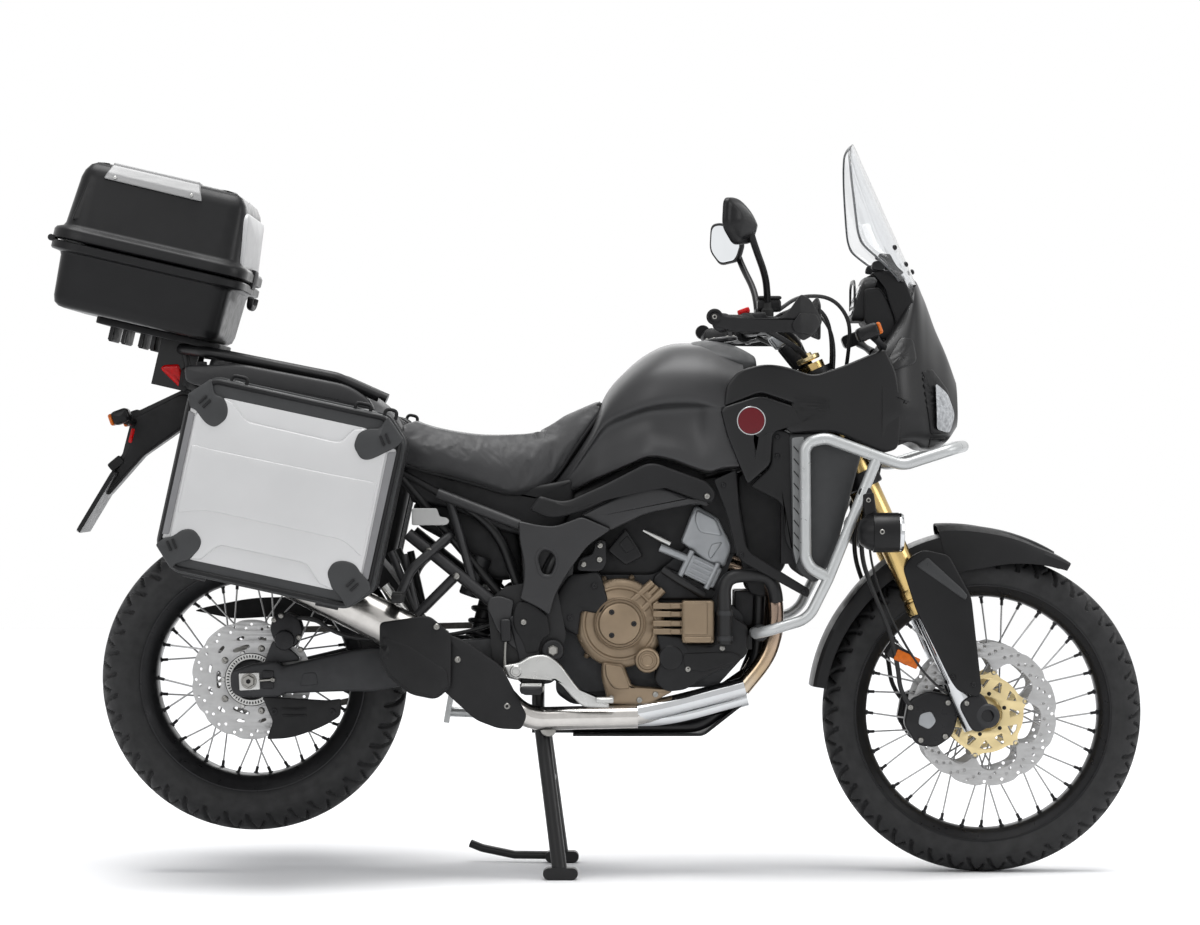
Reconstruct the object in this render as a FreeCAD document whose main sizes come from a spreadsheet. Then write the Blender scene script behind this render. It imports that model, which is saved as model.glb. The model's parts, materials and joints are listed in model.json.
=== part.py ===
import FreeCAD, Part
import math
import os
from types import SimpleNamespace
from FreeCAD import Placement, Rotation, Vector

# An adventure motorcycle on its centre stand, with two side cases and a top case.
# Millimetres. +X points forward, +Y to the rider's left, +Z up; the origin is on the floor,
# at the middle of the overall length and width.

doc = FreeCAD.newDocument("adventure_motorcycle")

# ---------------------------------------------------------------- driving dimensions
# alias, value or formula, what it is
DIMENSIONS = [
    ("wheel_base", 1575, "front axle to rear axle, along X"),
    ("rear_axle_x", -748, "rear axle from the origin"),
    ("rear_axle_height", 420, "rear axle above the floor, on the centre stand"),
    ("front_tyre_radius", 345, "outer radius, which is also the front axle's height"),
    ("front_tyre_width", 92, ""),
    ("front_rim_radius", "=front_tyre_radius - 73", "outer radius of the rim's flange"),
    ("front_rim_inner", "=front_rim_radius - 22", ""),
    ("front_rim_width", 66, ""),
    ("rear_tyre_radius", 330, ""),
    ("rear_tyre_width", 146, ""),
    ("rear_rim_radius", "=rear_tyre_radius - 92", ""),
    ("rear_rim_inner", "=rear_rim_radius - 30", ""),
    ("rear_rim_width", 112, ""),
    ("spoke_count", 36, "spokes in each wheel"),
    ("spoke_radius", 2.2, ""),
    ("fit_gap", 0.3, "clearance between faces that seat on each other"),
    ("axle_radius", 12, "front and rear axle"),
    ("axle_bore_radius", 8, "hole through the hollow front axle"),
    ("front_hub_radius", 30, ""),
    ("hub_flange_radius", 47, ""),
    ("front_hub_width", 116, "over the disc seats"),
    ("rear_hub_radius", 40, ""),
    ("rear_hub_width", 160, "over the disc and sprocket seats"),
    ("disc_thickness", 5, ""),
    ("front_disc_radius", 155, ""),
    ("rear_disc_radius", 128, ""),
    ("sprocket_radius", 86, "rear sprocket, without its teeth"),
    ("rake", 24.5, "steering axis from the vertical, in degrees"),
    ("steering_offset", 60, "steering axis behind the front axle"),
    ("fork_offset", 31, "fork legs behind the front axle"),
    ("fork_spacing", 210, "between the centres of the fork legs"),
    ("fork_tube_radius", 28, "upper, gold tubes"),
    ("fork_leg_radius", 22, "lower, chromed tubes"),
    ("fork_foot_radius", 27, ""),
    ("fork_tube_start", 261, "lower end of the gold tubes, along the fork from the axle"),
    ("fork_tube_end", 840, "upper end of the gold tubes"),
    ("head_tube_start", 668, "lower end of the frame's head tube, along the steering axis"),
    ("head_tube_end", 795, ""),
    ("head_tube_radius", 30, ""),
    ("steering_stem_radius", 15, ""),
    ("clamp_thickness", 30, "upper and lower fork clamps"),
    ("clamp_wall", 10, "clamp around a fork tube"),
    ("handlebar_radius", 11, ""),
    ("handlebar_reach", 430, "end of the handlebar from the middle"),
    ("grip_radius", 17, ""),
    ("frame_tube_radius", 17, "main frame's beams"),
    ("cradle_tube_radius", 13, "frame tubes in front of and under the engine"),
    ("cradle_half_width", 80, ""),
    ("cradle_height", 318, "middle of the lower rails"),
    ("pivot_plate_thickness", 22, ""),
    ("pivot_plate_y", 149, "middle of a pivot plate"),
    ("subframe_tube_radius", 11, ""),
    ("rack_tube_radius", 8, "side case rack"),
    ("engine_width", 200, ""),
    ("clutch_cover_radius", 88, ""),
    ("clutch_cover_depth", 78, ""),
    ("header_radius", 21, "exhaust headers"),
    ("exhaust_pipe_radius", 25, ""),
    ("silencer_radius", 46, ""),
    ("swingarm_thickness", 34, "each arm"),
    ("swingarm_y", 115, "middle of each arm"),
    ("chain_y", 86, "middle of the drive chain"),
    ("chain_width", 12, ""),
    ("chain_height", 14, ""),
    ("crash_bar_radius", 12.5, ""),
    ("crash_brace_radius", 11.5, "the crash bars' lower tubes"),
    ("crash_bar_y", 220, ""),
    ("tank_half_width", 184, ""),
    ("shroud_thickness", 28, ""),
    ("shroud_y", 186, "middle of each radiator shroud"),
    ("screen_thickness", 4, ""),
    ("mudguard_thickness", 4, ""),
    ("mudguard_radius", "=front_tyre_radius + 27", "outer radius about the front axle"),
    ("mudguard_width", 124, ""),
    ("case_tilt", 12.3, "side cases, front end down, in degrees"),
    ("case_length", 453, "side case"),
    ("case_height", 405, ""),
    ("case_inner_y", 235, "inner wall of a side case from the middle"),
    ("case_outer_y", 475, "outer face of a side case's lid"),
    ("case_seam_y", 414, "seam between a side case and its lid"),
    ("case_wall", 5, ""),
    ("case_corner", 45, "cut corners of a side case"),
    ("case_centre_x", -655, ""),
    ("case_centre_z", 823, ""),
    ("top_tilt", 13, "top case, front end down, in degrees"),
    ("top_half_width", 219, ""),
    ("top_wall", 5, ""),
    ("stand_tube_radius", 16, "centre stand's legs"),
    ("stand_pivot_x", -125, ""),
    ("stand_pivot_z", 323, ""),
    ("stand_foot_x", -85, ""),
    ("stand_foot_y", 175, ""),
    ("pivot_pin_radius", 8, "centre stand's pivot pins"),
    ("pivot_clearance", 0.3, "between a pin and the piece that turns on it"),
    ("side_stand_length", 295, ""),
    ("side_stand_radius", 11, ""),
]

sheet = doc.addObject("Spreadsheet::Sheet", "sizes")
for row, (alias, value, meaning) in enumerate(DIMENSIONS, 1):
    sheet.set(f"A{row}", alias)
    sheet.set(f"B{row}", str(value))
    sheet.set(f"C{row}", meaning)
    sheet.setAlias(f"B{row}", alias)
doc.recompute()
dim = SimpleNamespace(**{alias: float(sheet.get(alias)) for alias, _, _ in DIMENSIONS})

RIGHT, LEFT = -1, 1
DRAWN_WHEEL_BASE = 1575
front_axle_x = dim.rear_axle_x + dim.wheel_base
nodes = []


# ---------------------------------------------------------------- helpers
def bind(thing, prop, size):
    """Set a property to a number, or bind it to a formula of the sheet's aliases."""
    if isinstance(size, str):
        words = [f"sizes.{word}" if hasattr(dim, word) else word for word in size.split()]
        thing.setExpression(prop, " ".join(words))
    else:
        setattr(thing, prop, size)


def rounded(points, closed=True):
    """Lines through points (u, v), with an arc of radius r at each point (u, v, r)."""
    flat = [Vector(p[0], p[1], 0) for p in points]
    count = len(points)
    starts, ends, edges = [], [], []
    for i, here in enumerate(flat):
        radius = points[i][2] if len(points[i]) > 2 else 0
        if radius == 0 or (not closed and i in (0, count - 1)):
            starts.append(here)
            ends.append(here)
            continue
        back = (flat[i - 1] - here).normalize()
        ahead = (flat[(i + 1) % count] - here).normalize()
        half = back.getAngle(ahead) / 2
        reach = radius / math.tan(half)
        first = here + back * reach
        last = here + ahead * reach
        bisector = (back + ahead).normalize()
        middle = here + bisector * (radius / math.sin(half) - radius)
        starts.append(first)
        ends.append(last)
        edges.append((i, Part.Arc(first, middle, last)))
    arcs = dict(edges)
    result = []
    for i in range(count):
        if i in arcs:
            result.append(arcs[i])
        follower = (i + 1) % count
        if closed or i < count - 1:
            if (starts[follower] - ends[i]).Length > 1e-6:
                result.append(Part.LineSegment(ends[i], starts[follower]))
    return result


def origin_plane(body, role):
    return next(item for item in body.Origin.OriginFeatures if item.Role == role)


def sketch_on(body, role, points):
    """A sketch of a rounded outline on one of the body's own origin planes."""
    sketch = body.newObject("Sketcher::SketchObject", body.Name + "_outline")
    sketch.AttachmentSupport = [(origin_plane(body, role), "")]
    sketch.MapMode = "FlatFace"
    for edge in rounded(points):
        sketch.addGeometry(edge)
    return sketch


def plate(name, points, thickness, centre=(0, 0, 0), turn=None, role="XZ_Plane"):
    """A flat piece: an outline in X and Z (or another plane), padded to both sides."""
    body = doc.addObject("PartDesign::Body", name)
    sketch = sketch_on(body, role, points)
    pad = body.newObject("PartDesign::Pad", name + "_pad")
    pad.Profile = sketch
    pad.SideType = "Symmetric"
    bind(pad, "Length", thickness)
    body.Placement = Placement(Vector(*centre), turn or Rotation())
    return body


def turned(name, profile, centre=(0, 0, 0), angle=360, turn=None):
    """A round piece: a profile of (radius, offset along Y) points, turned about the Y axis."""
    body = doc.addObject("PartDesign::Body", name)
    sketch = sketch_on(body, "XY_Plane", profile)
    spin = body.newObject("PartDesign::Revolution", name + "_spin")
    spin.Profile = sketch
    spin.ReferenceAxis = (sketch, ["V_Axis"])
    spin.Angle = angle
    body.Placement = Placement(Vector(*centre), turn or Rotation())
    return body


def rod(name, radius, start, end):
    """A straight round bar between two points."""
    start, end = Vector(*start), Vector(*end)
    bar = doc.addObject("Part::Cylinder", name)
    bind(bar, "Radius", radius)
    bar.Height = (end - start).Length
    bar.Placement = Placement(start, Rotation(Vector(0, 0, 1), end - start))
    return bar


def block(name, length, width, height, centre, turn=None):
    """A box about its centre; length along X, width along Y, height along Z before its turn."""
    box = doc.addObject("Part::Box", name)
    bind(box, "Length", length)
    bind(box, "Width", width)
    bind(box, "Height", height)
    doc.recompute()
    half = Vector(box.Length.Value / 2, box.Width.Value / 2, box.Height.Value / 2)
    turn = turn or Rotation()
    box.Placement = Placement(Vector(*centre) - turn.multVec(half), turn)
    return box


def solid(name, shape):
    """A piece whose shape is worked out here, such as a bent tube or a loft."""
    feature = doc.addObject("Part::Feature", name)
    feature.Shape = shape
    return feature


def bent_path(points, bend):
    """Straight runs through 3-D points, joined by tangent arcs of one bend radius."""
    spots = [Vector(*p) for p in points]
    edges = []
    last = spots[0]
    for i in range(1, len(spots) - 1):
        here = spots[i]
        back = (spots[i - 1] - here).normalize()
        ahead = (spots[i + 1] - here).normalize()
        half = back.getAngle(ahead) / 2
        shorter = min((spots[i - 1] - here).Length, (spots[i + 1] - here).Length)
        radius = min(bend, 0.45 * shorter * math.tan(half))
        first = here + back * (radius / math.tan(half))
        second = here + ahead * (radius / math.tan(half))
        bisector = (back + ahead).normalize()
        middle = here + bisector * (radius / math.sin(half) - radius)
        edges.append(Part.LineSegment(last, first).toShape())
        edges.append(Part.Arc(first, middle, second).toShape())
        last = second
    edges.append(Part.LineSegment(last, spots[-1]).toShape())
    return Part.Wire(edges)


def tube_shape(points, radius, bend):
    path = bent_path(points, bend)
    start = Vector(*points[0])
    heading = Vector(*points[1]) - start
    ring = Part.Wire([Part.makeCircle(radius, start, heading)])
    return path.makePipeShell([ring], True, False)


def tube(name, radius, points, bend=60):
    """A bent round tube along straight runs and arcs."""
    return solid(name, tube_shape(points, radius, bend))


def hull(name, sections):
    """A ruled loft along X through sections of rows (x, [(half_width, z), ...]).

    Each row lists one side from the bottom up; the other side mirrors it.
    """
    wires = []
    for x, side in sections:
        ring = [Vector(x, -half, z) for half, z in side]
        ring += [Vector(x, half, z) for half, z in reversed(side)]
        wires.append(Part.makePolygon(ring + ring[:1]))
    return solid(name, Part.makeLoft(wires, True, True))


def mirrored(piece):
    """The same piece on the other side of the machine."""
    twin = doc.addObject("Part::Mirroring", piece.Name + "_twin")
    twin.Source = piece
    twin.Normal = Vector(0, 1, 0)
    return twin


def both_sides(*pieces):
    return list(pieces) + [mirrored(piece) for piece in pieces]


def fused(name, pieces):
    if len(pieces) == 1:
        return pieces[0]
    whole = doc.addObject("Part::MultiFuse", name)
    whole.Shapes = pieces
    return whole


def carved(name, base, tools):
    """The base without the room that the tools take."""
    cut = doc.addObject("Part::Cut", name)
    cut.Base = base
    cut.Tool = fused(name + "_tools", tools)
    return cut


def shared(name, base, tool):
    common = doc.addObject("Part::Common", name)
    common.Base = base
    common.Tool = tool
    return common


def node(label, pieces):
    """Name a finished sub-part; several separate pieces make one compound."""
    if len(pieces) == 1:
        whole = pieces[0]
    else:
        whole = doc.addObject("Part::Compound", label)
        whole.Links = pieces
    whole.Label = label
    nodes.append(whole)
    return whole


def fore(x, *rest):
    """A point, or an X alone, drawn at the usual wheel base, moved with the front axle."""
    moved = x + dim.wheel_base - DRAWN_WHEEL_BASE
    return (moved, *rest) if rest else moved


def about_y(degrees):
    return Rotation(Vector(0, 1, 0), degrees)


# Directions of the steering: up along the axis, and ahead of it at right angles.
tilt = math.radians(dim.rake)
STEER_UP = Vector(-math.sin(tilt), 0, math.cos(tilt))
STEER_AHEAD = Vector(math.cos(tilt), 0, math.sin(tilt))
front_axle = Vector(front_axle_x, 0, dim.front_tyre_radius)
steering_foot = front_axle - STEER_AHEAD * dim.steering_offset
steer_turn = about_y(-dim.rake)


def on_steering(along, ahead=0, y=0):
    """A point given along the steering axis, ahead of it, and to the side."""
    return steering_foot + STEER_UP * along + STEER_AHEAD * ahead + Vector(0, y, 0)


def on_fork(along, y=0):
    return on_steering(along, dim.steering_offset - dim.fork_offset, y)


fork_y = dim.fork_spacing / 2


# ---------------------------------------------------------------- wheels
def tyre(name, rim_radius, rim_width, radius, width, centre):
    """A tyre: rounded tread and sides over the rim's seat."""
    side, seat = width / 2, rim_width / 2 - 4
    deep = radius - rim_radius
    half = [
        (rim_radius + dim.fit_gap, seat),
        (rim_radius + 0.3 * deep, side, 0.18 * deep),
        (rim_radius + 0.62 * deep, side, 0.4 * deep),
        (radius, side * 0.42, 0.5 * deep),
    ]
    other = [(p[0], -p[1], *p[2:]) for p in half]
    return node(name, [turned(name, other + half[::-1], centre)])


def wire_wheel(name, rim_radius, rim_inner, rim_width, hub, hub_radius, centre):
    """A rim, a hub with two flanges and tangent spokes, joined into one piece.

    hub lists (end_y, flange_y) for the right and the left side.
    """
    half = rim_width / 2
    lip = 8
    rim = turned(name + "_rim", [
        (rim_inner, -half * 0.45), (rim_radius - 12, -half), (rim_radius, -half),
        (rim_radius, -half + lip), (rim_inner + 7, -half * 0.4), (rim_inner + 7, half * 0.4),
        (rim_radius, half - lip), (rim_radius, half), (rim_radius - 12, half),
        (rim_inner, half * 0.45)])
    (end_r, flange_r), (end_l, flange_l) = hub
    bore = dim.axle_radius + dim.pivot_clearance
    wheel_hub = turned(name + "_hub", [
        (bore, end_r), (dim.hub_flange_radius, end_r), (dim.hub_flange_radius, flange_r + 6),
        (hub_radius, flange_r + 10), (hub_radius, flange_l - 10),
        (dim.hub_flange_radius, flange_l - 6), (dim.hub_flange_radius, end_l), (bore, end_l)])
    spokes = []
    count = int(dim.spoke_count)
    lean = math.radians(55)
    for i in range(count):
        around = 2 * math.pi * i / count
        outwards = 1 if (i // 2) % 2 else -1
        flange_y = (flange_r + 2 - 4 * outwards) if i % 2 else (flange_l - 2 + 4 * outwards)
        swing = lean * outwards
        inner = dim.hub_flange_radius - 3
        start = Vector(inner * math.cos(around), flange_y, inner * math.sin(around))
        turn_to = around + swing * 0.42
        outer = rim_inner + 4
        end = Vector(outer * math.cos(turn_to), flange_y * 0.12, outer * math.sin(turn_to))
        spokes.append(Part.makeCylinder(dim.spoke_radius, (end - start).Length, start, end - start))
    wires = solid(name + "_spokes", Part.makeCompound(spokes))
    whole = fused(name, [rim, wheel_hub, wires])
    whole.Placement = Placement(Vector(*centre), Rotation())
    return node(name, [whole])


rear_centre = (dim.rear_axle_x, 0, dim.rear_axle_height)
front_centre = (front_axle_x, 0, dim.front_tyre_radius)
tyre("front_tyre", dim.front_rim_radius, dim.front_rim_width,
     dim.front_tyre_radius, dim.front_tyre_width, front_centre)
tyre("rear_tyre", dim.rear_rim_radius, dim.rear_rim_width,
     dim.rear_tyre_radius, dim.rear_tyre_width, rear_centre)
front_seat = dim.front_hub_width / 2
rear_seat = dim.rear_hub_width / 2
wire_wheel("front_wire_wheel", dim.front_rim_radius, dim.front_rim_inner, dim.front_rim_width,
           [(-front_seat, -front_seat + 12), (front_seat, front_seat - 12)],
           dim.front_hub_radius, front_centre)
wire_wheel("rear_wire_wheel", dim.rear_rim_radius, dim.rear_rim_inner, dim.rear_rim_width,
           [(-rear_seat, -rear_seat + 24), (rear_seat, rear_seat - 24)],
           dim.rear_hub_radius, rear_centre)


def front_discs():
    """Two brake discs, each with its carrier on the hub's end."""
    inner = dim.hub_flange_radius
    seat = front_seat + dim.fit_gap
    rim = dim.front_disc_radius
    disc = turned("front_disc", [
        (20, seat), (rim - 35, seat), (rim - 35, seat + 6), (rim, seat + 6),
        (rim, seat + 6 + dim.disc_thickness), (rim - 43, seat + 6 + dim.disc_thickness),
        (rim - 43, seat + 5), (inner + 3, seat + 5), (inner - 6, seat + 9), (20, seat + 9)],
        front_centre)
    return node("front_discs", both_sides(disc))


def rear_disc_and_sprocket():
    """The brake disc on the right end of the hub and the sprocket on the left end."""
    seat = rear_seat + dim.fit_gap
    disc = turned("rear_disc", [
        (20, -seat - 8), (20, -seat), (60, -seat), (60, -seat - 3),
        (dim.rear_disc_radius, -seat - 3), (dim.rear_disc_radius, -seat - 3 - dim.disc_thickness),
        (48, -seat - 3 - dim.disc_thickness), (48, -seat - 8)], rear_centre)
    sprocket = turned("rear_sprocket", [
        (20, seat), (dim.sprocket_radius, seat + 2), (dim.sprocket_radius, seat + 9),
        (20, seat + 11)], rear_centre)
    return node("rear_disc_and_sprocket", [disc, sprocket])


front_discs()
rear_disc_and_sprocket()


# ---------------------------------------------------------------- fork and steering
def fork():
    """Gold upper tubes, and chromed lower legs joined by the hollow front axle."""
    for_tubes = [rod("fork_tube", "fork_tube_radius", on_fork(dim.fork_tube_start, -fork_y),
                     on_fork(dim.fork_tube_end, -fork_y))]
    node("fork_tubes", both_sides(*for_tubes))
    leg = rod("fork_leg", "fork_leg_radius", on_fork(60, -fork_y),
              on_fork(dim.fork_tube_start, -fork_y))
    foot = rod("fork_foot", "fork_foot_radius", on_fork(-14, -fork_y), on_fork(96, -fork_y))
    hub_y = fork_y + dim.fork_foot_radius - 4
    boss = rod("axle_boss", 25, front_axle + Vector(0, -hub_y, 0),
               front_axle + Vector(0, -fork_y + dim.fork_foot_radius - 2, 0))
    bar = rod("front_axle", "axle_radius", front_axle + Vector(0, -hub_y, 0),
              front_axle + Vector(0, hub_y, 0))
    whole = fused("fork_legs_whole", both_sides(leg, foot, boss) + [bar])
    hole = rod("front_axle_hole", "axle_bore_radius", front_axle + Vector(0, -hub_y - 5, 0),
               front_axle + Vector(0, hub_y + 5, 0))
    return node("fork_legs", [carved("fork_legs", whole, [hole])])


def triple_clamps():
    """Upper and lower clamps on the steering stem, which turns in the frame's head tube."""
    ahead = dim.steering_offset - dim.fork_offset
    half = dim.clamp_thickness / 2
    gap = dim.pivot_clearance
    clamp_radius = dim.fork_tube_radius + dim.clamp_wall
    middles = (dim.head_tube_start - gap - half, dim.head_tube_end + gap + half)
    pieces = []
    for index, middle in enumerate(middles):
        pieces.append(block(f"clamp_bridge_{index}", 62, "fork_spacing", "clamp_thickness",
                            on_steering(middle, ahead / 2 + 2), steer_turn))
        for y in (-fork_y, fork_y):
            pieces.append(rod(f"clamp_ring_{index}", clamp_radius,
                              on_steering(middle - half, ahead, y),
                              on_steering(middle + half, ahead, y)))
    pieces.append(rod("steering_stem", "steering_stem_radius",
                      on_steering(middles[0]), on_steering(middles[1])))
    whole = fused("clamps_whole", pieces)
    holes = [rod("clamp_hole", "fork_tube_radius + fit_gap / 2",
                 on_fork(middles[0] - 60, y), on_fork(middles[1] + 60, y))
             for y in (-fork_y, fork_y)]
    return node("triple_clamps", [carved("triple_clamps", whole, holes)])


clamp_top = dim.head_tube_end + dim.pivot_clearance + dim.clamp_thickness
bar_middle = on_steering(clamp_top + 62, 22)
BAR_ELBOW = Vector(*fore(372, 170, 1180))
BAR_END = Vector(*fore(250, dim.handlebar_reach, 1172))
bar_way = (BAR_END - BAR_ELBOW).normalize()


def handlebar():
    """A wide bar on two risers from the upper clamp."""
    half = [tuple(bar_middle + Vector(0, 95, 0)), tuple(BAR_ELBOW), tuple(BAR_END)]
    other = [(x, -y, z) for x, y, z in half]
    bar = tube("bar", dim.handlebar_radius, other[::-1] + half, 70)
    risers = [rod("riser", 13, on_steering(clamp_top + dim.fit_gap, 22, y),
                  bar_middle + Vector(0, y, 0)) for y in (-42, 42)]
    return node("handlebar", [fused("handlebar", [bar] + risers)])


def grips_and_levers():
    """A rubber grip, a switch housing and a lever at each end of the bar."""
    bore = "handlebar_radius + fit_gap / 2"
    core = rod("grip_core", bore, BAR_END + bar_way * 9, BAR_ELBOW)
    grip = carved("grip", rod("grip_sleeve", "grip_radius", BAR_END - bar_way * 6,
                              BAR_END - bar_way * 135), [core])
    housing = block("switch_housing", 52, 44, 46, fore(350, 268, 1178), Rotation(Vector(0, 0, 1), 24))
    lever = tube("lever", 5, [fore(392, 262, 1172), fore(380, 320, 1165), fore(330, 415, 1160)], 40)
    perch = rod("lever_perch", 9, fore(352, 258, 1178), fore(394, 264, 1172))
    body = carved("switch", fused("switch_whole", [housing, perch]), [core])
    control = fused("lever_and_switch", [body, lever])
    return node("grips_and_levers", both_sides(grip, control))


def handguards():
    """Hand shields: a strip bent round the grip, shaped by its side view."""
    strip = plate("shield_strip", [
        fore(236, 449), fore(390, 464, 40), fore(458, 400, 40), fore(438, 258), fore(424, 260), fore(440, 392, 30),
        fore(384, 449, 30), fore(236, 435)], 140, (0, 0, 1180), None, "XY_Plane")
    side = plate("shield_side", [
        fore(220, 1156, 8), fore(280, 1150), fore(395, 1150), fore(420, 1132), fore(462, 1178, 12), fore(450, 1200),
        fore(412, 1234, 10), fore(372, 1186), fore(290, 1188), fore(220, 1190, 8)], 560, (0, 300, 0))
    bolt = rod("shield_bolt", 9, BAR_END + bar_way * dim.fit_gap, BAR_END + bar_way * 14)
    shield = fused("shield_whole", [shared("shield", strip, side), bolt])
    return node("handguards", both_sides(shield))


def mirrors():
    """Round-cornered mirrors on bent stems."""
    stem = tube("mirror_stem", 5, [fore(352, 256, 1201 + dim.fit_gap), fore(352, 256, 1226), fore(345, 300, 1270), fore(322, 372, 1330),
                                   fore(312, 385, 1370)], 40)
    shell = plate("mirror_shell", [
        (-62, -48, 22), (58, -52, 26), (70, 20, 30), (40, 52, 22), (-50, 50, 26)],
        34, fore(297, 392, 1382), Rotation(Vector(0, 0, 1), -90))
    return node("mirrors", both_sides(fused("mirror", [stem, shell])))


def front_mudguard():
    """A channel-section mudguard over the tyre, with a guard outside each fork leg."""
    half = dim.mudguard_width / 2
    outer, wall = dim.mudguard_radius, dim.mudguard_thickness
    skirt = outer - 30
    front_angle, sweep = 60, 110
    shell = turned("mudguard_shell", [
        (skirt, -half), (outer, -half), (outer, half), (skirt, half), (skirt, half - wall),
        (outer - wall, half - wall), (outer - wall, wall - half), (skirt, wall - half)],
        front_centre, sweep, about_y(-front_angle - sweep))
    guard = plate("fork_guard", [
        fore(650, 656), fore(688, 694, 8), fore(742, 684), fore(790, 600), fore(812, 400), fore(806, 385), fore(748, 406),
        fore(671, 570)], 7, (0, -fork_y - dim.fork_tube_radius - 6, 0))
    stay = rod("guard_stay", 8, fore(716, -half + 1, 672), fore(716, -fork_y - dim.fork_tube_radius - 6, 672))
    saddle = rod("guard_saddle", 5, fore(742, -fork_y - dim.fork_tube_radius - 6, 450),
                 fore(742, -fork_y, 450))
    room = rod("fork_room", "fork_tube_radius + fit_gap", on_fork(200, -fork_y),
               on_fork(700, -fork_y))
    leg_room = rod("fork_leg_room", "fork_leg_radius + fit_gap", on_fork(0, -fork_y),
                   on_fork(300, -fork_y))
    side = carved("guard_side", fused("guard_whole", [guard, stay, saddle]), [room, leg_room])
    return node("front_mudguard", [fused("front_mudguard", [shell] + both_sides(side))])


def front_brake_calipers():
    """A caliper behind each fork foot, over the disc."""
    x, z = front_axle_x, dim.front_tyre_radius
    inner_edge = front_seat - 18
    outer = block("caliper_outer", 100, 38, 104, (x - 122, -94, z - 4))
    inner = block("caliper_inner", 70, 12, 92, (x - 140, -inner_edge - 6, z - 4))
    bridge = block("caliper_bridge", 14, 113 - inner_edge, 92,
                   (x - 168, -(113 + inner_edge) / 2, z - 4))
    room = rod("foot_room", "fork_foot_radius + fit_gap", on_fork(-80, -fork_y),
               on_fork(200, -fork_y))
    caliper = carved("caliper", fused("caliper_whole", [outer, inner, bridge]), [room])
    return node("front_brake_calipers", both_sides(caliper))


fork()
triple_clamps()
handlebar()
grips_and_levers()
handguards()
mirrors()
front_mudguard()
front_brake_calipers()


# ---------------------------------------------------------------- frame
plate_y = dim.pivot_plate_y
plate_inner = plate_y - dim.pivot_plate_thickness / 2
stand_pivot = (dim.stand_pivot_x, 0, dim.stand_pivot_z)


SIDE_PIVOT = Vector(-38, 168, 320)
SIDE_FOLDED = Vector(-1, 0, 0.05).normalize()
SIDE_LOWERED = Vector(0.25, 0.35, -0.9).normalize()
SIDE_AXIS = SIDE_FOLDED.cross(SIDE_LOWERED).normalize()


rail_y, rail_z = dim.cradle_half_width, dim.cradle_height
fork_sweep = fork_y + dim.fork_tube_radius + 14
DOWN_PATH = [fore(458, -20, 968), fore(352, -rail_y, 800), (336, -rail_y - 4, 470),
             (302, -rail_y - 4, 387), (215, -rail_y, rail_z), (-146, -rail_y, rail_z)]
BEAM_PATH = [fore(468, -22, 975), fore(400, -52, 935), fore(310, -80, 886), (100, -92, 812),
             (-80, -plate_y, 712), (-140, -plate_y, 590)]


def main_frame():
    """Head tube, two beams to the pivot plates, down tubes and a cradle under the engine."""
    head = rod("head_tube", "head_tube_radius", on_steering(dim.head_tube_start),
               on_steering(dim.head_tube_end))
    beam = tube("frame_beam", dim.frame_tube_radius, BEAM_PATH, 160)
    down = tube("down_tube", dim.cradle_tube_radius, DOWN_PATH, 90)
    nose_stay = rod("nose_stay", 10, on_steering(730, 20), on_steering(730, fork_sweep - 0.7))
    upright = rod("cradle_upright", "cradle_tube_radius", (-134, 20 - rail_y, rail_z),
                  (-134, 20 - rail_y, 642))
    pivot_plate = plate("pivot_plate", [
        (-96, 640, 20), (-200, 622, 20), (-240, 590, 20), (-228, 466, 20), (-156, 408, 20),
        (-96, 418, 20), (-72, 520, 40)], "pivot_plate_thickness", (0, -plate_y, 0))
    stay = rod("plate_stay", 9, (-131, 20 - rail_y, 424), (-131, -plate_y, 424))
    ear = plate("shock_ear", [(-126, 630), (-126, 656), (-216, 674, 12), (-244, 655, 12),
                              (-216, 638, 8)], 8, (0, -26, 0))
    pin = rod("stand_pin", "pivot_pin_radius", (stand_pivot[0], -rail_y, stand_pivot[2]),
              (stand_pivot[0], -rail_y - 40, stand_pivot[2]))
    mount = rod("crash_bar_lug", 10, (330, -rail_y, 522), (330, -104, 522))
    engine_lug = block("engine_lug", 18, 16, 30, (317, -rail_y - 4, 500))
    cross = rod("shock_cross_tube", 14, (-134, -plate_y, 642), (-134, plate_y, 642))
    lug = block("side_stand_lug", 46, 63.4, 28, (-38, rail_y + 40, rail_z + 3))
    side_pin = rod("side_stand_pin", "pivot_pin_radius", SIDE_PIVOT + SIDE_AXIS * 30,
                   SIDE_PIVOT - SIDE_AXIS * 20)
    whole = fused("frame_whole", both_sides(
        beam, down, upright, pivot_plate, stay, ear, pin, mount, engine_lug)
                  + [head, cross, lug, side_pin, nose_stay])
    hole = rod("head_bore", "steering_stem_radius + pivot_clearance",
               on_steering(dim.head_tube_start - 60), on_steering(dim.head_tube_end + 60))
    return node("main_frame", [carved("main_frame", whole, [hole])])


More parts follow.
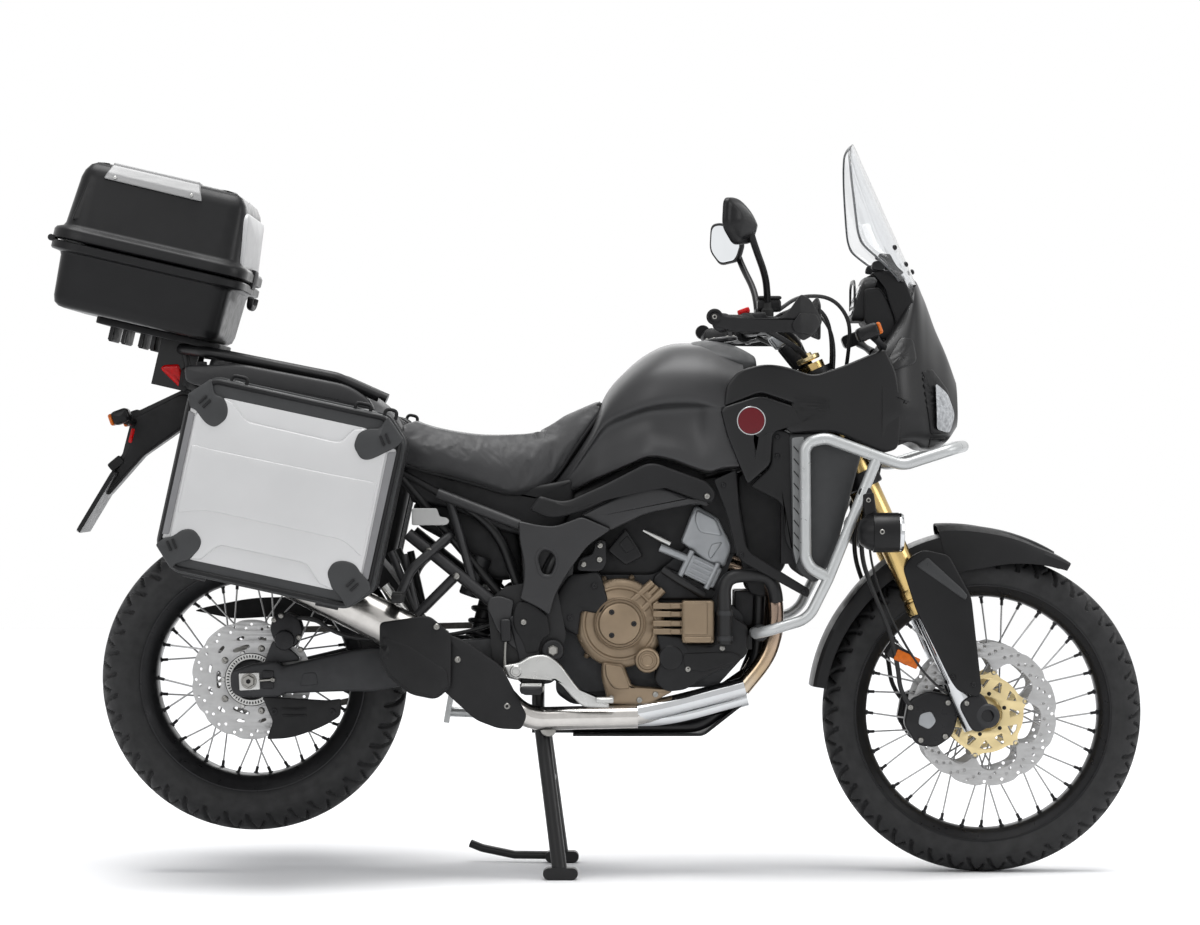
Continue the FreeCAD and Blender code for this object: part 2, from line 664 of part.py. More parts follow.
def rear_subframe():
    """Seat rails, lower struts and the two racks that the side cases hang on."""
    rail = tube("seat_rail", dim.subframe_tube_radius, [
        (-172, -plate_inner + dim.fit_gap, 612), (-172, -110, 612), (-222, -104, 752),
        (-420, -104, 862), (-880, -78, 1052)], 200)
    strut = tube("lower_strut", dim.subframe_tube_radius - 1, [
        (-206, -plate_inner + dim.fit_gap, 594), (-206, -112, 594), (-300, -108, 705),
        (-424, -106, 852)], 200)
    end = rod("tail_cross", 10, (-880, -80, 1052), (-880, 80, 1052))
    middle = rod("seat_cross", 10, (-420, -106, 862), (-420, 106, 862))
    rack_y = dim.case_inner_y - dim.rack_tube_radius - dim.fit_gap
    ring = tube("rack_ring", dim.rack_tube_radius, [
        (-474, -rack_y, 850), (-474, -rack_y, 760), (-838, -rack_y, 840), (-838, -rack_y, 1008),
        (-474, -rack_y, 930), (-474, -rack_y, 849)], 40)
    front_stay = rod("rack_front_stay", 8, (-474, -rack_y, 900), (-474, -104, 886))
    rear_stay = rod("rack_rear_stay", 8, (-838, -rack_y, 985), (-838, -80, 1034))
    return node("rear_subframe", [fused("rear_subframe", both_sides(
        rail, strut, ring, front_stay, rear_stay) + [end, middle])])


# ---------------------------------------------------------------- engine and exhaust
engine_half = dim.engine_width / 2


def engine_block():
    """Crankcase, and two cylinders that lean forward, as one plain block."""
    block_outline = [
        (-92, 392, 12), (-98, 600, 30), (-20, 652, 30), (72, 655, 20), (118, 760, 20),
        (212, 806, 16), (292, 700, 16), (252, 604, 20), (306, 560, 20), (308, 470, 30),
        (250, 406, 20)]
    return node("engine_block", [plate("engine_block", block_outline, "engine_width")])


def engine_covers():
    """Clutch, sump and pump covers on the right, generator and sprocket covers on the left."""
    right = -engine_half
    deep = dim.clutch_cover_depth
    clutch = rod("clutch_cover", "clutch_cover_radius", (42, right, 543), (42, right - deep, 543))
    clutch_step = rod("clutch_step", 46, (42, right, 543), (42, right - deep - 14, 543))
    ribbed = plate("ribbed_cover", [(104, 502, 6), (237, 500, 8), (232, 580, 8), (200, 592, 8),
                                    (110, 592, 6)], 64, (0, right - 32, 0))
    pump = rod("pump_cover", 30, (98, right, 470), (98, right - 70, 470))
    sump = plate("sump_cover", [(-4, 470, 10), (96, 474), (122, 450, 10), (139, 400, 16),
                                (40, 384, 14), (0, 404, 10)], 52, (0, right - 26, 0))
    lower = plate("lower_cover", [(120, 496), (242, 566, 10), (306, 540, 14), (304, 478, 14),
                                  (246, 440, 10), (150, 410, 10)], 44, (0, right - 22, 0))
    generator = rod("generator_cover", 82, (62, engine_half, 530), (62, engine_half + 64, 530))
    sprocket = plate("sprocket_cover", [(-90, 440, 30), (-90, 560, 40), (0, 590, 20),
                                        (0, 430, 20)], 34, (0, engine_half + 17, 0))
    left = fused("left_covers", [generator, sprocket])
    whole = fused("right_covers", [clutch, clutch_step, ribbed, pump, sump, lower])
    return node("engine_covers", [whole, left])


SILENCER_START = Vector(-318, -186, 476)
SILENCER_END = Vector(-812, -180, 724)
SILENCER_WAY = (SILENCER_END - SILENCER_START).normalize()
LINK_PIPE = [(80, -150, 345), (-160, -156, 340), tuple(SILENCER_START - SILENCER_WAY * 70),
             tuple(SILENCER_START)]


def exhaust_pipes():
    """Two headers down the front of the engine and back on the right to the silencer."""
    inner = tube("header_left", dim.header_radius, [
        (276, 38, 668), (356, 38, 640), (384, 36, 520), (326, 10, 424), (246, -6, 366),
        (140, -46, 358), (40, -112, 356), (-40, -150, 342)], 70)
    outer = tube("header_right", dim.header_radius, [
        (276, -38, 668), (350, -38, 645), (378, -40, 520), (334, -40, 434), (254, -42, 379),
        (146, -108, 358), (60, -150, 344)], 70)
    pipe = tube("link_pipe", dim.exhaust_pipe_radius, LINK_PIPE, 90)
    whole = fused("pipes_whole", [inner, outer, pipe])
    room = plate("head_room", [(200, 600), (252, 604), (292, 700), (260, 760), (200, 760)], 200)
    return node("exhaust_pipes", [carved("exhaust_pipes", whole, [room])])


def exhaust_silencer():
    """An upswept oval can with a hollow end pipe."""
    way = SILENCER_WAY
    can = rod("silencer_can", "silencer_radius", SILENCER_START + way * 26, SILENCER_END)
    inlet = rod("silencer_inlet", 33, SILENCER_START + way * dim.fit_gap,
                SILENCER_START + way * 30)
    tip = rod("silencer_tip", 24, SILENCER_END - way * 5, SILENCER_END + way * 30)
    bore = rod("silencer_bore", 19, SILENCER_END - way * 60, SILENCER_END + way * 40)
    return node("exhaust_silencer", [carved("exhaust_silencer", fused(
        "silencer_whole", [can, inlet, tip]), [bore])])


def exhaust_shields():
    """Two black covers outside the exhaust, where boots would touch it."""
    front = plate("front_shield", [
        (-315, 520, 10), (-282, 507, 10), (-158, 368, 12), (-166, 318, 12), (-212, 320, 14),
        (-312, 402, 12)], 14, (0, -222, 0))
    rear = plate("rear_shield", [
        (-464, 548, 12), (-362, 569, 12), (-318, 520, 8), (-318, 398, 12), (-358, 374, 14),
        (-438, 436, 20)], 14, (0, -240, 0))
    stay = rod("shield_stay", 8, (-330, -216, 500), (-330, -240, 500))
    front_stay = rod("front_shield_stay", 8, (-205, -150, 380), (-205, -222, 380))
    bridge = block("shield_bridge", 30, 25, 40, (-315, -231, 460))
    pipe_room = tube("pipe_room", dim.exhaust_pipe_radius + dim.fit_gap, LINK_PIPE, 90)
    can_room = rod("can_room", "silencer_radius + fit_gap", SILENCER_START, SILENCER_END)
    whole = fused("shields_whole", [front, rear, stay, front_stay, bridge])
    return node("exhaust_shields", [carved("exhaust_shields", whole, [pipe_room, can_room])])


# ---------------------------------------------------------------- bodywork
def sections_of(rows, grow=0):
    """Sections for hull() from rows of
    (x, bottom z, half width there, belt z, half width, shoulder z, half width, top z, half width).
    """
    return [(x, [(b + grow, zb - grow), (m + grow, zm), (s + grow, zs), (t + grow, zt + grow)])
            for x, zb, b, zm, m, zs, s, zt, t in rows]


def tank_hull(name, grow=0):
    wide = dim.tank_half_width
    return hull(name, sections_of([
        (-96 - grow, 812, 62, 822, 74, 832, 70, 838, 40),
        (-30 - grow, 836, 96, 870, 116, 920, 104, 944, 50),
        (14 - grow, 850, 104, 900, 128, 985, 112, 1026, 52),
        (60, 872, 140, 930, 158, 1040, 136, 1080, 60),
        (110, 895, 168, 960, wide, 1070, 156, 1122, 80),
        (160, 884, 170, 970, wide, 1085, 160, 1141, 96),
        (238, 862, 164, 970, 168, 1080, 160, 1137, 96),
        (312, 872, 158, 970, 166, 1060, 150, 1104, 90)], grow))


def fuel_tank():
    """A tank with high shoulders, over a tunnel for the frame's beams."""
    tunnel = block("tank_tunnel", 500, 236, 300, (150, 0, 775))
    body = carved("tank_body", tank_hull("tank_shape"), [tunnel])
    cap = rod("filler_cap", 38, (205, 0, 1120), (205, 0, 1146))
    saddle = rod("tank_saddle", 14, (230, -84, 872), (230, -84, 940))
    beam_room = tube("beam_room", dim.frame_tube_radius + dim.fit_gap, BEAM_PATH, 160)
    saddle = carved("tank_saddle_cut", saddle, [beam_room])
    return node("fuel_tank", [fused("fuel_tank", [body, cap] + both_sides(saddle))])


def rider_seat():
    """A scooped seat whose narrow nose runs up against the tank."""
    back = hull("seat_back", sections_of([
        (-424, 880, 128, 930, 150, 968, 140, 976, 96),
        (-380, 866, 128, 910, 156, 950, 146, 958, 96),
        (-330, 854, 126, 900, 158, 938, 148, 945, 96),
        (-258, 834, 124, 880, 154, 928, 142, 936, 92),
        (-187, 812, 116, 850, 142, 926, 124, 936, 78),
        (-138, 822, 100, 850, 122, 928, 104, 941, 64),
        (-98, 846, 84, 870, 98, 946, 84, 960, 52),
        (-46, 926, 78, 940, 86, 980, 76, 996, 46),
        (-2, 992, 60, 1000, 64, 1014, 60, 1026, 40)]))
    return node("rider_seat", [carved("rider_seat", back, [tank_hull("tank_room", dim.fit_gap)])])


def pillion_seat():
    return node("pillion_seat", [hull("pillion_seat", sections_of([
        (-846, 1062, 76, 1085, 88, 1112, 82, 1124, 52),
        (-660, 992, 104, 1016, 122, 1058, 112, 1075, 70),
        (-535, 940, 112, 972, 134, 1036, 122, 1054, 78),
        (-476, 916, 114, 946, 138, 1000, 128, 1012, 84),
        (-424 - dim.fit_gap, 900, 114, 932, 138, 972, 128, 982, 90)]))])


def side_shrouds():
    """The panel from the tank's front down over each radiator."""
    outline = [
        fore(252, 1000, 14), fore(334, 1094, 20), fore(436, 1080, 30), fore(560, 1127, 20), fore(598, 1120),
        fore(598, 914), fore(550, 906, 10), fore(500, 680, 14), fore(455, 628, 16), fore(414, 680, 14),
        fore(396, 900, 20), fore(324, 852, 12), fore(304, 852, 12)]
    panel = plate("shroud", outline, "shroud_thickness", (0, -dim.shroud_y, 0))
    peg = rod("shroud_peg", 12, fore(402, -dim.shroud_y, 800), fore(402, -168 - dim.fit_gap, 800))
    return node("side_shrouds", both_sides(fused("shroud_side", [panel, peg])))


def side_covers():
    """The cover between seat, tank and pivot plate on each side."""
    outline = [
        (-172, 762, 12), (-40, 774, 16), (24, 748, 16), (-48, 680, 24), (-94, 606, 20),
        (-108, 560, 8), (-128, 650, 20)]
    middle = -plate_y - dim.frame_tube_radius - 15
    cover = plate("side_cover", outline, 26, (0, middle, 0))
    window = plate("side_cover_window", [
        (-132, 706, 12), (-96, 706, 12), (-96, 650, 9), (-124, 650, 9)], 60, (0, middle, 0))
    rim = plate("tank_trim", [
        (-84, 806), (104, 880, 30), (240, 840), (238, 826), (104, 862, 30), (-40, 790)],
        20, (0, middle, 0))
    stay = rod("side_cover_stay", 6, (-115, middle, 632),
               (-115, -plate_y - dim.frame_tube_radius - dim.fit_gap, 632))
    joint = plate("cover_joint", [(-64, 764), (-44, 794), (-16, 810), (6, 758)], 16, (0, middle, 0))
    whole = fused("side_cover_whole", [cover, rim, stay, joint])
    return node("side_covers", both_sides(carved("side_cover_side", whole, [window])))

LAMP_BOX = [fore(704, 962), fore(790, 962), fore(790, 1052), fore(716, 1052)]


def nose_fairing():
    """The nose, hollow where the fork turns, with a bay for the headlamps."""
    rows = [
        fore(600, 914, 150, 1000, 196, 1090, 190, 1120, 150),
        fore(640, 912, 140, 1000, 190, 1110, 172, 1192, 104),
        fore(676, 913, 122, 1000, 166, 1120, 146, 1280, 74),
        fore(712, 914, 96, 990, 132, 1100, 108, 1206, 48),
        fore(746, 932, 66, 990, 96, 1060, 80, 1122, 28),
        fore(770, 962, 40, 990, 60, 1030, 50, 1062, 20),
    ]
    shape = hull("nose_shape", sections_of(rows))
    sweep = rod("fork_sweep", fork_sweep, on_steering(540), on_steering(960))
    bay = plate("lamp_bay", LAMP_BOX, 300)
    whole = carved("nose_body", shape, [sweep, bay])
    dash_stay = rod("dash_stay", 8, (588.4, 0, 1225), fore(668, 0, 1225))
    return node("nose_fairing", [fused("nose_fairing", [whole, dash_stay])])


def headlamps():
    """Twin lamps set in the nose, flush with its faces."""
    gap = dim.fit_gap
    bay = plate("lamp_fill", [fore(704 + gap, 962 + gap), fore(790, 962 + gap), fore(790, 1052 - gap),
                              fore(716 + gap, 1052 - gap)], 300)
    lamps = shared("lamps_whole", hull("lamp_shape", [
        fore(700, [(98, 913), (136, 990), (112, 1100), (50, 1220)]),
        fore(746, [(66, 932), (96, 990), (80, 1060), (28, 1122)]),
        fore(770, [(40, 962), (60, 990), (50, 1030), (20, 1062)])]), bay)
    divide = block("lamp_divide", 200, 12, 300, fore(740, 0, 1000))
    return node("headlamps", [carved("headlamps", lamps, [divide])])


def windscreen():
    """A clear screen bent round the instruments."""
    # height, middle x, edge x, half width
    rows = [
        (1570, 548, 540, 48),
        (1540, 561, 536, 100),
        (1450, 602, 539, 150),
        (1370, 638, 554, 168),
        (1280.4, 679, 612, 128),
    ]
    wires = []
    for z, middle_x, edge_x, half in rows:
        ring = []
        for inset in (0, dim.screen_thickness):
            left = Vector(fore(edge_x) - inset, half, z)
            right = Vector(fore(edge_x) - inset, -half, z)
            middle = Vector(fore(middle_x) - inset, 0, z)
            ring.append(Part.Arc(left, middle, right))
        outer, inner = ring
        wires.append(Part.Wire([
            outer.toShape(), Part.LineSegment(outer.EndPoint, inner.EndPoint).toShape(),
            inner.toShape(), Part.LineSegment(inner.StartPoint, outer.StartPoint).toShape()]))
    sheet_shape = Part.makeLoft(wires, True, True)
    return node("windscreen", [solid("windscreen", sheet_shape)])


def instrument_panel():
    panel = block("instrument_panel", 28, 176, 104, fore(574, 0, 1234), about_y(12))
    return node("instrument_panel", [panel])


def radiators():
    """One radiator on each side, behind its shroud."""
    core = block("radiator", 34, 84, 230, fore(402, -126, 785))
    tank_top = rod("radiator_tank", 17, fore(402, -86, 905), fore(402, -166, 905))
    hanger = block("radiator_hanger", 34, 10, 20, fore(372, -89, 740))
    tube_room = tube("down_tube_room", dim.cradle_tube_radius + dim.fit_gap, DOWN_PATH, 90)
    whole = fused("radiator_whole", [core, tank_top, hanger])
    return node("radiators", both_sides(carved("radiator_side", whole, [tube_room])))


main_frame()
rear_subframe()
engine_block()
engine_covers()
exhaust_pipes()
exhaust_silencer()
exhaust_shields()
fuel_tank()
rider_seat()
pillion_seat()
side_shrouds()
side_covers()
nose_fairing()
headlamps()
windscreen()
instrument_panel()
radiators()


# ---------------------------------------------------------------- guards and lamps in front
def crash_bars():
    """A silver tube on each side, round the shrouds and across in front below the lamps."""
    y = dim.crash_bar_y
    radius = dim.crash_bar_radius
    loop = tube("crash_loop", radius, [
        fore(483, -y, 642), fore(434, -y, 668), fore(432, -y, 926), fore(476, -y, 938),
        fore(586, -y, 898), fore(640, -y, 880), fore(752, -y + 6, 916), fore(776, -120, 920), fore(776, 0, 920)], 50)
    main = tube("crash_main", dim.crash_brace_radius, [
        fore(330, -104 - dim.fit_gap, 522), (332, -y, 523), fore(440, -y, 556), fore(482, -y, 640),
        fore(586, -y, 898)], 60)
    return node("crash_bars", [fused("crash_bars", both_sides(loop, main))])


def fog_lamps():
    """Round lamps on brackets from the crash bars."""
    y = dim.crash_bar_y
    body = turned("fog_body", [(0, 0), (40, 0, 6), (42, 70, 6), (26, 92, 10), (0, 92)],
                  fore(640, -y + 6, 737), 360, Rotation(Vector(0, 0, 1), 90))
    bracket = block("fog_bracket", 26, 8, 60, fore(572, -y + 20, 790))
    reach = rod("fog_arm", 8, fore(557, -y + 6, 818), fore(557, -y + 26, 818))
    room = tube("bar_room", dim.crash_brace_radius + dim.fit_gap, [
        fore(332, -y, 523), fore(440, -y, 556), fore(482, -y, 640), fore(586, -y, 898)], 60)
    return node("fog_lamps", both_sides(
        carved("fog_lamp", fused("fog_whole", [body, bracket, reach]), [room])))


def turn_signals():
    """Amber-lensed signals on short stalks, two in front and two at the tail."""
    front = block("front_signal", 54, 52, 34, fore(566, -236, 1160), about_y(20))
    front_stalk = rod("front_stalk", 9, fore(604, -150, 1128), fore(578, -226, 1152))
    nose_room = solid("nose_room", doc.getObject("nose_shape").Shape.copy())
    shroud_room = solid("shroud_room", doc.getObject("shroud").Shape.copy())
    first = carved("front_signal_whole", fused("front_signal_pair", [front, front_stalk]),
                   [nose_room, shroud_room])
    rear = block("rear_signal", 46, 70, 26, (-1028, -108, 984), about_y(20))
    stalk = rod("rear_stalk", 8, (-1010, -27 - dim.fit_gap, 972), (-1010, -90, 972))
    return node("turn_signals", both_sides(first, fused("rear_signal_whole", [rear, stalk])))


def skid_plate():
    """A bent plate under the pipes and the lower rails, up in front of the engine."""
    top = dim.cradle_height - dim.cradle_tube_radius - dim.fit_gap
    bent = plate("skid_plate", [
        (-58, top), (220, top, 30), (313, top + 73), (316, top + 69), (222, top - 5, 34),
        (-58, top - 5)], 216)
    return node("skid_plate", [bent])


# ---------------------------------------------------------------- rear end
CHAIN_REAR = Vector(dim.rear_axle_x, 0, dim.rear_axle_height)
CHAIN_FRONT = Vector(-152, 0, 492)
chain_rear_inner = dim.sprocket_radius + 5
CHAIN_FRONT_INNER = 34


def chain_underside(x):
    """Height of the upper run's underside, on the tangent of the chain's two inner circles."""
    span = CHAIN_FRONT - CHAIN_REAR
    angle = math.atan2(span.z, span.x) + math.acos(
        (chain_rear_inner - CHAIN_FRONT_INNER) / span.Length)
    return CHAIN_REAR.z + (chain_rear_inner - (x - CHAIN_REAR.x) * math.cos(angle)) / math.sin(angle)


def swingarm():
    """Two deep arms, a tube at the pivot, a bridge ahead of the tyre and the rear axle."""
    x, z = dim.rear_axle_x, dim.rear_axle_height
    side_outline = [
        (x - 38, z + 26, 10), (x + 70, z + 36, 30), (-482, 486, 60), (-206, 512, 20),
        (-186, 504, 12), (-186, 478, 12), (-226, 452, 20), (-482, 392, 60), (x - 38, z - 32, 10)]
    arm = plate("swingarm_arm", side_outline, "swingarm_thickness", (0, -dim.swingarm_y, 0))
    inner = dim.swingarm_y - dim.swingarm_thickness / 2
    bridge = block("swingarm_bridge", 78, 2 * inner + 4, 48, (-352, 0, 456))
    pivot = rod("swingarm_pivot", 13, (-205, -dim.swingarm_y, 492), (-205, dim.swingarm_y, 492))
    pin = rod("swingarm_pin", 10, (-205, -plate_inner + dim.fit_gap, 492),
              (-205, plate_inner - dim.fit_gap, 492))
    axle = rod("rear_axle", "axle_radius", (x, -dim.swingarm_y - 26, z),
               (x, dim.swingarm_y + 26, z))
    slider = plate("chain_slider", [
        (-310, 480), (-310, chain_underside(-310) - dim.fit_gap),
        (-222, chain_underside(-222) - dim.fit_gap), (-222, 480)], 26, (0, dim.chain_y + 1, 0))
    whole = fused("swingarm_whole", both_sides(arm) + [bridge, pivot, pin, axle, slider])
    hole = rod("bobbin_hole", 4, (-700, -dim.swingarm_y - 60, z), (-700, dim.swingarm_y + 60, z))
    return node("swingarm", [carved("swingarm", whole, [hole])])


def shock_absorber():
    """A single spring and damper between the frame's cross tube and the swingarm's linkage."""
    top, bottom = Vector(-225, 0, 655), Vector(-290, 0, 402)
    way = (bottom - top).normalize()
    damper = rod("damper", 20, top + way * 8, bottom)
    spring = rod("shock_spring", 31, top + way * 46, bottom - way * 46)
    eye = rod("shock_eye", 16, top + Vector(0, -22 + dim.fit_gap, 0),
              top + Vector(0, 22 - dim.fit_gap, 0))
    link = plate("shock_link", [(-384, 432 - dim.fit_gap), (-320, 432 - dim.fit_gap),
                                (-266, 412, 10), (-266, 385, 10), (-330, 392, 12)], 46)
    whole = fused("shock_absorber", [damper, spring, eye, link])
    return node("shock_absorber", [whole])


def drive_chain():
    """The chain as one band round both sprockets."""
    front, rear = CHAIN_FRONT, CHAIN_REAR

    def band(rear_radius, front_radius, thick):
        """A belt outline round two circles, by its two outer tangents."""
        span = front - rear
        lean = math.atan2(span.z, span.x)
        open_angle = math.acos((rear_radius - front_radius) / span.Length)
        marks = {}
        for key, centre, radius in (("rear", rear, rear_radius), ("front", front, front_radius)):
            for sign in (1, -1):
                angle = lean + sign * open_angle
                marks[key, sign] = centre + Vector(math.cos(angle), 0, math.sin(angle)) * radius
        back = rear - span.normalize() * rear_radius
        span = (front - rear).normalize()
        ahead = front + span * front_radius
        wire = Part.Wire([
            Part.Arc(marks["rear", 1], back, marks["rear", -1]).toShape(),
            Part.LineSegment(marks["rear", -1], marks["front", -1]).toShape(),
            Part.Arc(marks["front", -1], ahead, marks["front", 1]).toShape(),
            Part.LineSegment(marks["front", 1], marks["rear", 1]).toShape()])
        face = Part.Face(wire)
        face.translate(Vector(0, dim.chain_y - thick / 2, 0))
        return face.extrude(Vector(0, thick, 0))

    ring = band(chain_rear_inner + dim.chain_height, CHAIN_FRONT_INNER + dim.chain_height,
                dim.chain_width)
    ring = ring.cut(band(chain_rear_inner, CHAIN_FRONT_INNER, dim.chain_width + 2))
    return node("drive_chain", [solid("drive_chain", ring)])


def rear_hugger():
    """A mudguard close over the front of the rear tyre, on the swingarm."""
    outer = dim.rear_tyre_radius + 18
    half = 88
    shell = turned("hugger_shell", [
        (outer - 34, -half), (outer, -half, 8), (outer, half, 8), (outer - 34, half),
        (outer - 34, half - 4), (outer - 4, half - 4), (outer - 4, 4 - half),
        (outer - 34, 4 - half)], rear_centre, 64, about_y(-88))
    front = -391 - dim.fit_gap
    foot = plate("hugger_foot", [(front, 458), (front, 480), (-416, 572), (-432, 560),
                                 (-407, 470), (-403, 458)], 60)
    return node("rear_hugger", [fused("rear_hugger", [shell, foot])])


def rear_brake_caliper():
    """A caliper above the swingarm, over the rear disc."""
    inner_edge = rear_seat - 4
    disc_out = rear_seat + 3 + dim.disc_thickness + dim.fit_gap
    outer = block("rear_caliper_outer", 72, 26, 66, (-668, -disc_out - 5 - 13, 499), about_y(-30))
    inner = block("rear_caliper_inner", 60, 12, 60, (-672, -inner_edge + 8, 497), about_y(-30))
    bridge = block("rear_caliper_bridge", 14, disc_out + 31 - inner_edge + 14, 56,
                   (-632, -(disc_out + 31 + inner_edge - 14) / 2, 533), about_y(40))
    arm_room = plate("arm_room", [
        (-786, 446 + dim.fit_gap), (-678, 456 + dim.fit_gap), (-482, 486 + dim.fit_gap),
        (-482, 380), (-786, 380)], 60,
        (0, -dim.swingarm_y, 0))
    return node("rear_brake_caliper", [carved("rear_brake_caliper", fused(
        "rear_caliper_whole", [outer, inner, bridge]), [arm_room])])


def top_frame(x, z, y=0):
    """A point in the top case's own tilted frame."""
    return about_y(dim.top_tilt).multVec(Vector(x, y, z))


def tail_rack():
    """Grab rails beside the seat, and the finned plate that the top case sits on."""
    rail = tube("grab_rail", 12, [
        (-470, -150, 1026), (-560, -158, 1066), (-840, -132, 1122), (-902, -70, 1130),
        (-902, 0, 1130)], 60)
    foot = tube("grab_foot", 7, [(-600, -154, 1078), (-600, -150, 937), (-600, -105.2, 937)], 30)
    end_foot = rod("grab_end_foot", 8, (-882, -58, 1062.4), (-894, -60, 1126))
    carrier = block("case_carrier", 262, 250, 12, top_frame(-1182, 921 - dim.fit_gap),
                    about_y(dim.top_tilt))
    fins = [block(f"carrier_fin_{i}", 8, 150, 34, top_frame(x, 900), about_y(dim.top_tilt))
            for i, x in enumerate((-1286, -1258, -1220, -1194))]
    post = block("carrier_post", 86, 10, 110, top_frame(-1136, 866, -58), about_y(dim.top_tilt))
    whole = fused("rack_whole", both_sides(rail, foot, end_foot, post) + [carrier] + fins)
    cross_room = rod("tail_cross_room", 10 + dim.fit_gap, (-880, -90, 1052), (-880, 90, 1052))
    return node("tail_rack", [carved("tail_rack", whole, [cross_room])])


def number_plate_holder():
    """A long arm behind the tail, with a blank plate and its backing."""
    arm = plate("plate_arm", [
        (-862, 1041.7), (-905, 1041.7, 12), (-1010, 992, 12), (-1032, 906, 20), (-1084, 820, 6),
        (-1060, 816, 6), (-986, 900, 30), (-872, 980)], 54)
    backing = block("number_plate", 4, 170, 150, (-1080, 0, 800), about_y(31))
    return node("number_plate_holder", [fused("number_plate_holder", [arm, backing])])


def tail_lamp():
    lens = plate("tail_lamp", [(-891, 1042, 3), (-900, 1042, 3), (-944, 1092, 6),
                               (-905, 1097, 5)], 104)
    return node("tail_lamp", [lens])


# ---------------------------------------------------------------- luggage
TOP_FLOOR, TOP_SEAM, TOP_LID = 927, 1066, 1243
TOP_BACK, TOP_FRONT = -1412, -1046


def tilted_box_pieces():
    """Outlines of the top case, in its own tilted frame: base and lid."""
    base = [(TOP_BACK + 8, TOP_FLOOR, 16), (TOP_FRONT - 8, TOP_FLOOR, 16),
            (TOP_FRONT + 8, TOP_SEAM - 22), (TOP_FRONT + 26, TOP_SEAM - 20, 4),
            (TOP_FRONT + 28, TOP_SEAM), (TOP_BACK - 34, TOP_SEAM), (TOP_BACK - 32, TOP_SEAM - 20, 4),
            (TOP_BACK - 8, TOP_SEAM - 24)]
    lid = [(TOP_BACK - 34, TOP_SEAM), (TOP_FRONT + 28, TOP_SEAM), (TOP_FRONT + 16, TOP_SEAM + 96),
           (TOP_FRONT - 2, TOP_SEAM + 140, 14), (TOP_FRONT - 46, TOP_LID - 4, 14),
           (TOP_BACK + 22, TOP_LID, 16), (TOP_BACK - 4, TOP_LID - 24, 14),
           (TOP_BACK - 20, TOP_SEAM + 40)]
    return base, lid


def top_case():
    """A hollow base, and a lid hinged along its front edge."""
    base, lid = tilted_box_pieces()
    turn = about_y(dim.top_tilt)
    width = 2 * dim.top_half_width
    wall = dim.top_wall
    outer = plate("top_base_outer", base, width, (0, 0, 0), turn)
    room = plate("top_base_room", [
        (TOP_BACK + 8 + wall, TOP_FLOOR + wall), (TOP_FRONT - 8 - wall, TOP_FLOOR + wall),
        (TOP_FRONT + 8 - wall, TOP_SEAM + 1), (TOP_BACK - 8 + wall, TOP_SEAM + 1)],
        width - 2 * wall, (0, 0, 0), turn)
    node("topcase_base", [carved("topcase_base", outer, [room])])
    top = [(x, z + dim.fit_gap * 2 if z == TOP_SEAM else z, *r) for x, z, *r in lid]
    shell = plate("top_lid_outer", top, width, (0, 0, 0), turn)
    lid_room = plate("top_lid_room", [
        (TOP_BACK - 18 + wall, TOP_SEAM - 1), (TOP_FRONT + 22 - wall, TOP_SEAM - 1),
        (TOP_FRONT + 14 - wall, TOP_SEAM + 96), (TOP_FRONT - 4 - wall, TOP_SEAM + 136),
        (TOP_FRONT - 48, TOP_LID - 4 - wall), (TOP_BACK + 24, TOP_LID - wall),
        (TOP_BACK - 2 + wall, TOP_LID - 26), (TOP_BACK - 16 + wall, TOP_SEAM + 40)],
        width - 2 * wall, (0, 0, 0), turn)
    node("topcase_lid", [carved("topcase_lid", shell, [lid_room])])


def case_outline(grow=0):
    """The side case's eight-sided outline about its centre."""
    half_x = dim.case_length / 2 + grow
    half_z = dim.case_height / 2 + grow
    cut = dim.case_corner
    return [(-half_x, -half_z + cut), (-half_x + cut, -half_z), (half_x - cut, -half_z),
            (half_x, -half_z + cut), (half_x, half_z - cut), (half_x - cut, half_z),
            (-half_x + cut, half_z), (-half_x, half_z - cut)]


def side_cases():
    """Two hollow cases that hang on the racks, and their outward-opening lids."""
    turn = about_y(dim.case_tilt)
    wall = dim.case_wall
    shells = []
    for side in (RIGHT, LEFT):
        seam = dim.case_seam_y - dim.fit_gap
        deep = seam - dim.case_inner_y
        middle = side * (seam + dim.case_inner_y) / 2
        outer = plate("case_outer", case_outline(), deep,
                      (dim.case_centre_x, middle, dim.case_centre_z), turn)
        room = plate("case_room", case_outline(-wall), deep,
                     (dim.case_centre_x, middle + side * wall, dim.case_centre_z), turn)
        shells.append(carved("case_shell", outer, [room]))
    node("pannier_shells", shells)
    for side, label in ((RIGHT, "pannier_lid_right"), (LEFT, "pannier_lid_left")):
        seam = dim.case_seam_y + dim.fit_gap
        deep = dim.case_outer_y - seam
        middle = side * (seam + dim.case_outer_y) / 2
        outer = plate("lid_outer", case_outline(), deep,
                      (dim.case_centre_x, middle, dim.case_centre_z), turn)
        room = plate("lid_room", case_outline(-wall), deep,
                     (dim.case_centre_x, middle - side * wall, dim.case_centre_z), turn)
        node(label, [carved(label, outer, [room])])


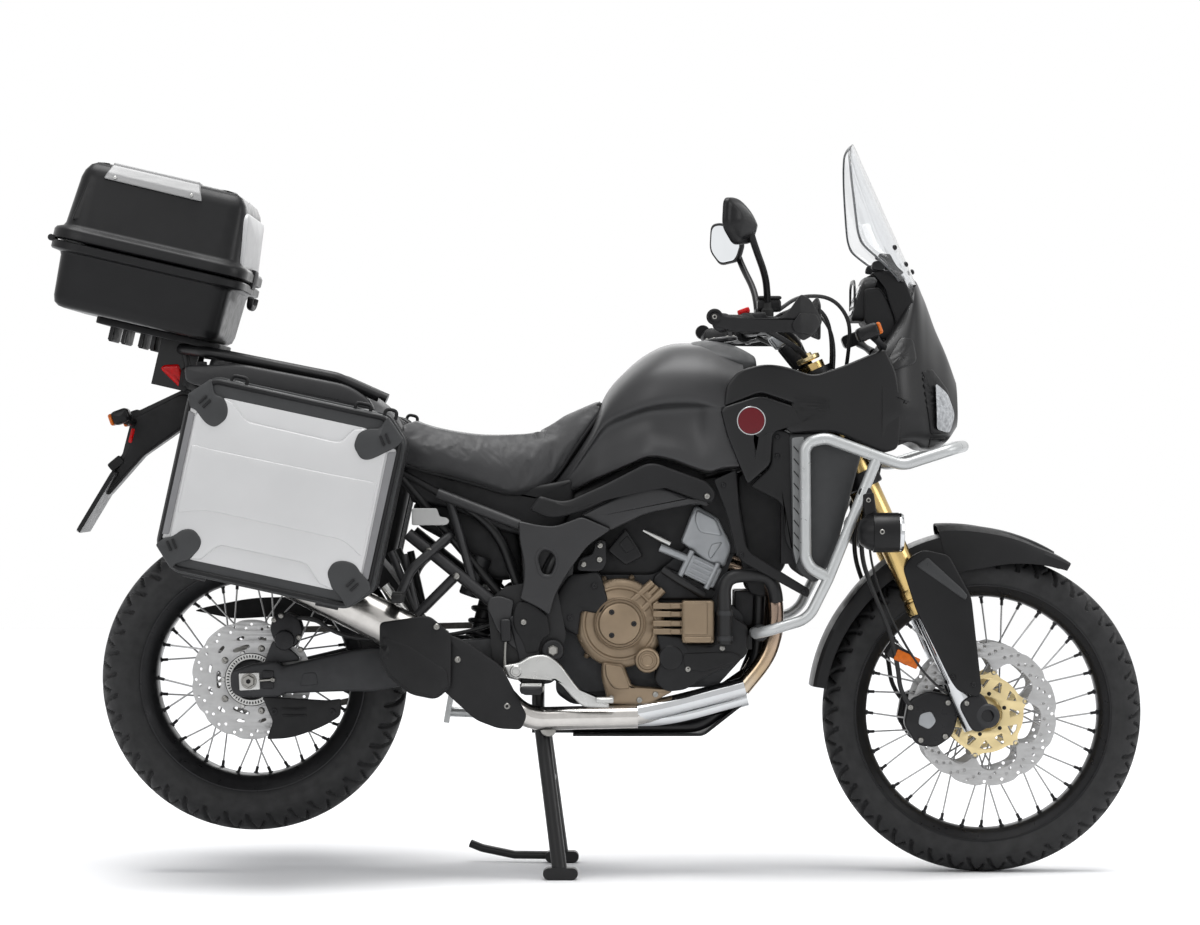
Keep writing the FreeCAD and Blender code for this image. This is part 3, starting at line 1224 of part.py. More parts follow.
# ---------------------------------------------------------------- controls and stands
def foot_controls():
    """Rider and passenger pegs, the brake pedal and the gear lever."""
    pieces = []
    for side in (RIGHT, LEFT):
        plate_out = side * (plate_y + dim.pivot_plate_thickness / 2 + dim.fit_gap)
        bracket = plate("peg_bracket", [
            (-196, 560, 12), (-140, 560, 12), (-126, 470, 12), (-128, 398, 10), (-160, 398, 10),
            (-172, 470, 12)], 9, (0, plate_out + side * 4.5, 0))
        peg = block("rider_peg", 44, 92, 24, (-144, plate_out + side * 52, 410))
        pieces.append(fused("peg_side", [bracket, peg]))
        far = side * 246
        near = rod("passenger_peg", 11, (-426, side * 178, 600), (-426, far + side * 20, 600))
        arm = tube("passenger_arm", 9, [
            (-321, side * 118, 730), (-321, side * 136, 730), (-400, side * 166, 660),
            (-426, side * 184, 600)], 18)
        pieces.append(fused("passenger_side", [near, arm]))
    out = plate_y + dim.pivot_plate_thickness / 2 + 14
    pedal = tube("brake_pedal", 8, [
        (-152, -out, 452), (-112, -out - 12, 474), (-78, -out - 20, 426), (-40, -out - 26, 378),
        (14, -out - 30, 376)], 24)
    shift = tube("gear_lever", 7, [
        (-148, out, 440), (-70, out + 18, 404), (20, out + 28, 400), (34, out + 50, 400)], 24)
    pieces[0] = fused("right_controls", [pieces[0], pedal])
    pieces[2] = fused("left_controls", [pieces[2], shift])
    return node("foot_controls", pieces)


def centre_stand():
    """Two splayed legs on the cradle's pins, a cross brace, D-shaped feet and a tread lever."""
    inner = dim.cradle_half_width + dim.cradle_tube_radius + 4
    top_y = inner + 12
    x, z = stand_pivot[0], stand_pivot[2]
    radius = dim.stand_tube_radius
    foot = (dim.stand_foot_x, -dim.stand_foot_y, radius)
    boss = rod("stand_boss", 17, (x, -inner, z), (x, -inner - 24, z))
    leg = rod("stand_leg", radius, (x, -top_y, z - 4), foot)
    pad = plate("stand_foot", [(-30, 0, 14), (44, 0, 14), (44, 26, 12), (-30, 26, 12)], 34,
                (dim.stand_foot_x - 6, -dim.stand_foot_y, 0))
    share = 0.42
    brace_y = top_y + (dim.stand_foot_y - top_y) * share
    brace_x = x + (dim.stand_foot_x - x) * share
    brace_z = z + (radius - z) * share
    brace = rod("stand_brace", 12, (brace_x, -brace_y, brace_z), (brace_x, brace_y, brace_z))
    lever = tube("stand_lever", 9, [
        (dim.stand_foot_x, dim.stand_foot_y, 16), (-190, 186, 16), (-262, 196, 30),
        (-288, 200, 40)], 40)
    floor_room = block("below_floor", 900, 900, 60, (0, 0, -30))
    bores = [rod("pin_bore", "pivot_pin_radius + pivot_clearance", (x, side * 60, z),
                 (x, side * 160, z)) for side in (RIGHT, LEFT)]
    whole = fused("stand_whole", both_sides(boss, leg, pad) + [brace, lever])
    return node("centre_stand", [carved("centre_stand", whole, bores + [floor_room])])


def side_stand():
    """A light alloy leg, folded rearwards, with its foot."""
    reach = dim.side_stand_length
    end = SIDE_PIVOT + SIDE_FOLDED * reach
    boss = rod("side_boss", 19, SIDE_PIVOT + SIDE_AXIS * 9, SIDE_PIVOT - SIDE_AXIS * 15)
    leg = rod("side_leg", "side_stand_radius", SIDE_PIVOT, end)
    foot = block("side_foot", 12, 44, 60, tuple(end + Vector(-2, 4, 6)), about_y(10))
    bore = rod("side_bore", "pivot_pin_radius + pivot_clearance", SIDE_PIVOT + SIDE_AXIS * 40,
               SIDE_PIVOT - SIDE_AXIS * 40)
    whole = fused("side_whole", [boss, leg, foot])
    return node("side_stand", [carved("side_stand", whole, [bore])])


crash_bars()
fog_lamps()
turn_signals()
skid_plate()
swingarm()
shock_absorber()
drive_chain()
rear_hugger()
rear_brake_caliper()
tail_rack()
number_plate_holder()
tail_lamp()
top_case()
side_cases()
foot_controls()
centre_stand()
side_stand()

# ---------------------------------------------------------------- check and write
doc.recompute()
for item in doc.Objects:
    if {"Invalid", "Error"} & set(item.State):
        raise SystemExit(f"{item.Name} failed: {item.State}")
for whole in nodes:
    if whole.Shape.isNull() or not whole.Shape.isValid() or not whole.Shape.Solids:
        raise SystemExit(f"{whole.Label} has no valid solid")
os.makedirs("parts", exist_ok=True)
for whole in nodes:
    whole.Shape.exportStep(f"parts/{whole.Label}.step")
    box = whole.Shape.BoundBox
    print(f"{whole.Label:24s} {len(whole.Shape.Solids):3d} solids"
          f"  x {box.XMin:7.0f} {box.XMax:6.0f}  y {box.YMin:6.0f} {box.YMax:6.0f}"
          f"  z {box.ZMin:6.0f} {box.ZMax:6.0f}")
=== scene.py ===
# %% [markdown]
# # An adventure motorcycle, dressed piece by piece
# The solids of the motorcycle arrive from the CAD model as a fixed frame. Each cell below takes one
# real part of the machine, such as a tyre, a seat or a case lid, says what it is made of and how its
# shape could be built, and then makes it. Lengths are metres, +X points forward, +Y to the rider's
# left and +Z up, so a piece goes straight to where the CAD model has it.

# %% Load the frame
import json
import math

import bmesh
import bpy
import numpy as np
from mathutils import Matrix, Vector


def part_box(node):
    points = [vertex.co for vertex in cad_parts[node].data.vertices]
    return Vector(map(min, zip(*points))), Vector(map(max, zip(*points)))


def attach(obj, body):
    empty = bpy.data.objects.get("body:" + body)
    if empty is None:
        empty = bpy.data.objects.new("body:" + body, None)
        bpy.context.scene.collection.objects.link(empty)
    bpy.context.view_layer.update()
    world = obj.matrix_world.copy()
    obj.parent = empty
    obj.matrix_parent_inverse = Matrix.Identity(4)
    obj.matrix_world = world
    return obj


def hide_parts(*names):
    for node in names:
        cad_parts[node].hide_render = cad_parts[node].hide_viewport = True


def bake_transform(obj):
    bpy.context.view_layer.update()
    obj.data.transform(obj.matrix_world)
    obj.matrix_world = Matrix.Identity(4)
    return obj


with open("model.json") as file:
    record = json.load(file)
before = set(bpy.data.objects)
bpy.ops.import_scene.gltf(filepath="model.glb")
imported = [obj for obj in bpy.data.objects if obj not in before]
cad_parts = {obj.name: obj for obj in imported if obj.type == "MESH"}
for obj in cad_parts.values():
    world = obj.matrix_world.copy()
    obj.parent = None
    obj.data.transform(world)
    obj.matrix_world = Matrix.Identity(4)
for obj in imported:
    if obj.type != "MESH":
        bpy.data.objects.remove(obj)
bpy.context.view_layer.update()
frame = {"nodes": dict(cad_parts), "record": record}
MM = 0.001
RIGHT, LEFT = -1, 1
SIDE_NAMES = {RIGHT: "right", LEFT: "left"}


# %% Read places from the CAD nodes
def low(node):
    """Lowest corner of a CAD node's box."""
    return np.array(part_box(node)[0], float)


def high(node):
    """Highest corner of a CAD node's box."""
    return np.array(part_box(node)[1], float)


def middle(node):
    """Centre of a CAD node's box."""
    return (low(node) + high(node)) / 2


joint_of = {joint["name"]: joint for joint in frame["record"]["behaviour"]["joints"]}
FRONT_AXLE = np.array(joint_of["front_wheel_spin"]["pos_m"], float)
REAR_AXLE = np.array(joint_of["rear_wheel_spin"]["pos_m"], float)
STEER_UP = np.array(joint_of["steering"]["axis"], float)
STEER_UP = STEER_UP / np.linalg.norm(STEER_UP)
STEER_AHEAD = np.array([STEER_UP[2], 0, -STEER_UP[0]])
print("axles", FRONT_AXLE, REAR_AXLE)

# %% [markdown]
# ## Camera, floor and light
# A studio picture of a motorcycle is taken from far away with a long lens, so that near and far
# parts keep nearly the same scale. The room is one pale sweep. The white that the camera and the
# reflections see is a background colour, and the machine itself is lit by wide, soft lamps at a
# plain level, so that black plastic stays black and still shows soft highlights.

# %% Camera
camera_data = bpy.data.cameras.new("camera")
camera_data.lens = 113.4
camera_data.sensor_width = 36
camera_data.shift_y = 0.003
camera_data.clip_end = 60
camera = bpy.data.objects.new("camera", camera_data)
camera.location = (0, -8.2, 0.878)
camera.rotation_euler = (math.radians(90), 0, 0)
bpy.context.collection.objects.link(camera)
bpy.context.scene.camera = camera
bpy.context.scene.view_settings.view_transform = "Standard"


# %% Floor and room
def add_node(tree, kind, sources=None, values=None, **settings):
    """Add a shader node: sources are linked to its sockets, and values and settings are plain."""
    made = tree.nodes.new("ShaderNode" + kind)
    for key, setting in settings.items():
        setattr(made, key, setting)
    for key, value in (values or {}).items():
        made.inputs[key].default_value = value
    for key, source in (sources or {}).items():
        tree.links.new(source, made.inputs[key])
    return made


def white_to_camera(tree, shader, colour, strength):
    """Mix a shader with a plain emission that camera, glossy and transmission rays see."""
    rays = add_node(tree, "LightPath").outputs
    seen = add_node(tree, "Math", {0: rays["Is Camera Ray"], 1: rays["Is Glossy Ray"]}, operation="MAXIMUM")
    through = add_node(tree, "Math", {0: seen.outputs[0], 1: rays["Is Transmission Ray"]},
                       operation="MAXIMUM")
    plain = add_node(tree, "Background", values={"Color": (*colour, 1), "Strength": strength})
    return add_node(tree, "MixShader", {0: through.outputs[0], 1: shader, 2: plain.outputs[0]}).outputs[0]


world = bpy.data.worlds.new("studio")
world.use_nodes = True
bpy.context.scene.world = world
dim_room = world.node_tree.nodes["Background"]
dim_room.inputs["Color"].default_value = (0.93, 0.95, 1.0, 1)
dim_room.inputs["Strength"].default_value = 0.45
world.node_tree.links.new(
    white_to_camera(world.node_tree, dim_room.outputs[0], (1, 1, 1), 1.0),
    world.node_tree.nodes["World Output"].inputs["Surface"])

floor_mesh = bpy.data.meshes.new("studio_floor")
floor_mesh.from_pydata([(-14, -9.5, 0), (14, -9.5, 0), (14, 12, 0), (-14, 12, 0)], [], [(0, 1, 2, 3)])
floor = bpy.data.objects.new("studio_floor", floor_mesh)
bpy.context.collection.objects.link(floor)
floor_finish = bpy.data.materials.new("pale_floor")
floor_finish.use_nodes = True
floor_shader = floor_finish.node_tree.nodes["Principled BSDF"]
floor_shader.inputs["Base Color"].default_value = (0.97, 0.97, 0.97, 1)
floor_shader.inputs["Roughness"].default_value = 0.9
floor_shader.inputs["Specular IOR Level"].default_value = 0.1
floor_mesh.materials.append(floor_finish)
print("floor and room are white")


# %% Lamps
def lamp(name, place, aim, size, power):
    """A square soft lamp that points at a place."""
    data = bpy.data.lights.new(name, "AREA")
    data.shape = "SQUARE"
    data.size = size
    data.energy = power
    thing = bpy.data.objects.new(name, data)
    thing.location = place
    way = np.array(aim, float) - np.array(place, float)
    flat = math.hypot(way[0], way[1])
    thing.rotation_euler = (math.pi / 2 + math.atan2(way[2], flat), 0,
                            math.atan2(way[1], way[0]) - math.pi / 2)
    bpy.context.collection.objects.link(thing)


lamp("over_lamp", (0.2, -0.9, 4.6), (0, 0, 0.6), 3.6, 70)
lamp("near_lamp", (-2.6, -4.6, 3.4), (0, 0, 0.8), 2.6, 50)
lamp("front_lamp", (4.4, -2.0, 2.6), (0.3, 0, 0.8), 2.2, 50)
lamp("back_lamp", (-0.5, 4.8, 3.2), (0, 0, 0.8), 3.0, 40)
sky_data = bpy.data.lights.new("ceiling", "SUN")
sky_data.energy = 2.2
sky_data.angle = math.radians(40)
sky = bpy.data.objects.new("ceiling", sky_data)
bpy.context.collection.objects.link(sky)

# %% [markdown]
# ## Surfaces worked out as arrays
# Every new piece below is a grid of points that numpy computes at once: a revolved profile, a round
# section carried along a path, or a panel whose edge is drawn in by small steps and whose middle is
# crowned. Modelling by hand would give the same shapes, but a formula keeps each radius and
# thickness in one named place, and the piece can be made again at another size.

# %% Grids and meshes
def grid(rows, columns, wrap_rows=False):
    """Four corners of each face of a grid of loops whose points are stored row by row."""
    r = np.arange(rows if wrap_rows else rows - 1)[:, None]
    c = np.arange(columns)[None, :]
    r_next, c_next = (r + 1) % rows, (c + 1) % columns
    corners = [r * columns + c, r * columns + c_next, r_next * columns + c_next, r_next * columns + c]
    return np.stack([np.broadcast_to(k, (r.shape[0], c.shape[1])) for k in corners], -1).reshape(-1, 4)


def put(name, points, faces, finish, body="root", caps=(), sharp=32, stands_for=(), closed=True):
    """Make a piece from points, faces and end caps, facing outwards, and let it ride its body."""
    mesh = bpy.data.meshes.new(name)
    polygons = np.asarray(faces).reshape(-1, 4).tolist() + [list(map(int, cap)) for cap in caps]
    mesh.from_pydata(np.asarray(points, float).reshape(-1, 3).tolist(), [], polygons)
    work = bmesh.new()
    work.from_mesh(mesh)
    bmesh.ops.remove_doubles(work, verts=work.verts, dist=2e-6)
    bmesh.ops.dissolve_degenerate(work, edges=work.edges, dist=1e-7)
    if closed:
        bmesh.ops.recalc_face_normals(work, faces=work.faces)
    work.to_mesh(mesh)
    work.free()
    mesh.shade_smooth()
    mesh.set_sharp_from_angle(angle=math.radians(sharp))
    mesh.materials.append(finish)
    piece = bpy.data.objects.new(name, mesh)
    bpy.context.collection.objects.link(piece)
    if body:
        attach(piece, body)
    if stands_for:
        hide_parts(*stands_for)
    return piece


def many(points, faces, caps=()):
    """Lay out faces and caps again for each copy in an array of copies of the same points."""
    copies, count = points.shape[0], points.shape[1]
    shift = np.arange(copies) * count
    all_faces = (np.asarray(faces)[None] + shift[:, None, None]).reshape(-1, 4)
    all_caps = [[int(k) + int(s) for k in cap] for s in shift for cap in caps]
    return points.reshape(-1, 3), all_faces, all_caps


# %% Directions and rings
def unit(way):
    """Directions of length 1."""
    way = np.asarray(way, float)
    return way / np.linalg.norm(way, axis=-1, keepdims=True)


def across(way):
    """Two unit directions square to one direction and to each other."""
    way = unit(way)
    start = np.eye(3)[np.argmin(np.abs(way))]
    first = unit(np.cross(way, start))
    return first, np.cross(way, first)


def circle(sides):
    """Cosines and sines of equal steps round a circle."""
    angle = np.arange(sides) * 2 * math.pi / sides
    return np.cos(angle), np.sin(angle)


def revolved(centre, way, profile, sides=48):
    """Points at radius r and distance h for each (r, h) of a profile, turned round an axis."""
    first, second = across(way)
    cos, sin = circle(sides)
    profile = np.asarray(profile, float)
    ring = cos[:, None] * first + sin[:, None] * second
    return (np.asarray(centre, float) + profile[:, None, 1:2] * unit(way) + profile[:, None, 0:1]
        * ring[None])


def turned(name, centre, way, profile, finish, body="root", sides=48, **more):
    """A turned piece. The profile runs in mm from the axis round and back to the axis."""
    profile = np.asarray(profile, float) * MM
    points = revolved(centre, way, profile, sides)
    return put(name, points, grid(len(profile), sides), finish, body, **more)


def ring_of(name, centre, way, profile, finish, body="root", sides=96, **more):
    """A turned ring, whose closed profile in mm never meets the axis."""
    profile = np.asarray(profile, float) * MM
    points = revolved(centre, way, profile, sides)
    return put(name, points, grid(len(profile), sides, wrap_rows=True), finish, body, **more)


# %% Paths and tubes
def eased(route, bend, steps=8):
    """A route whose corners are curves that start and end a short way from each corner.

    Each corner P becomes (1-t)^2 A + 2t(1-t) P + t^2 B, where A and B lie on its two runs.
    """
    route = np.asarray(route, float)
    if len(route) < 3:
        return route
    before, after = route[:-2] - route[1:-1], route[2:] - route[1:-1]
    long_before = np.linalg.norm(before, axis=1, keepdims=True)
    long_after = np.linalg.norm(after, axis=1, keepdims=True)
    start = route[1:-1] + before / long_before * np.minimum(bend, 0.48 * long_before)
    end = route[1:-1] + after / long_after * np.minimum(bend, 0.48 * long_after)
    t = np.linspace(0, 1, steps)[None, :, None]
    curve = ((1 - t) ** 2 * start[:, None] + 2 * t * (1 - t) * route[1:-1, None] + t ** 2 * end[:, None])
    return np.vstack([route[:1], curve.reshape(-1, 3), route[-1:]])


def evenly(path, step):
    """Points at equal steps along a path of straight runs."""
    run = np.concatenate([[0], np.cumsum(np.linalg.norm(np.diff(path, axis=0), axis=1))])
    marks = np.linspace(0, run[-1], max(2, int(round(run[-1] / step)) + 1))
    return np.stack([np.interp(marks, run, path[:, k]) for k in range(path.shape[1])], 1)


def side_vectors(path):
    """Tangents of a path, and two directions square to each tangent that never flip.

    The path's flattest direction, from its singular vectors, is the reference for them all.
    """
    tangent = unit(np.gradient(path, axis=0))
    spread = path - path.mean(0)
    reference = np.linalg.svd(spread, full_matrices=False)[2][-1]
    if len(path) < 3 or np.linalg.norm(np.cross(reference, tangent[0])) < 0.2:
        reference = across(tangent[0])[0]
    first = unit(np.cross(tangent, reference))
    return tangent, first, np.cross(tangent, first)


def carried(path, section, scale=None):
    """Points of a closed section (n, 2) carried along a path and scaled at each point of it."""
    _, first, second = side_vectors(path)
    section = np.asarray(section, float)
    scale = np.ones(len(path)) if scale is None else np.asarray(scale, float)
    flat = section[None] * scale[:, None, None]
    return path[:, None] + flat[..., :1] * first[:, None] + flat[..., 1:] * second[:, None]


def closed_sweep(path, section, scale=None):
    """A carried section whose two ends are drawn in to a point, so that it closes."""
    path = np.vstack([path[:1], path, path[-1:]])
    path[0] -= (path[2] - path[1]) * 1e-6
    path[-1] += (path[-2] - path[-3]) * 1e-6
    scale = np.ones(len(path) - 2) if scale is None else np.asarray(scale, float)
    body = carried(path[1:-1], section, scale)
    start = np.broadcast_to(body[0].mean(0), body[0].shape)
    end = np.broadcast_to(body[-1].mean(0), body[-1].shape)
    return np.concatenate([start[None], body, end[None]])


def tube(name, route, radius, finish, body="root", bend=30, sides=16, step=None, scale=None, **more):
    """A round bar along a route in mm, with eased corners.

    scale lists (share of the length, share of the radius) for a bar that swells or tapers.
    """
    path = eased(np.asarray(route, float) * MM, bend * MM)
    if step:
        path = evenly(path, step * MM)
    if scale:
        scale = np.interp(np.linspace(0, 1, len(path)), *zip(*scale))
    cos, sin = circle(sides)
    points = closed_sweep(path, np.stack([cos, sin], 1) * radius * MM, scale)
    return put(name, points, grid(len(points), sides), finish, body, **more)


# %% Outlines and panels
def traced(outline, step=4.0):
    """A closed outline in mm with eased corners, at equal steps.

    A point may carry a third number, the distance from the corner at which its curve starts.
    """
    corner = np.array([p[:2] for p in outline], float)
    bend = np.array([p[2] if len(p) > 2 else 1.0 for p in outline], float)[:, None]
    before, after = np.roll(corner, 1, 0) - corner, np.roll(corner, -1, 0) - corner
    long_before = np.linalg.norm(before, axis=1, keepdims=True)
    long_after = np.linalg.norm(after, axis=1, keepdims=True)
    start = corner + before / long_before * np.minimum(bend, 0.49 * long_before)
    end = corner + after / long_after * np.minimum(bend, 0.49 * long_after)
    t = np.linspace(0, 1, 7)[None, :, None]
    curve = (1 - t) ** 2 * start[:, None] + 2 * t * (1 - t) * corner[:, None] + t ** 2 * end[:, None]
    line = curve.reshape(-1, 2)
    line = np.vstack([line, line[:1]])
    return evenly(line, step)[:-1]


def drawn_in(outline, distance):
    """An outline moved inwards by a distance, along the mean of its two edge normals."""
    edge = unit(np.roll(outline, -1, 0) - outline)
    normal = np.stack([-edge[:, 1], edge[:, 0]], 1)
    area = np.sum(outline[:, 0] * np.roll(outline[:, 1], -1) - np.roll(outline[:, 0], -1) * outline[:, 1])
    normal = normal if area > 0 else -normal
    mean = unit(normal + np.roll(normal, 1, 0))
    stretch = np.clip(np.sum(mean * normal, 1, keepdims=True), 0.55, 1)
    return outline + mean * distance / stretch


def spine_points(outline, spine):
    """The nearest point of a straight spine for each point of an outline."""
    a, b = np.asarray(spine[0], float), np.asarray(spine[1], float)
    share = np.clip((outline - a) @ (b - a) / max((b - a) @ (b - a), 1e-9), 0, 1)
    return a + share[:, None] * (b - a)


def side_place(y, side):
    """A panel's place on one side of the machine: outlines are (X, Z) in mm, and it faces out."""
    return (0, side * y * MM, 0), (1, 0, 0), (0, 0, 1), (0, side, 0)


def laid(place, flat, rise):
    """Points for coordinates in a plane and a rise above it, all in mm.

    place is (origin, across, up, outwards), or a right side plane's distance from the middle.
    """
    place = side_place(place, RIGHT) if np.isscalar(place) else place
    origin, a_way, b_way, out = (np.asarray(v, float) for v in place)
    return origin + (flat[..., :1] * a_way + flat[..., 1:] * b_way + rise[..., None] * out) * MM


def end_caps(rows, count):
    """The first and last loop of a grid as faces, wound so that both look outwards."""
    return [range(count - 1, -1, -1), range((rows - 1) * count, rows * count)]


def panel(name, outline, place, finish, body="root", thick=10, edge=3, crown=0, spine=None, lie=None,
        step=4.0, rings=6, under=None, **more):
    """A solid panel: an outline in mm, a rounded front edge, and a crowned front face.

    The edge is a quarter round of the given size. Inside it, points move towards the spine by a
    share r, and rise by crown * (1 - r^2). lie(a, b) gives the whole panel's own curve, in mm
    outwards, at the outline's coordinates.
    """
    line = traced(outline, step)
    spine = spine if spine is not None else (line.mean(0), line.mean(0) + 1e-3)
    centre = spine_points(line, spine)
    under = thick if under is None else under
    quarter = np.linspace(0, math.pi / 2, 4)
    layers = [(drawn_in(line, min(edge, 1.5)), -under)]
    layers += [(line, -under + min(edge, 1.5))]
    layers += [(drawn_in(line, edge * (1 - math.cos(q))), edge * (math.sin(q) - 1)) for q in quarter]
    inner = drawn_in(line, edge)
    shares = np.linspace(1, 0.12, rings)[1:]
    layers += [(centre + (inner - centre) * r, crown * (1 - r * r)) for r in shares]
    back = drawn_in(line, min(edge, 1.5))
    back_rings = [(centre + (back - centre) * r, -under) for r in (0.12, 0.55)]
    layers = back_rings + layers
    flat = np.stack([layer[0] for layer in layers])
    rise = np.stack([np.full(len(line), layer[1]) for layer in layers])
    if lie is not None:
        rise = rise + lie(flat[..., 0], flat[..., 1])
    return put(name, laid(place, flat, rise), grid(len(layers), len(line)), finish, body,
        caps=end_caps(len(layers), len(line)), **more)


# %% Rows of small fasteners
def fasteners(name, spots, ways, radius, height, finish, body="root", **more):
    """Button-head screws with a hexagon socket: one small turned profile, copied to every spot."""
    spots = np.atleast_2d(np.asarray(spots, float)) * MM
    ways = np.broadcast_to(np.asarray(ways, float), spots.shape)
    r, h = radius * MM, height * MM
    profile = np.array([(0, -0.2), (1, -0.2), (1, 0.35), (0.78, 0.85), (0.5, 1.0), (0.46, 0.3), (0, 0.3)])
    cos, sin = circle(12)
    first = np.stack([across(w)[0] for w in ways])
    second = np.cross(unit(ways), first)
    ring = cos[None, :, None] * first[:, None] + sin[None, :, None] * second[:, None]
    points = (spots[:, None, None] + profile[None, :, None, 1:2] * h * unit(ways)[:, None, None]
        + profile[None, :, None, 0:1] * r * ring[:, None])
    shape, faces, caps = many(points.reshape(len(spots), -1, 3), grid(len(profile), 12))
    return put(name, shape, faces, finish, body, caps=caps, **more)


# %% Pairs
def pair(make, name, spots, *rest, node=None, **more):
    """Make a piece on the right and its mirror image on the left, which may stand for a CAD node.

    Spots are (x, y, z) with y outwards, and so is the way that comes after them where one does.
    """
    for side in (RIGHT, LEFT):
        flip = np.array([1, side, 1])
        has_way = make in (turned, ring_of, fasteners)
        values = [rest[0] * flip, *rest[1:]] if has_way else rest
        if node and side == LEFT:
            more["stands_for"] = [node]
        make(f"{name}_{SIDE_NAMES[side]}", np.asarray(spots, float) * flip, *values, **more)


def pair_panel(name, outline, y, finish, body="root", node=None, **more):
    """A panel y mm out on the right and its mirror image on the left, as in pair."""
    for side in (RIGHT, LEFT):
        panel(f"{name}_{SIDE_NAMES[side]}", outline, side_place(y, side), finish, body,
            stands_for=[node] if node and side == LEFT else (), **more)


print("helpers ready")

# %% [markdown]
# ## Finishes
# A finish is a Principled shader whose plain values sit on its own sockets. What makes it look real
# is small and comes from noise on object coordinates: a slow change of tone over a hand's width, a
# grain in the bump, and a roughness that wanders. Moulded plastic has a fine leather grain, cast
# metal is sandy, rubber is dusty, and a machined disc has rings.

# %% One maker of finishes
def finish(name, colour, rough, metal=0.0, tone=0.12, tone_size=60, rough_spread=0.08, rough_size=18,
        grain=(), stretch=(1, 1, 1), coat=0.0, mirrors=0.5, **plain):
    """A procedural finish.

    colour is the middle tone, and tone the share by which noise darkens and lightens it. grain is a
    list of (kind, size in mm, depth in mm), chained as bumps. stretch scales the noise's axes.
    mirrors is the specular level, low where a fine grain scatters what the surface reflects.
    """
    material = bpy.data.materials.new(name)
    material.use_nodes = True
    tree = material.node_tree
    shader = tree.nodes["Principled BSDF"]
    shader.inputs["Metallic"].default_value = metal
    shader.inputs["Coat Weight"].default_value = coat
    shader.inputs["Specular IOR Level"].default_value = mirrors
    for key, value in plain.items():
        shader.inputs[key.replace("_", " ")].default_value = value
    place = add_node(tree, "TexCoord").outputs["Object"]
    mapping = add_node(tree, "Mapping", {"Vector": place}, {"Scale": stretch})

    def noise(size, detail=3.0, kind="TexNoise"):
        """A noise node whose cells are about size mm wide."""
        made = add_node(tree, kind, {"Vector": mapping.outputs[0]}, {"Scale": 1000.0 / size})
        if "Detail" in made.inputs:
            made.inputs["Detail"].default_value = detail
        return made.outputs[0]

    tones = add_node(tree, "ValToRGB", {0: noise(tone_size)})
    colour = np.array(colour, float)
    tones.color_ramp.elements[0].position = 0.3
    tones.color_ramp.elements[1].position = 0.7
    tones.color_ramp.elements[0].color = (*(colour * (1 - tone)), 1)
    tones.color_ramp.elements[1].color = (*np.clip(colour * (1 + tone), 0, 1), 1)
    tree.links.new(tones.outputs[0], shader.inputs["Base Color"])
    spread = add_node(tree, "MapRange", {"Value": noise(rough_size)},
        {"From Min": 0.3, "From Max": 0.7, "To Min": max(rough - rough_spread, 0.02),
        "To Max": min(rough + rough_spread, 1)})
    tree.links.new(spread.outputs[0], shader.inputs["Roughness"])
    sources = {}
    for kind, size, depth in grain:
        sources["Height"] = noise(size, 2.0, "TexVoronoi" if kind == "cells" else "TexNoise")
        bump = add_node(tree, "Bump", sources, {"Strength": 1.0, "Distance": depth * MM})
        sources = {"Normal": bump.outputs[0]}
    if sources:
        tree.links.new(sources["Normal"], shader.inputs["Normal"])
    return material


def tinted(material, stops, start, end):
    """Multiply a finish's colour by a ramp along the line from start to end, in metres.

    The share along the line is the dot product of (position - start) with the line, over its
    length squared, so heat tints and dust sit where the real part has them.
    """
    tree = material.node_tree
    shader = tree.nodes["Principled BSDF"]
    source = shader.inputs["Base Color"].links[0].from_socket
    start, line = np.array(start, float), np.array(end, float) - np.array(start, float)
    place = add_node(tree, "TexCoord").outputs["Object"]
    shift = add_node(tree, "VectorMath", {0: place}, {1: start}, operation="SUBTRACT")
    along = add_node(tree, "VectorMath", {0: shift.outputs[0]}, {1: line / (line @ line)},
        operation="DOT_PRODUCT")
    ramp = add_node(tree, "ValToRGB", {0: along.outputs["Value"]})
    while len(ramp.color_ramp.elements) < len(stops):
        ramp.color_ramp.elements.new(0.5)
    for element, (position, colour) in zip(ramp.color_ramp.elements, stops):
        element.position = position
        element.color = (*colour, 1)
    mix = add_node(tree, "Mix", {6: source, 7: ramp.outputs[0]}, {0: 1.0}, data_type="RGBA",
        blend_type="MULTIPLY")
    tree.links.new(mix.outputs[2], shader.inputs["Base Color"])
    return material


# %% Plastics and paints
GRAIN = [("cells", 0.9, 0.05), ("noise", 6, 0.05)]
grained_plastic = finish("grained_black_plastic", (0.009, 0.009, 0.0095), 0.5, grain=GRAIN, tone=0.2,
    tone_size=120, mirrors=0.2)
smooth_plastic = finish("smooth_black_plastic", (0.0055, 0.0055, 0.006), 0.34, rough_spread=0.05,
    grain=[("noise", 30, 0.06)], mirrors=0.2)
grey_plastic = finish("dark_grey_plastic", (0.030, 0.031, 0.032), 0.48, grain=GRAIN, mirrors=0.3)
body_paint = finish("matt_black_paint", (0.006, 0.006, 0.0065), 0.36, tone=0.15, tone_size=0.6,
    rough_spread=0.03, rough_size=90, coat=0.12, Coat_Roughness=0.3, grain=[("noise", 45, 0.05)],
    mirrors=0.22)
# The tank's paint is a lighter grey than the other black paints: partly its own tone, partly painted top
# light.
painted_light_tank_finish = finish("graphite_tank_paint", (0.028, 0.028, 0.029), 0.42, metal=0.3, tone=0.15,
    tone_size=0.6, rough_spread=0.02, rough_size=90, coat=0.15, Coat_Roughness=0.4, mirrors=0.35)
frame_paint = finish("satin_black_frame_paint", (0.006, 0.006, 0.0065), 0.36, rough_spread=0.06,
    grain=[("noise", 3, 0.03)], mirrors=0.3)
dark_satin = finish("dark_satin_frame_paint", (0.017, 0.017, 0.018), 0.42, rough_spread=0.06,
    grain=[("noise", 3, 0.04)], mirrors=0.35)
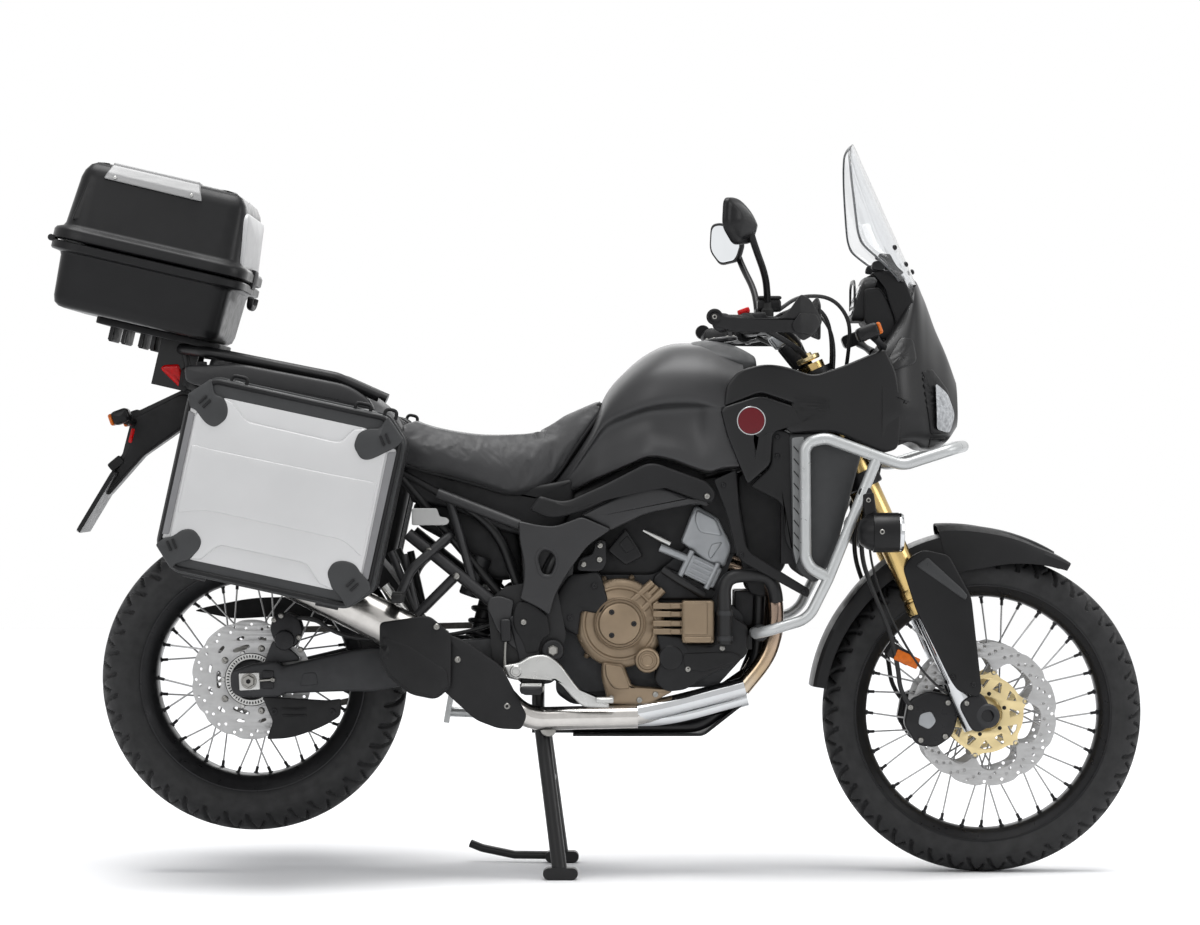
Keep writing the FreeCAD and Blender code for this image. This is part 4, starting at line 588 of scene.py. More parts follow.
silver_paint = finish("silver_powder_coat", (0.40, 0.41, 0.41), 0.34, metal=0.55, tone=0.05,
    grain=[("noise", 1.6, 0.03)])
silver_panel = finish("silver_moulded_panel", (0.49, 0.49, 0.49), 0.42, metal=0.25, tone=0.05,
    tone_size=200, rough_spread=0.05, grain=[("cells", 1.1, 0.035)])
dull_alloy = finish("dull_alloy", (0.17, 0.17, 0.175), 0.4, metal=0.6, tone=0.05,
    grain=[("noise", 1.6, 0.03)])
brushed_cover = finish("brushed_cover", (0.25, 0.25, 0.25), 0.42, metal=0.35, tone=0.05,
    stretch=(0.05, 1, 1), tone_size=3)
ivory_plastic = finish("pale_plastic", (0.40, 0.40, 0.39), 0.4, tone=0.05, grain=GRAIN)
# The vinyl's grey sits above the other blacks: partly its own tone, partly painted top light.
seat_vinyl = finish("seat_vinyl", (0.026, 0.026, 0.027), 0.5, tone=0.15, tone_size=90, mirrors=0.35,
    grain=[("cells", 1.6, 0.14), ("noise", 26, 0.3)], Sheen_Weight=0.06)
grip_rubber = finish("grip_rubber", (0.010, 0.010, 0.010), 0.62, grain=[("cells", 1.8, 0.2)], mirrors=0.3)
tyre_rubber = finish("tyre_rubber", (0.013, 0.013, 0.0135), 0.62, tone=0.22, tone_size=35,
    rough_spread=0.1, grain=[("noise", 2.2, 0.05)], mirrors=0.3)
maroon_enamel = finish("maroon_enamel", (0.10, 0.004, 0.008), 0.35, tone=0.06, mirrors=0.25)
pale_grey = finish("pale_grey_plastic", (0.16, 0.165, 0.165), 0.45, grain=GRAIN)
hose_rubber = finish("hose_rubber", (0.009, 0.009, 0.0095), 0.45, grain=[("noise", 2, 0.04)], mirrors=0.3)

# %% Metals
dark_cast = finish("dark_grey_castings", (0.028, 0.0285, 0.030), 0.5, metal=0.35, mirrors=0.3,
    grain=[("noise", 1.3, 0.12), ("noise", 9, 0.2)])
grey_cast = finish("grey_cylinder_castings", (0.26, 0.27, 0.28), 0.44, metal=0.55, tone=0.1,
    grain=[("noise", 1.2, 0.12), ("noise", 8, 0.15)])
bronze_paint = finish("bronze_engine_paint", (0.20, 0.148, 0.096), 0.38, metal=0.5, tone=0.1,
    grain=[("noise", 1.0, 0.06)])
black_cast = finish("black_castings", (0.010, 0.010, 0.011), 0.42, metal=0.2, mirrors=0.3,
    grain=[("noise", 1.2, 0.08)])
bare_alloy = finish("bare_alloy", (0.42, 0.42, 0.41), 0.33, metal=0.95, tone=0.06,
    grain=[("noise", 1.5, 0.04)])
polished = finish("polished_chrome", (0.50, 0.51, 0.52), 0.1, metal=1.0, tone=0.04, rough_spread=0.04)
spoke_steel = finish("spoke_steel", (0.30, 0.30, 0.30), 0.38, metal=1.0, tone=0.06)
zinc_steel = finish("zinc_plated_steel", (0.26, 0.255, 0.24), 0.36, metal=0.95,
    grain=[("noise", 1.2, 0.04)])
chain_steel = finish("oiled_chain_steel", (0.10, 0.095, 0.088), 0.42, metal=0.9, tone=0.25, tone_size=12,
    grain=[("noise", 3, 0.1)])
gold_fork = finish("gold_anodised_tube", (0.50, 0.36, 0.15), 0.24, metal=1.0, tone=0.05,
    stretch=(1, 1, 0.1), tone_size=20)
gold_alloy = finish("gold_anodised_alloy", (0.60, 0.49, 0.27), 0.34, metal=0.95, tone=0.08,
    grain=[("noise", 1.4, 0.04)])
anodised_black = finish("black_anodised_alloy", (0.014, 0.014, 0.015), 0.34, metal=0.5, mirrors=0.3,
    grain=[("noise", 1.5, 0.03)])
pipe_steel = tinted(finish("stainless_pipe", (0.47, 0.455, 0.435), 0.2, metal=1.0, tone=0.08,
    tone_size=25, rough_spread=0.06, grain=[("noise", 40, 0.08)]), [(0.0, (1, 1, 1)),
    (0.45, (0.98, 0.93, 0.84)), (0.7, (0.80, 0.62, 0.42)), (1.0, (0.55, 0.42, 0.36))], (0.10, 0, 0.33),
    (0.42, 0, 0.52))


def ringed(material, centre, way, size, depth):
    """Add turning marks: a bump by the sine of the distance from an axis, over a ring's size."""
    tree = material.node_tree
    place = add_node(tree, "TexCoord").outputs["Object"]
    shift = add_node(tree, "VectorMath", {0: place}, {1: centre}, operation="SUBTRACT")
    flat = add_node(tree, "VectorMath", {0: shift.outputs[0]}, {1: 1 - np.abs(np.array(way, float))},
        operation="MULTIPLY")
    length = add_node(tree, "VectorMath", {0: flat.outputs[0]}, operation="LENGTH")
    wave = add_node(tree, "Math", {0: length.outputs["Value"]}, {1: 2 * math.pi / (size * MM)},
        operation="MULTIPLY")
    sine = add_node(tree, "Math", {0: wave.outputs[0]}, operation="SINE")
    bump = add_node(tree, "Bump", {"Height": sine.outputs[0]}, {"Distance": depth * MM})
    tree.links.new(bump.outputs[0], tree.nodes["Principled BSDF"].inputs["Normal"])
    return material


disc_steel = {end: ringed(finish(f"{end}_disc_steel", (0.36, 0.36, 0.36), 0.42, metal=1.0, tone=0.05,
    tone_size=30), axle, (0, 1, 0), 1.4, 0.03) for end, axle in (("front", FRONT_AXLE),
    ("rear", REAR_AXLE))}


# %% Clear and coloured plastics
def clear(name, colour, rough):
    """A see-through moulding: the Principled shader's transmission, over a smooth surface."""
    return finish(name, colour, rough, tone=0.02, rough_spread=0.015, grain=(), Transmission_Weight=1.0,
        IOR=1.46)


screen_clear = clear("screen_polycarbonate", (0.87, 0.88, 0.89), 0.03)
screen_rim = finish("screen_rim", (0.10, 0.105, 0.11), 0.25, tone=0.05)
# The headlamp lens is opaque mid grey with patches of lighter and darker tone: painted reflection of the
# reflector behind a clear lens.
lens_grey_painted_reflection = finish("headlamp_lens", (0.36, 0.37, 0.38), 0.22, tone=0.3, tone_size=8, mirrors=0.3,
    grain=[("cells", 4, 0.2)])
lens_clear = clear("lens_polycarbonate", (0.92, 0.94, 0.95), 0.03)
lamp_mirror = finish("lamp_reflector", (0.24, 0.245, 0.25), 0.22, metal=1.0, tone=0.03)
red_lens = finish("red_lens", (0.50, 0.002, 0.003), 0.2, tone=0.15, tone_size=8, mirrors=0.25,
    grain=[("cells", 4, 0.25)])
amber_lens = finish("amber_lens", (0.46, 0.10, 0.004), 0.2, tone=0.15, tone_size=8, mirrors=0.25,
    grain=[("cells", 4, 0.25)])
mirror_glass = finish("mirror_glass", (0.80, 0.82, 0.84), 0.04, metal=1.0, tone=0.02, rough_spread=0.02)
dial_glass = finish("dial_glass", (0.02, 0.022, 0.025), 0.08, coat=0.8, tone=0.1)
dark_mesh = finish("radiator_core", (0.030, 0.031, 0.033), 0.5, metal=0.4, grain=[("cells", 3, 0.6)])
plate_blank = finish("blank_plate", (0.035, 0.035, 0.036), 0.45, grain=GRAIN)

# %% The CAD nodes take their finishes
slot_finish = {"frame_black": frame_paint, "engine_grey": dark_cast, "cover_bronze": bronze_paint,
    "pipe_steel": pipe_steel, "plastic_black": grained_plastic, "body_black": body_paint,
    "seat_vinyl": seat_vinyl, "lamp_clear": lens_clear, "lamp_red": red_lens, "lamp_amber": amber_lens,
    "screen_clear": screen_clear, "bar_silver": silver_paint, "chain_steel": chain_steel,
    "caliper_dark": anodised_black, "disc_steel": disc_steel["front"], "fork_gold": gold_fork,
    "leg_chrome": polished, "tyre_rubber": tyre_rubber, "wheel_black": frame_paint,
    "case_silver": grained_plastic}
for part in frame["record"]["subparts"]:
    node_mesh = frame["nodes"][part["node"]].data
    node_mesh.materials.clear()
    node_mesh.materials.append(slot_finish[part["material_slot"]])
print("finishes:", len(slot_finish), "slots on", len(frame["nodes"]), "CAD nodes")
# %% [markdown]
# ## The side cases
# A touring side case is a hollow box of moulded plastic, with a tub that hangs on the rack and a lid
# that opens outwards on hinges along its lower edge. Its eight-sided face carries a pressed light
# alloy panel inside a black frame. Each half could be vacuum formed over a block with drafted,
# rounded sides, so it is built here as one outline carried through layers: in along the inner wall,
# over the rim, and back along the outer wall. The panel is pressed in shallow steps with soft edges,
# which is why steps are separate thin panels.

# %% Hollow mouldings
def cup(name, outline, place, layers, finish, body="root", step=5.0, **more):
    """A hollow moulding: an outline in mm carried through layers of (inset, rise), capped twice."""
    line = traced(outline, step)
    flat = np.stack([drawn_in(line, inset) if inset else line for inset, _ in layers])
    rise = np.repeat(np.array([r for _, r in layers], float)[:, None], len(line), 1)
    return put(name, laid(place, flat, rise), grid(len(layers), len(line)), finish, body,
        caps=end_caps(len(layers), len(line)), **more)


def rim(name, outline, place, section, finish, body="root", step=5.0, **more):
    """A closed strip along an outline. Its section lists (inset, rise) in mm round the strip."""
    line = traced(outline, step)
    flat = np.stack([drawn_in(line, inset) for inset, _ in section])
    rise = np.array([r for _, r in section], float)[:, None]
    return put(name, laid(place, flat, rise), grid(len(section), len(line), wrap_rows=True), finish, body,
        **more)


CASE_TILT = math.radians(12.3)
case_middle = middle("pannier_lid_right") * (1, 0, 1)
CASE_LINE = [(-226, -157, 14), (-181, -202, 14), (181, -202, 14), (226, -157, 14), (226, 157, 14),
    (181, 202, 14), (-181, 202, 14), (-226, 157, 14)]


def case_place(side, y=0):
    """The side case's own tilted plane: outlines are (along, up) in mm from its centre."""
    return (case_middle + (0, side * y * MM, 0), (math.cos(CASE_TILT), 0, -math.sin(CASE_TILT)),
        (math.sin(CASE_TILT), 0, math.cos(CASE_TILT)), (0, side, 0))


def case_point(side, along, up, y):
    """One point of the side case in metres."""
    origin, a_way, b_way, out = (np.asarray(v, float) for v in case_place(side))
    return origin + (along * a_way + up * b_way + y * out) * MM


print("side case centre", case_middle)

# %% Tubs, lids and alloy panels
SILVER_LINE = [(-150, 166), (143, 167), (216, 136, 6), (215, -138, 6), (146, -171), (-148, -172),
    (-220, -138, 6), (-218, 130, 6)]
FIELD_LINE = [(-203, 124, 8), (-150, 165, 4), (-133, 161, 4), (-98, 129, 12), (98, 127, 12),
    (120, 160, 4), (143, 166, 4), (196, 132, 8), (199, -134, 8), (146, -170, 4), (118, -164, 4),
    (84, -129, 12), (-98, -130, 12), (-128, -167, 4), (-148, -171, 4), (-201, -137, 8)]
BAND_LINE = [(-197, 60, 6), (-158, 58, 20), (82, 60, 20), (191, 63, 6), (194, -92, 6), (180, -86, 8),
    (148, -66, 16), (-135, -66, 16), (-176, -77, 8), (-196, -84, 6)]
CORNER_LINES = [  # rear top, front top, rear foot, front foot
    [(-226, 158, 4), (-186, 199, 4), (-172, 168, 8), (-152, 167, 12), (-138, 146, 12),
     (-138, 124, 10), (-158, 101, 12), (-180, 108, 10), (-204, 130, 6), (-216, 132, 4)],
    [(183, 200, 4), (225, 160, 4), (214, 143, 4), (181, 116, 10), (164, 104, 10), (147, 103, 10),
     (127, 126, 10), (131, 155, 10), (151, 168, 6), (172, 172, 6)],
    [(-225, -157, 4), (-212, -140, 4), (-196, -134, 8), (-176, -113, 10), (-154, -109, 12),
     (-134, -128, 10), (-135, -146, 10), (-150, -172, 8), (-176, -186, 4), (-184, -199, 4)],
    [(129, -139, 10), (136, -116, 10), (155, -106, 12), (182, -108, 12), (200, -127, 8),
     (218, -138, 4), (225, -155, 4), (184, -199, 4), (160, -176, 6), (146, -168, 6)]]
for side in (RIGHT, LEFT):
    lid_body = f"pannier_lid_{SIDE_NAMES[side]}"
    tag = SIDE_NAMES[side]
    cup(f"case_tub_{tag}", CASE_LINE, case_place(side), [(14, 243), (8, 247), (5, 411), (3, 412.4),
        (-3, 412.4), (-4, 411), (-4, 399), (-3, 397), (0, 396), (1, 256), (4, 244), (10, 238), (18, 236)],
        grained_plastic, stands_for=["pannier_shells"] if side == LEFT else ())
    cup(f"case_lid_{tag}", CASE_LINE, case_place(side), [(14, 462), (8, 458), (5, 418), (3, 416),
        (-3, 416), (-4, 417.5), (-4, 429), (-3, 431), (0, 432), (1, 458), (3, 464), (8, 468.5),
        (14, 470)], grey_plastic, lid_body, stands_for=[lid_body])
    rim(f"case_frame_{tag}", CASE_LINE, case_place(side), [(2.5, 466), (2.5, 472), (4.5, 475.5),
        (9, 475.5), (12, 472), (12, 466)], grained_plastic, lid_body)
    panel(f"case_panel_{tag}", SILVER_LINE, case_place(side, 472.5), silver_panel, lid_body, thick=6,
        edge=1.5)
    panel(f"case_field_{tag}", FIELD_LINE, case_place(side, 476.5), silver_panel, lid_body, thick=8,
        edge=4.5, rings=4, spine=((-170, 0), (170, 0)))
    panel(f"case_band_{tag}", BAND_LINE, case_place(side, 478), silver_panel, lid_body, thick=6, edge=3,
        rings=4, spine=((-170, 0), (170, 0)))
    for end, line in (("rear", [(-219, 126, 2), (-204, 122, 2), (-203, -130, 2), (-220, -134, 2)]),
            ("front", [(199, 128, 2), (216, 134, 2), (215, -136, 2), (201, -130, 2)])):
        panel(f"case_flange_{tag}_{end}", line, case_place(side, 475), dull_alloy, lid_body, thick=4,
            edge=1.2)
    for number, line in enumerate(CORNER_LINES):
        panel(f"case_corner_{tag}_{number}", line, case_place(side, 480), grey_plastic, lid_body,
            thick=13, edge=4, crown=2.5, step=3)
    fasteners(f"case_rivets_{tag}", [case_point(side, a, b, 472.5) / MM
        for a, b in ((-212, 77), (-210, -81), (207, 79), (208, -79))], (0, side, 0), 4.4, 2.4, bare_alloy,
        lid_body)
    for number, (a, b, lean) in enumerate(((-188, 150, 0.6), (188, 152, -0.6), (-192, -150, -0.6),
            (186, -152, 0.6))):
        way = np.array([math.sin(lean), math.cos(lean)])
        slots = [[case_point(side, *(np.array([a, b]) + way * k + np.array([way[1], -way[0]]) * j), 484.5)
            / MM for k in (-11, 11)] for j in (-6, 6)]
        for row, route in enumerate(slots):
            tube(f"case_corner_rib_{tag}_{number}_{row}", route, 2.6, grained_plastic, lid_body, sides=10)
    for number, along in enumerate((-132, 128, 186)):
        start, end = (16, 200) if abs(along) < 150 else (12, 196)
        route = [case_point(side, along + k, up, 442) / MM for k, up in ((-start, end), (-start, 215),
            (start, 215), (start, end))]
        tube(f"case_tie_loop_{tag}_{number}", route, 3.6, grained_plastic, lid_body, bend=10)
    for number, along in enumerate((-140, 140)):
        route = [case_point(side, along + k, -206, 414) / MM for k in (-24, 24)]
        tube(f"case_hinge_{tag}_{number}", route, 6, black_cast, lid_body)
        panel(f"case_latch_{tag}_{number}", [(along - 26, -9, 5), (along + 26, -9, 5),
            (along + 20, 34, 8), (along - 20, 34, 8)], (case_point(side, 0, 203, 414), case_place(0)[1],
            (0, side, 0), case_place(0)[2]), grey_plastic, lid_body, thick=5, edge=2.5, crown=3, step=4)
for number, y in enumerate((270, 316, 362)):
    for side in (RIGHT, LEFT):
        rim(f"case_rib_{SIDE_NAMES[side]}_{number}", CASE_LINE, case_place(side),
            [(2, y - 5), (-2, y - 3), (-2.6, y), (-2, y + 3), (2, y + 5)], grained_plastic)
print("side cases dressed")

# %% [markdown]
# ## The top case
# The top case is a deep tub and a domed lid that meet at a thick flange, and both taper so that
# they leave the mould. The lid wears a brushed plate over its crown and a light panel on its front
# face, both screwed on. In plan the case is a rounded rectangle, so one plan outline is carried up
# through layers for each half.

# %% Top case
TOP_TILT = math.radians(13)
TOP_AXES = ((math.cos(TOP_TILT), 0, -math.sin(TOP_TILT)), (math.sin(TOP_TILT), 0, math.cos(TOP_TILT)))
top_plan = ((0, 0, 0), TOP_AXES[0], (0, 1, 0), TOP_AXES[1])
TOP_LINE = [(-1414, -205, 40), (-1044, -205, 40), (-1044, 205, 40), (-1414, 205, 40)]


def top_side(side, y):
    """The top case's own side plane."""
    return (0, side * y * MM, 0), TOP_AXES[0], TOP_AXES[1], (0, side, 0)


def top_spot(x, y, z):
    """A point of the tilted top case in mm of the shared frame."""
    return x * np.array(TOP_AXES[0]) + z * np.array(TOP_AXES[1]) + np.array([0, y, 0])


def top_front(x, z):
    """A plane across the top case that faces forwards: outlines are (Y, up) in mm."""
    return top_spot(x, 0, z) * MM, (0, 1, 0), TOP_AXES[1], TOP_AXES[0]


cup("top_case_tub", TOP_LINE, top_plan, [(22, 936), (12, 940), (5, 1062), (-2, 1065), (-22, 1065),
    (-25, 1062), (-25, 1049), (-22, 1046), (-4, 1043), (-1, 1036), (4, 950), (8, 936), (18, 929),
    (30, 927)], smooth_plastic, stands_for=["topcase_base"], sharp=40)
cup("top_case_lid", TOP_LINE, top_plan, [(60, 1236), (32, 1230), (16, 1205), (4, 1110), (-2, 1069),
    (-22, 1069), (-26, 1072), (-26, 1088), (-22, 1094), (-9, 1099), (-5, 1106), (5, 1208), (10, 1224),
    (20, 1238), (34, 1245), (56, 1248)], smooth_plastic, "topcase_lid", stands_for=["topcase_lid"],
    sharp=40)
for side in (RIGHT, LEFT):
    tag = SIDE_NAMES[side]
    panel(f"top_lid_facet_{tag}", [(-1404, 1112, 6), (-1390, 1204, 10), (-1110, 1204, 10),
        (-1075, 1160, 10), (-1062, 1110, 6)], top_side(side, 207.5), smooth_plastic, "topcase_lid",
        thick=9, edge=4, lie=lambda a, b: -(b - 1108) * 0.085)
    panel(f"top_tub_facet_{tag}", [(-1388, 948, 10), (-1376, 1034, 8), (-1084, 1034, 8),
        (-1072, 948, 10)], top_side(side, 204.5), smooth_plastic, thick=7, edge=3,
        lie=lambda a, b: (b - 1034) * 0.052)
    panel(f"top_crown_side_{tag}", [(-1358, 1213, 4), (-1346, 1247, 5), (-1158, 1247, 5),
        (-1144, 1211, 4)], top_side(side, 206), brushed_cover, "topcase_lid", thick=16, edge=3,
        lie=lambda a, b: -(b - 1211) * 0.2 - np.clip(b - 1226, 0, None) * 0.45)
    fasteners(f"top_crown_screws_{tag}", [top_spot(x, side * 207, 1219) for x in (-1334, -1168)],
        (0, side, 0), 4, 2, bare_alloy, "topcase_lid")
panel("top_crown_plate", [(-1346, -190, 6), (-1158, -190, 6), (-1158, 190, 6), (-1346, 190, 6)], top_plan,
    brushed_cover, "topcase_lid", thick=11, edge=3, lie=lambda a, b: 1251 + 0 * a)
panel("top_front_panel", [(-172, -68, 8), (-186, 50, 26), (186, 50, 26), (172, -68, 8)],
    top_front(-1037, 1160), silver_panel, "topcase_lid", thick=12, edge=4, crown=7,
    lie=lambda a, b: -b * 0.11, step=6)
panel("top_front_catch", [(-34, -12, 6), (-38, 30, 8), (38, 30, 8), (34, -12, 6)], top_front(-1016, 1070),
    grained_plastic, "topcase_lid", thick=10, edge=3, crown=3)
tube("top_handle", [top_spot(-1012, y, z) for y, z in ((-52, 1040), (-46, 1020), (46, 1020), (52, 1040))],
    7, grained_plastic)
for y in (-150, 150):
    route = [top_spot(-1442, y + k, 1067) for k in (-30, 30)]
    tube(f"top_hinge_{'left' if y > 0 else 'right'}", route, 7, black_cast, "topcase_lid")
for number, x in enumerate((-1286, -1258, -1220, -1194)):
    line = [(-72, 920, 3), (72, 920, 3), (60, 880, 4), (-60, 880, 4)]
    panel(f"carrier_fin_{number}", line, top_front(x + 4.5, 0), grained_plastic, thick=9, edge=2)
panel("carrier_plate", [(-1318, -128, 20), (-1046, -128, 20), (-1046, 128, 20), (-1318, 128, 20)],
    top_plan, grained_plastic, thick=15, edge=3, lie=lambda a, b: 927 + 0 * a)
print("top case dressed")
# %% [markdown]
# ## Wheels
# An adventure tyre is a vulcanised rubber ring with a stiff bead, a flexible wall and a thick tread.
# The mould leaves slanted grooves that run out over the shoulders so that water and grit escape.
# The section is revolved round the axle, and the grooves are pressed into the same grid by lowering
# its points, because separate blocks would show joints that moulded rubber does not have.

# %% Tyres
def tyre(name, axle, radius, half_width, bead, bead_half, pitches, body, stands_for):
    """A treaded tyre.

    Over an angle t the section is (r0 + (R - r0) cos t, W sin t). A groove is a band of the pitch
    phase that slants with |sin t|; it lowers a point along the section's own normal by up to 7 mm.
    """
    t = np.linspace(-2.35, 2.35, 57)
    deep = np.where(np.cos(t) > 0, radius - (radius + bead) / 2, ((radius + bead) / 2 - bead) * 1.42)
    radial = (radius + bead) / 2 + deep * np.cos(t)
    axial = half_width * np.sin(t)
    beyond = np.abs(t) > 1.75
    axial = np.where(beyond, np.sign(t) * np.maximum(np.abs(axial), bead_half), axial)
    sides = pitches * 14
    phase = np.arange(sides) / 14.0
    width = np.abs(np.sin(t))[:, None]
    hand = np.where(t > 0, 0.5, 0.0)[:, None]

    def band(share, centre, half):
        """1 where a share of the pitch lies within half of a centre, and 0 outside."""
        off = np.abs((share - centre + 0.5) % 1 - 0.5)
        return np.clip((half - off) / 0.05, 0, 1)

    on_tread = np.clip((1.42 - np.abs(t)) / 0.08, 0, 1)[:, None]
    slant = band(phase[None] + hand + 0.75 * width, 0.5, 0.11) * (width > 0.12)
    short = band(phase[None] + hand - 0.55 * width, 0.05, 0.08) * (width > 0.30) * (width < 0.86)
    groove = np.maximum(slant, short) * on_tread
    line = np.exp(-((np.abs(t) - 1.56) / 0.03) ** 2)[:, None] - np.exp(-((np.abs(t) - 1.95)
        / 0.04) ** 2)[:, None]
    lower = 6.5 * groove - 0.9 * line
    r = radial[:, None] - lower * np.cos(t)[:, None]
    w = axial[:, None] - lower * np.sin(t)[:, None]
    inner = np.array([(bead - 2, bead_half - 7), (bead + 8, bead_half - 9), (bead + 8, 9 - bead_half),
        (bead - 2, 7 - bead_half)], float)
    r = np.vstack([r, np.repeat(inner[:, :1], sides, 1)])
    w = np.vstack([w, np.repeat(inner[:, 1:], sides, 1)])
    cos, sin = circle(sides)
    points = np.stack([r * cos, w, r * sin], -1) * MM + axle
    put(name, points, grid(len(r), sides, wrap_rows=True), tyre_rubber, body, sharp=38,
        stands_for=[stands_for])


tyre("front_tread", FRONT_AXLE, 345, 46, 269, 34, 46, "front_wheel", "front_tyre")
tyre("rear_tread", REAR_AXLE, 330, 73, 235, 55, 40, "rear_wheel", "rear_tyre")
print("tyres treaded")

# %% [markdown]
# ## Rims, spokes and hubs
# Wire wheels carry their load on thin, tightened spokes that leave the hub flanges nearly
# tangentially and cross their neighbours. The rims are rolled and black anodised, with a well in the
# middle and two folded lips. The spokes are one small rod copied to every pair of end points.

# %% Struts and wire wheels
def struts(name, starts, ends, radius, finish, body="root", sides=8, **more):
    """Straight round rods between rows of start and end points in metres, all in one mesh."""
    starts, ends = np.atleast_2d(starts), np.atleast_2d(ends)
    ways = unit(ends - starts)
    first = np.stack([across(w)[0] for w in ways])
    second = np.cross(ways, first)
    cos, sin = circle(sides)
    ring = (cos[None, :, None] * first[:, None] + sin[None, :, None] * second[:, None]) * radius * MM
    points = np.concatenate([starts[:, None] + ring, ends[:, None] + ring], 1)
    shape, faces, caps = many(points, grid(2, sides), [list(range(sides)), list(range(sides, 2 * sides))])
    return put(name, shape, faces, finish, body, caps=caps, **more)


def mirrored(profile):
    """A closed wheel profile from its left half, listed from the inner middle to the outer one."""
    return profile + [(r, -h) for r, h in profile[::-1] if h]


def wire_wheel(end, axle, rim_profile, seat, flange, flange_y, rim_y, count, node):
    """A rim, crossed spokes with their nipples, and the parts of a hub."""
    body = f"{end}_wheel"
    ring_of(f"{end}_rim", axle, (0, 1, 0), mirrored(rim_profile), anodised_black, body, sides=144,
        stands_for=[node])
    number = np.arange(count)
    hand = np.where(number % 2, 1, -1)
    pair = np.where(number // 2 % 2, 1, -1)
    turn = number * 2 * math.pi / count
    hub_turn = turn + pair * 0.78
    rows = [np.stack([np.cos(a), np.zeros(count), np.sin(a)], 1) for a in (turn, hub_turn)]
    side = np.array([0, 1, 0]) * hand[:, None]
    out = axle + (rows[0] * seat + side * rim_y) * MM
    start = axle + (rows[1] * flange + side * flange_y) * MM
    struts(f"{end}_spokes", start, out, 1.9, spoke_steel, body)
    way = unit(start - out)
    struts(f"{end}_nipples", out, out + way * 0.017, 3.4, anodised_black, body)
    struts(f"{end}_nipple_nuts", out - way * 0.002, out + way * 0.005, 5.2, anodised_black, body, sides=6)
    struts(f"{end}_spoke_heads", start + side * 0.0035, start - side * 0.002, 3.6, spoke_steel, body)
    return start


FRONT_RIM = [(250, 0), (250.5, 12), (254, 22), (262, 30), (270, 35), (274, 39), (277, 39.5), (277, 37),
    (272, 33), (264, 26), (259, 18), (258, 0)]
REAR_RIM = [(208, 0), (208.5, 24), (213, 38), (224, 50), (234, 57), (240, 61), (243, 61), (243, 58),
    (237, 53), (226, 44), (218, 34), (216, 0)]
wire_wheel("front", FRONT_AXLE, FRONT_RIM, 252, 43, 26, 9, 36, "front_wire_wheel")
wire_wheel("rear", REAR_AXLE, REAR_RIM, 211, 58, 36, 16, 36, "rear_wire_wheel")
ring_of("front_hub", FRONT_AXLE, (0, 1, 0), mirrored([(13, 0), (13, 56), (22, 57), (24, 50), (34, 49),
    (39, 46), (39, 32), (47, 30), (48.5, 27.5), (48, 24), (44, 22), (30, 15), (25, 0)]), gold_alloy,
    "front_wheel", sides=72)
ring_of("rear_hub", REAR_AXLE, (0, 1, 0), mirrored([(13, 0), (13, 78), (24, 79), (40, 78), (46, 74),
    (46, 44), (62, 41), (64, 38), (63, 33), (56, 30), (40, 22), (34, 0)]), dark_cast, "rear_wheel",
    sides=72)
print("wheels built")

# %% [markdown]
# ## Brake discs
# Discs are laser cut from stainless sheet and ground flat. Their waved edge and rows of slanted
# holes save weight and sweep the pads clean. The front pair float on a gold carrier by bobbins, and
# the rear one bolts straight to the hub, with a toothed ring inside it for the wheel speed sensor.
# A plate with holes is a filled curve given a thickness: that is also how the laser sees it.

# %% Pierced plates
def pierced(name, loops, place, thick, finish, body="root", soft=0.3, **more):
    """A flat plate in mm: the first loop is its edge, and the others are holes through it."""
    curve = bpy.data.curves.new(name, "CURVE")
    curve.dimensions = "2D"
    curve.fill_mode = "BOTH"
    curve.extrude = (thick / 2 - soft) * MM
    curve.bevel_depth = soft * MM
    curve.bevel_resolution = 1 if soft < 1 else 3
    curve.offset = -soft * MM
    for loop in loops:
        flat = np.asarray(loop, float) * MM
        spline = curve.splines.new("POLY")
        spline.points.add(len(flat) - 1)
        spline.points.foreach_set("co", np.hstack([flat, np.zeros((len(flat), 1)),
            np.ones((len(flat), 1))]).ravel())
        spline.use_cyclic_u = True
    thing = bpy.data.objects.new(name, curve)
    mesh = bpy.data.meshes.new_from_object(thing)
    flat = np.empty(len(mesh.vertices) * 3)
    mesh.vertices.foreach_get("co", flat)
    flat = flat.reshape(-1, 3)
    polygons = [list(p.vertices) for p in mesh.polygons]
    bpy.data.objects.remove(thing)
    bpy.data.curves.remove(curve)
    bpy.data.meshes.remove(mesh)
    origin, a_way, b_way, out = (np.asarray(v, float) for v in place)
    points = origin + flat[:, :1] * a_way + flat[:, 1:2] * b_way + flat[:, 2:] * out
    return put(name, points, [], finish, body, caps=polygons, sharp=25, **more)


def polar(radius, turn):
    """Points at radii and angles, as (along, up)."""
    return np.stack([radius * np.cos(turn), radius * np.sin(turn)], -1)


def round_hole(a, b, radius, sides=14):
    """A round hole of a pierced plate."""
    cos, sin = circle(sides)
    return np.stack([a + radius * cos, b + radius * sin], 1)


def oval_hole(radius, turn, long, wide, lean=0.0, sides=16):
    """An oval hole at a radius and an angle; its length runs round the plate, plus a lean."""
    cos, sin = circle(sides)
    power = np.sign(cos) * np.abs(cos) ** 0.7 * long, np.sign(sin) * np.abs(sin) ** 0.7 * wide
    head = turn + math.pi / 2 + lean
    centre = polar(radius, turn)
    return centre + np.stack([power[0] * math.cos(head) - power[1] * math.sin(head),
        power[0] * math.sin(head) + power[1] * math.cos(head)], 1)


def bumps(turn, count, width, shift=0.0):
    """Rounded bumps of height 1 at equal angles: exp(-(angle from the nearest / width)^2)."""
    off = (turn - shift + math.pi / count) % (2 * math.pi / count) - math.pi / count
    return np.exp(-(off / width) ** 2)


FULL_TURN = np.arange(360) * 2 * math.pi / 360


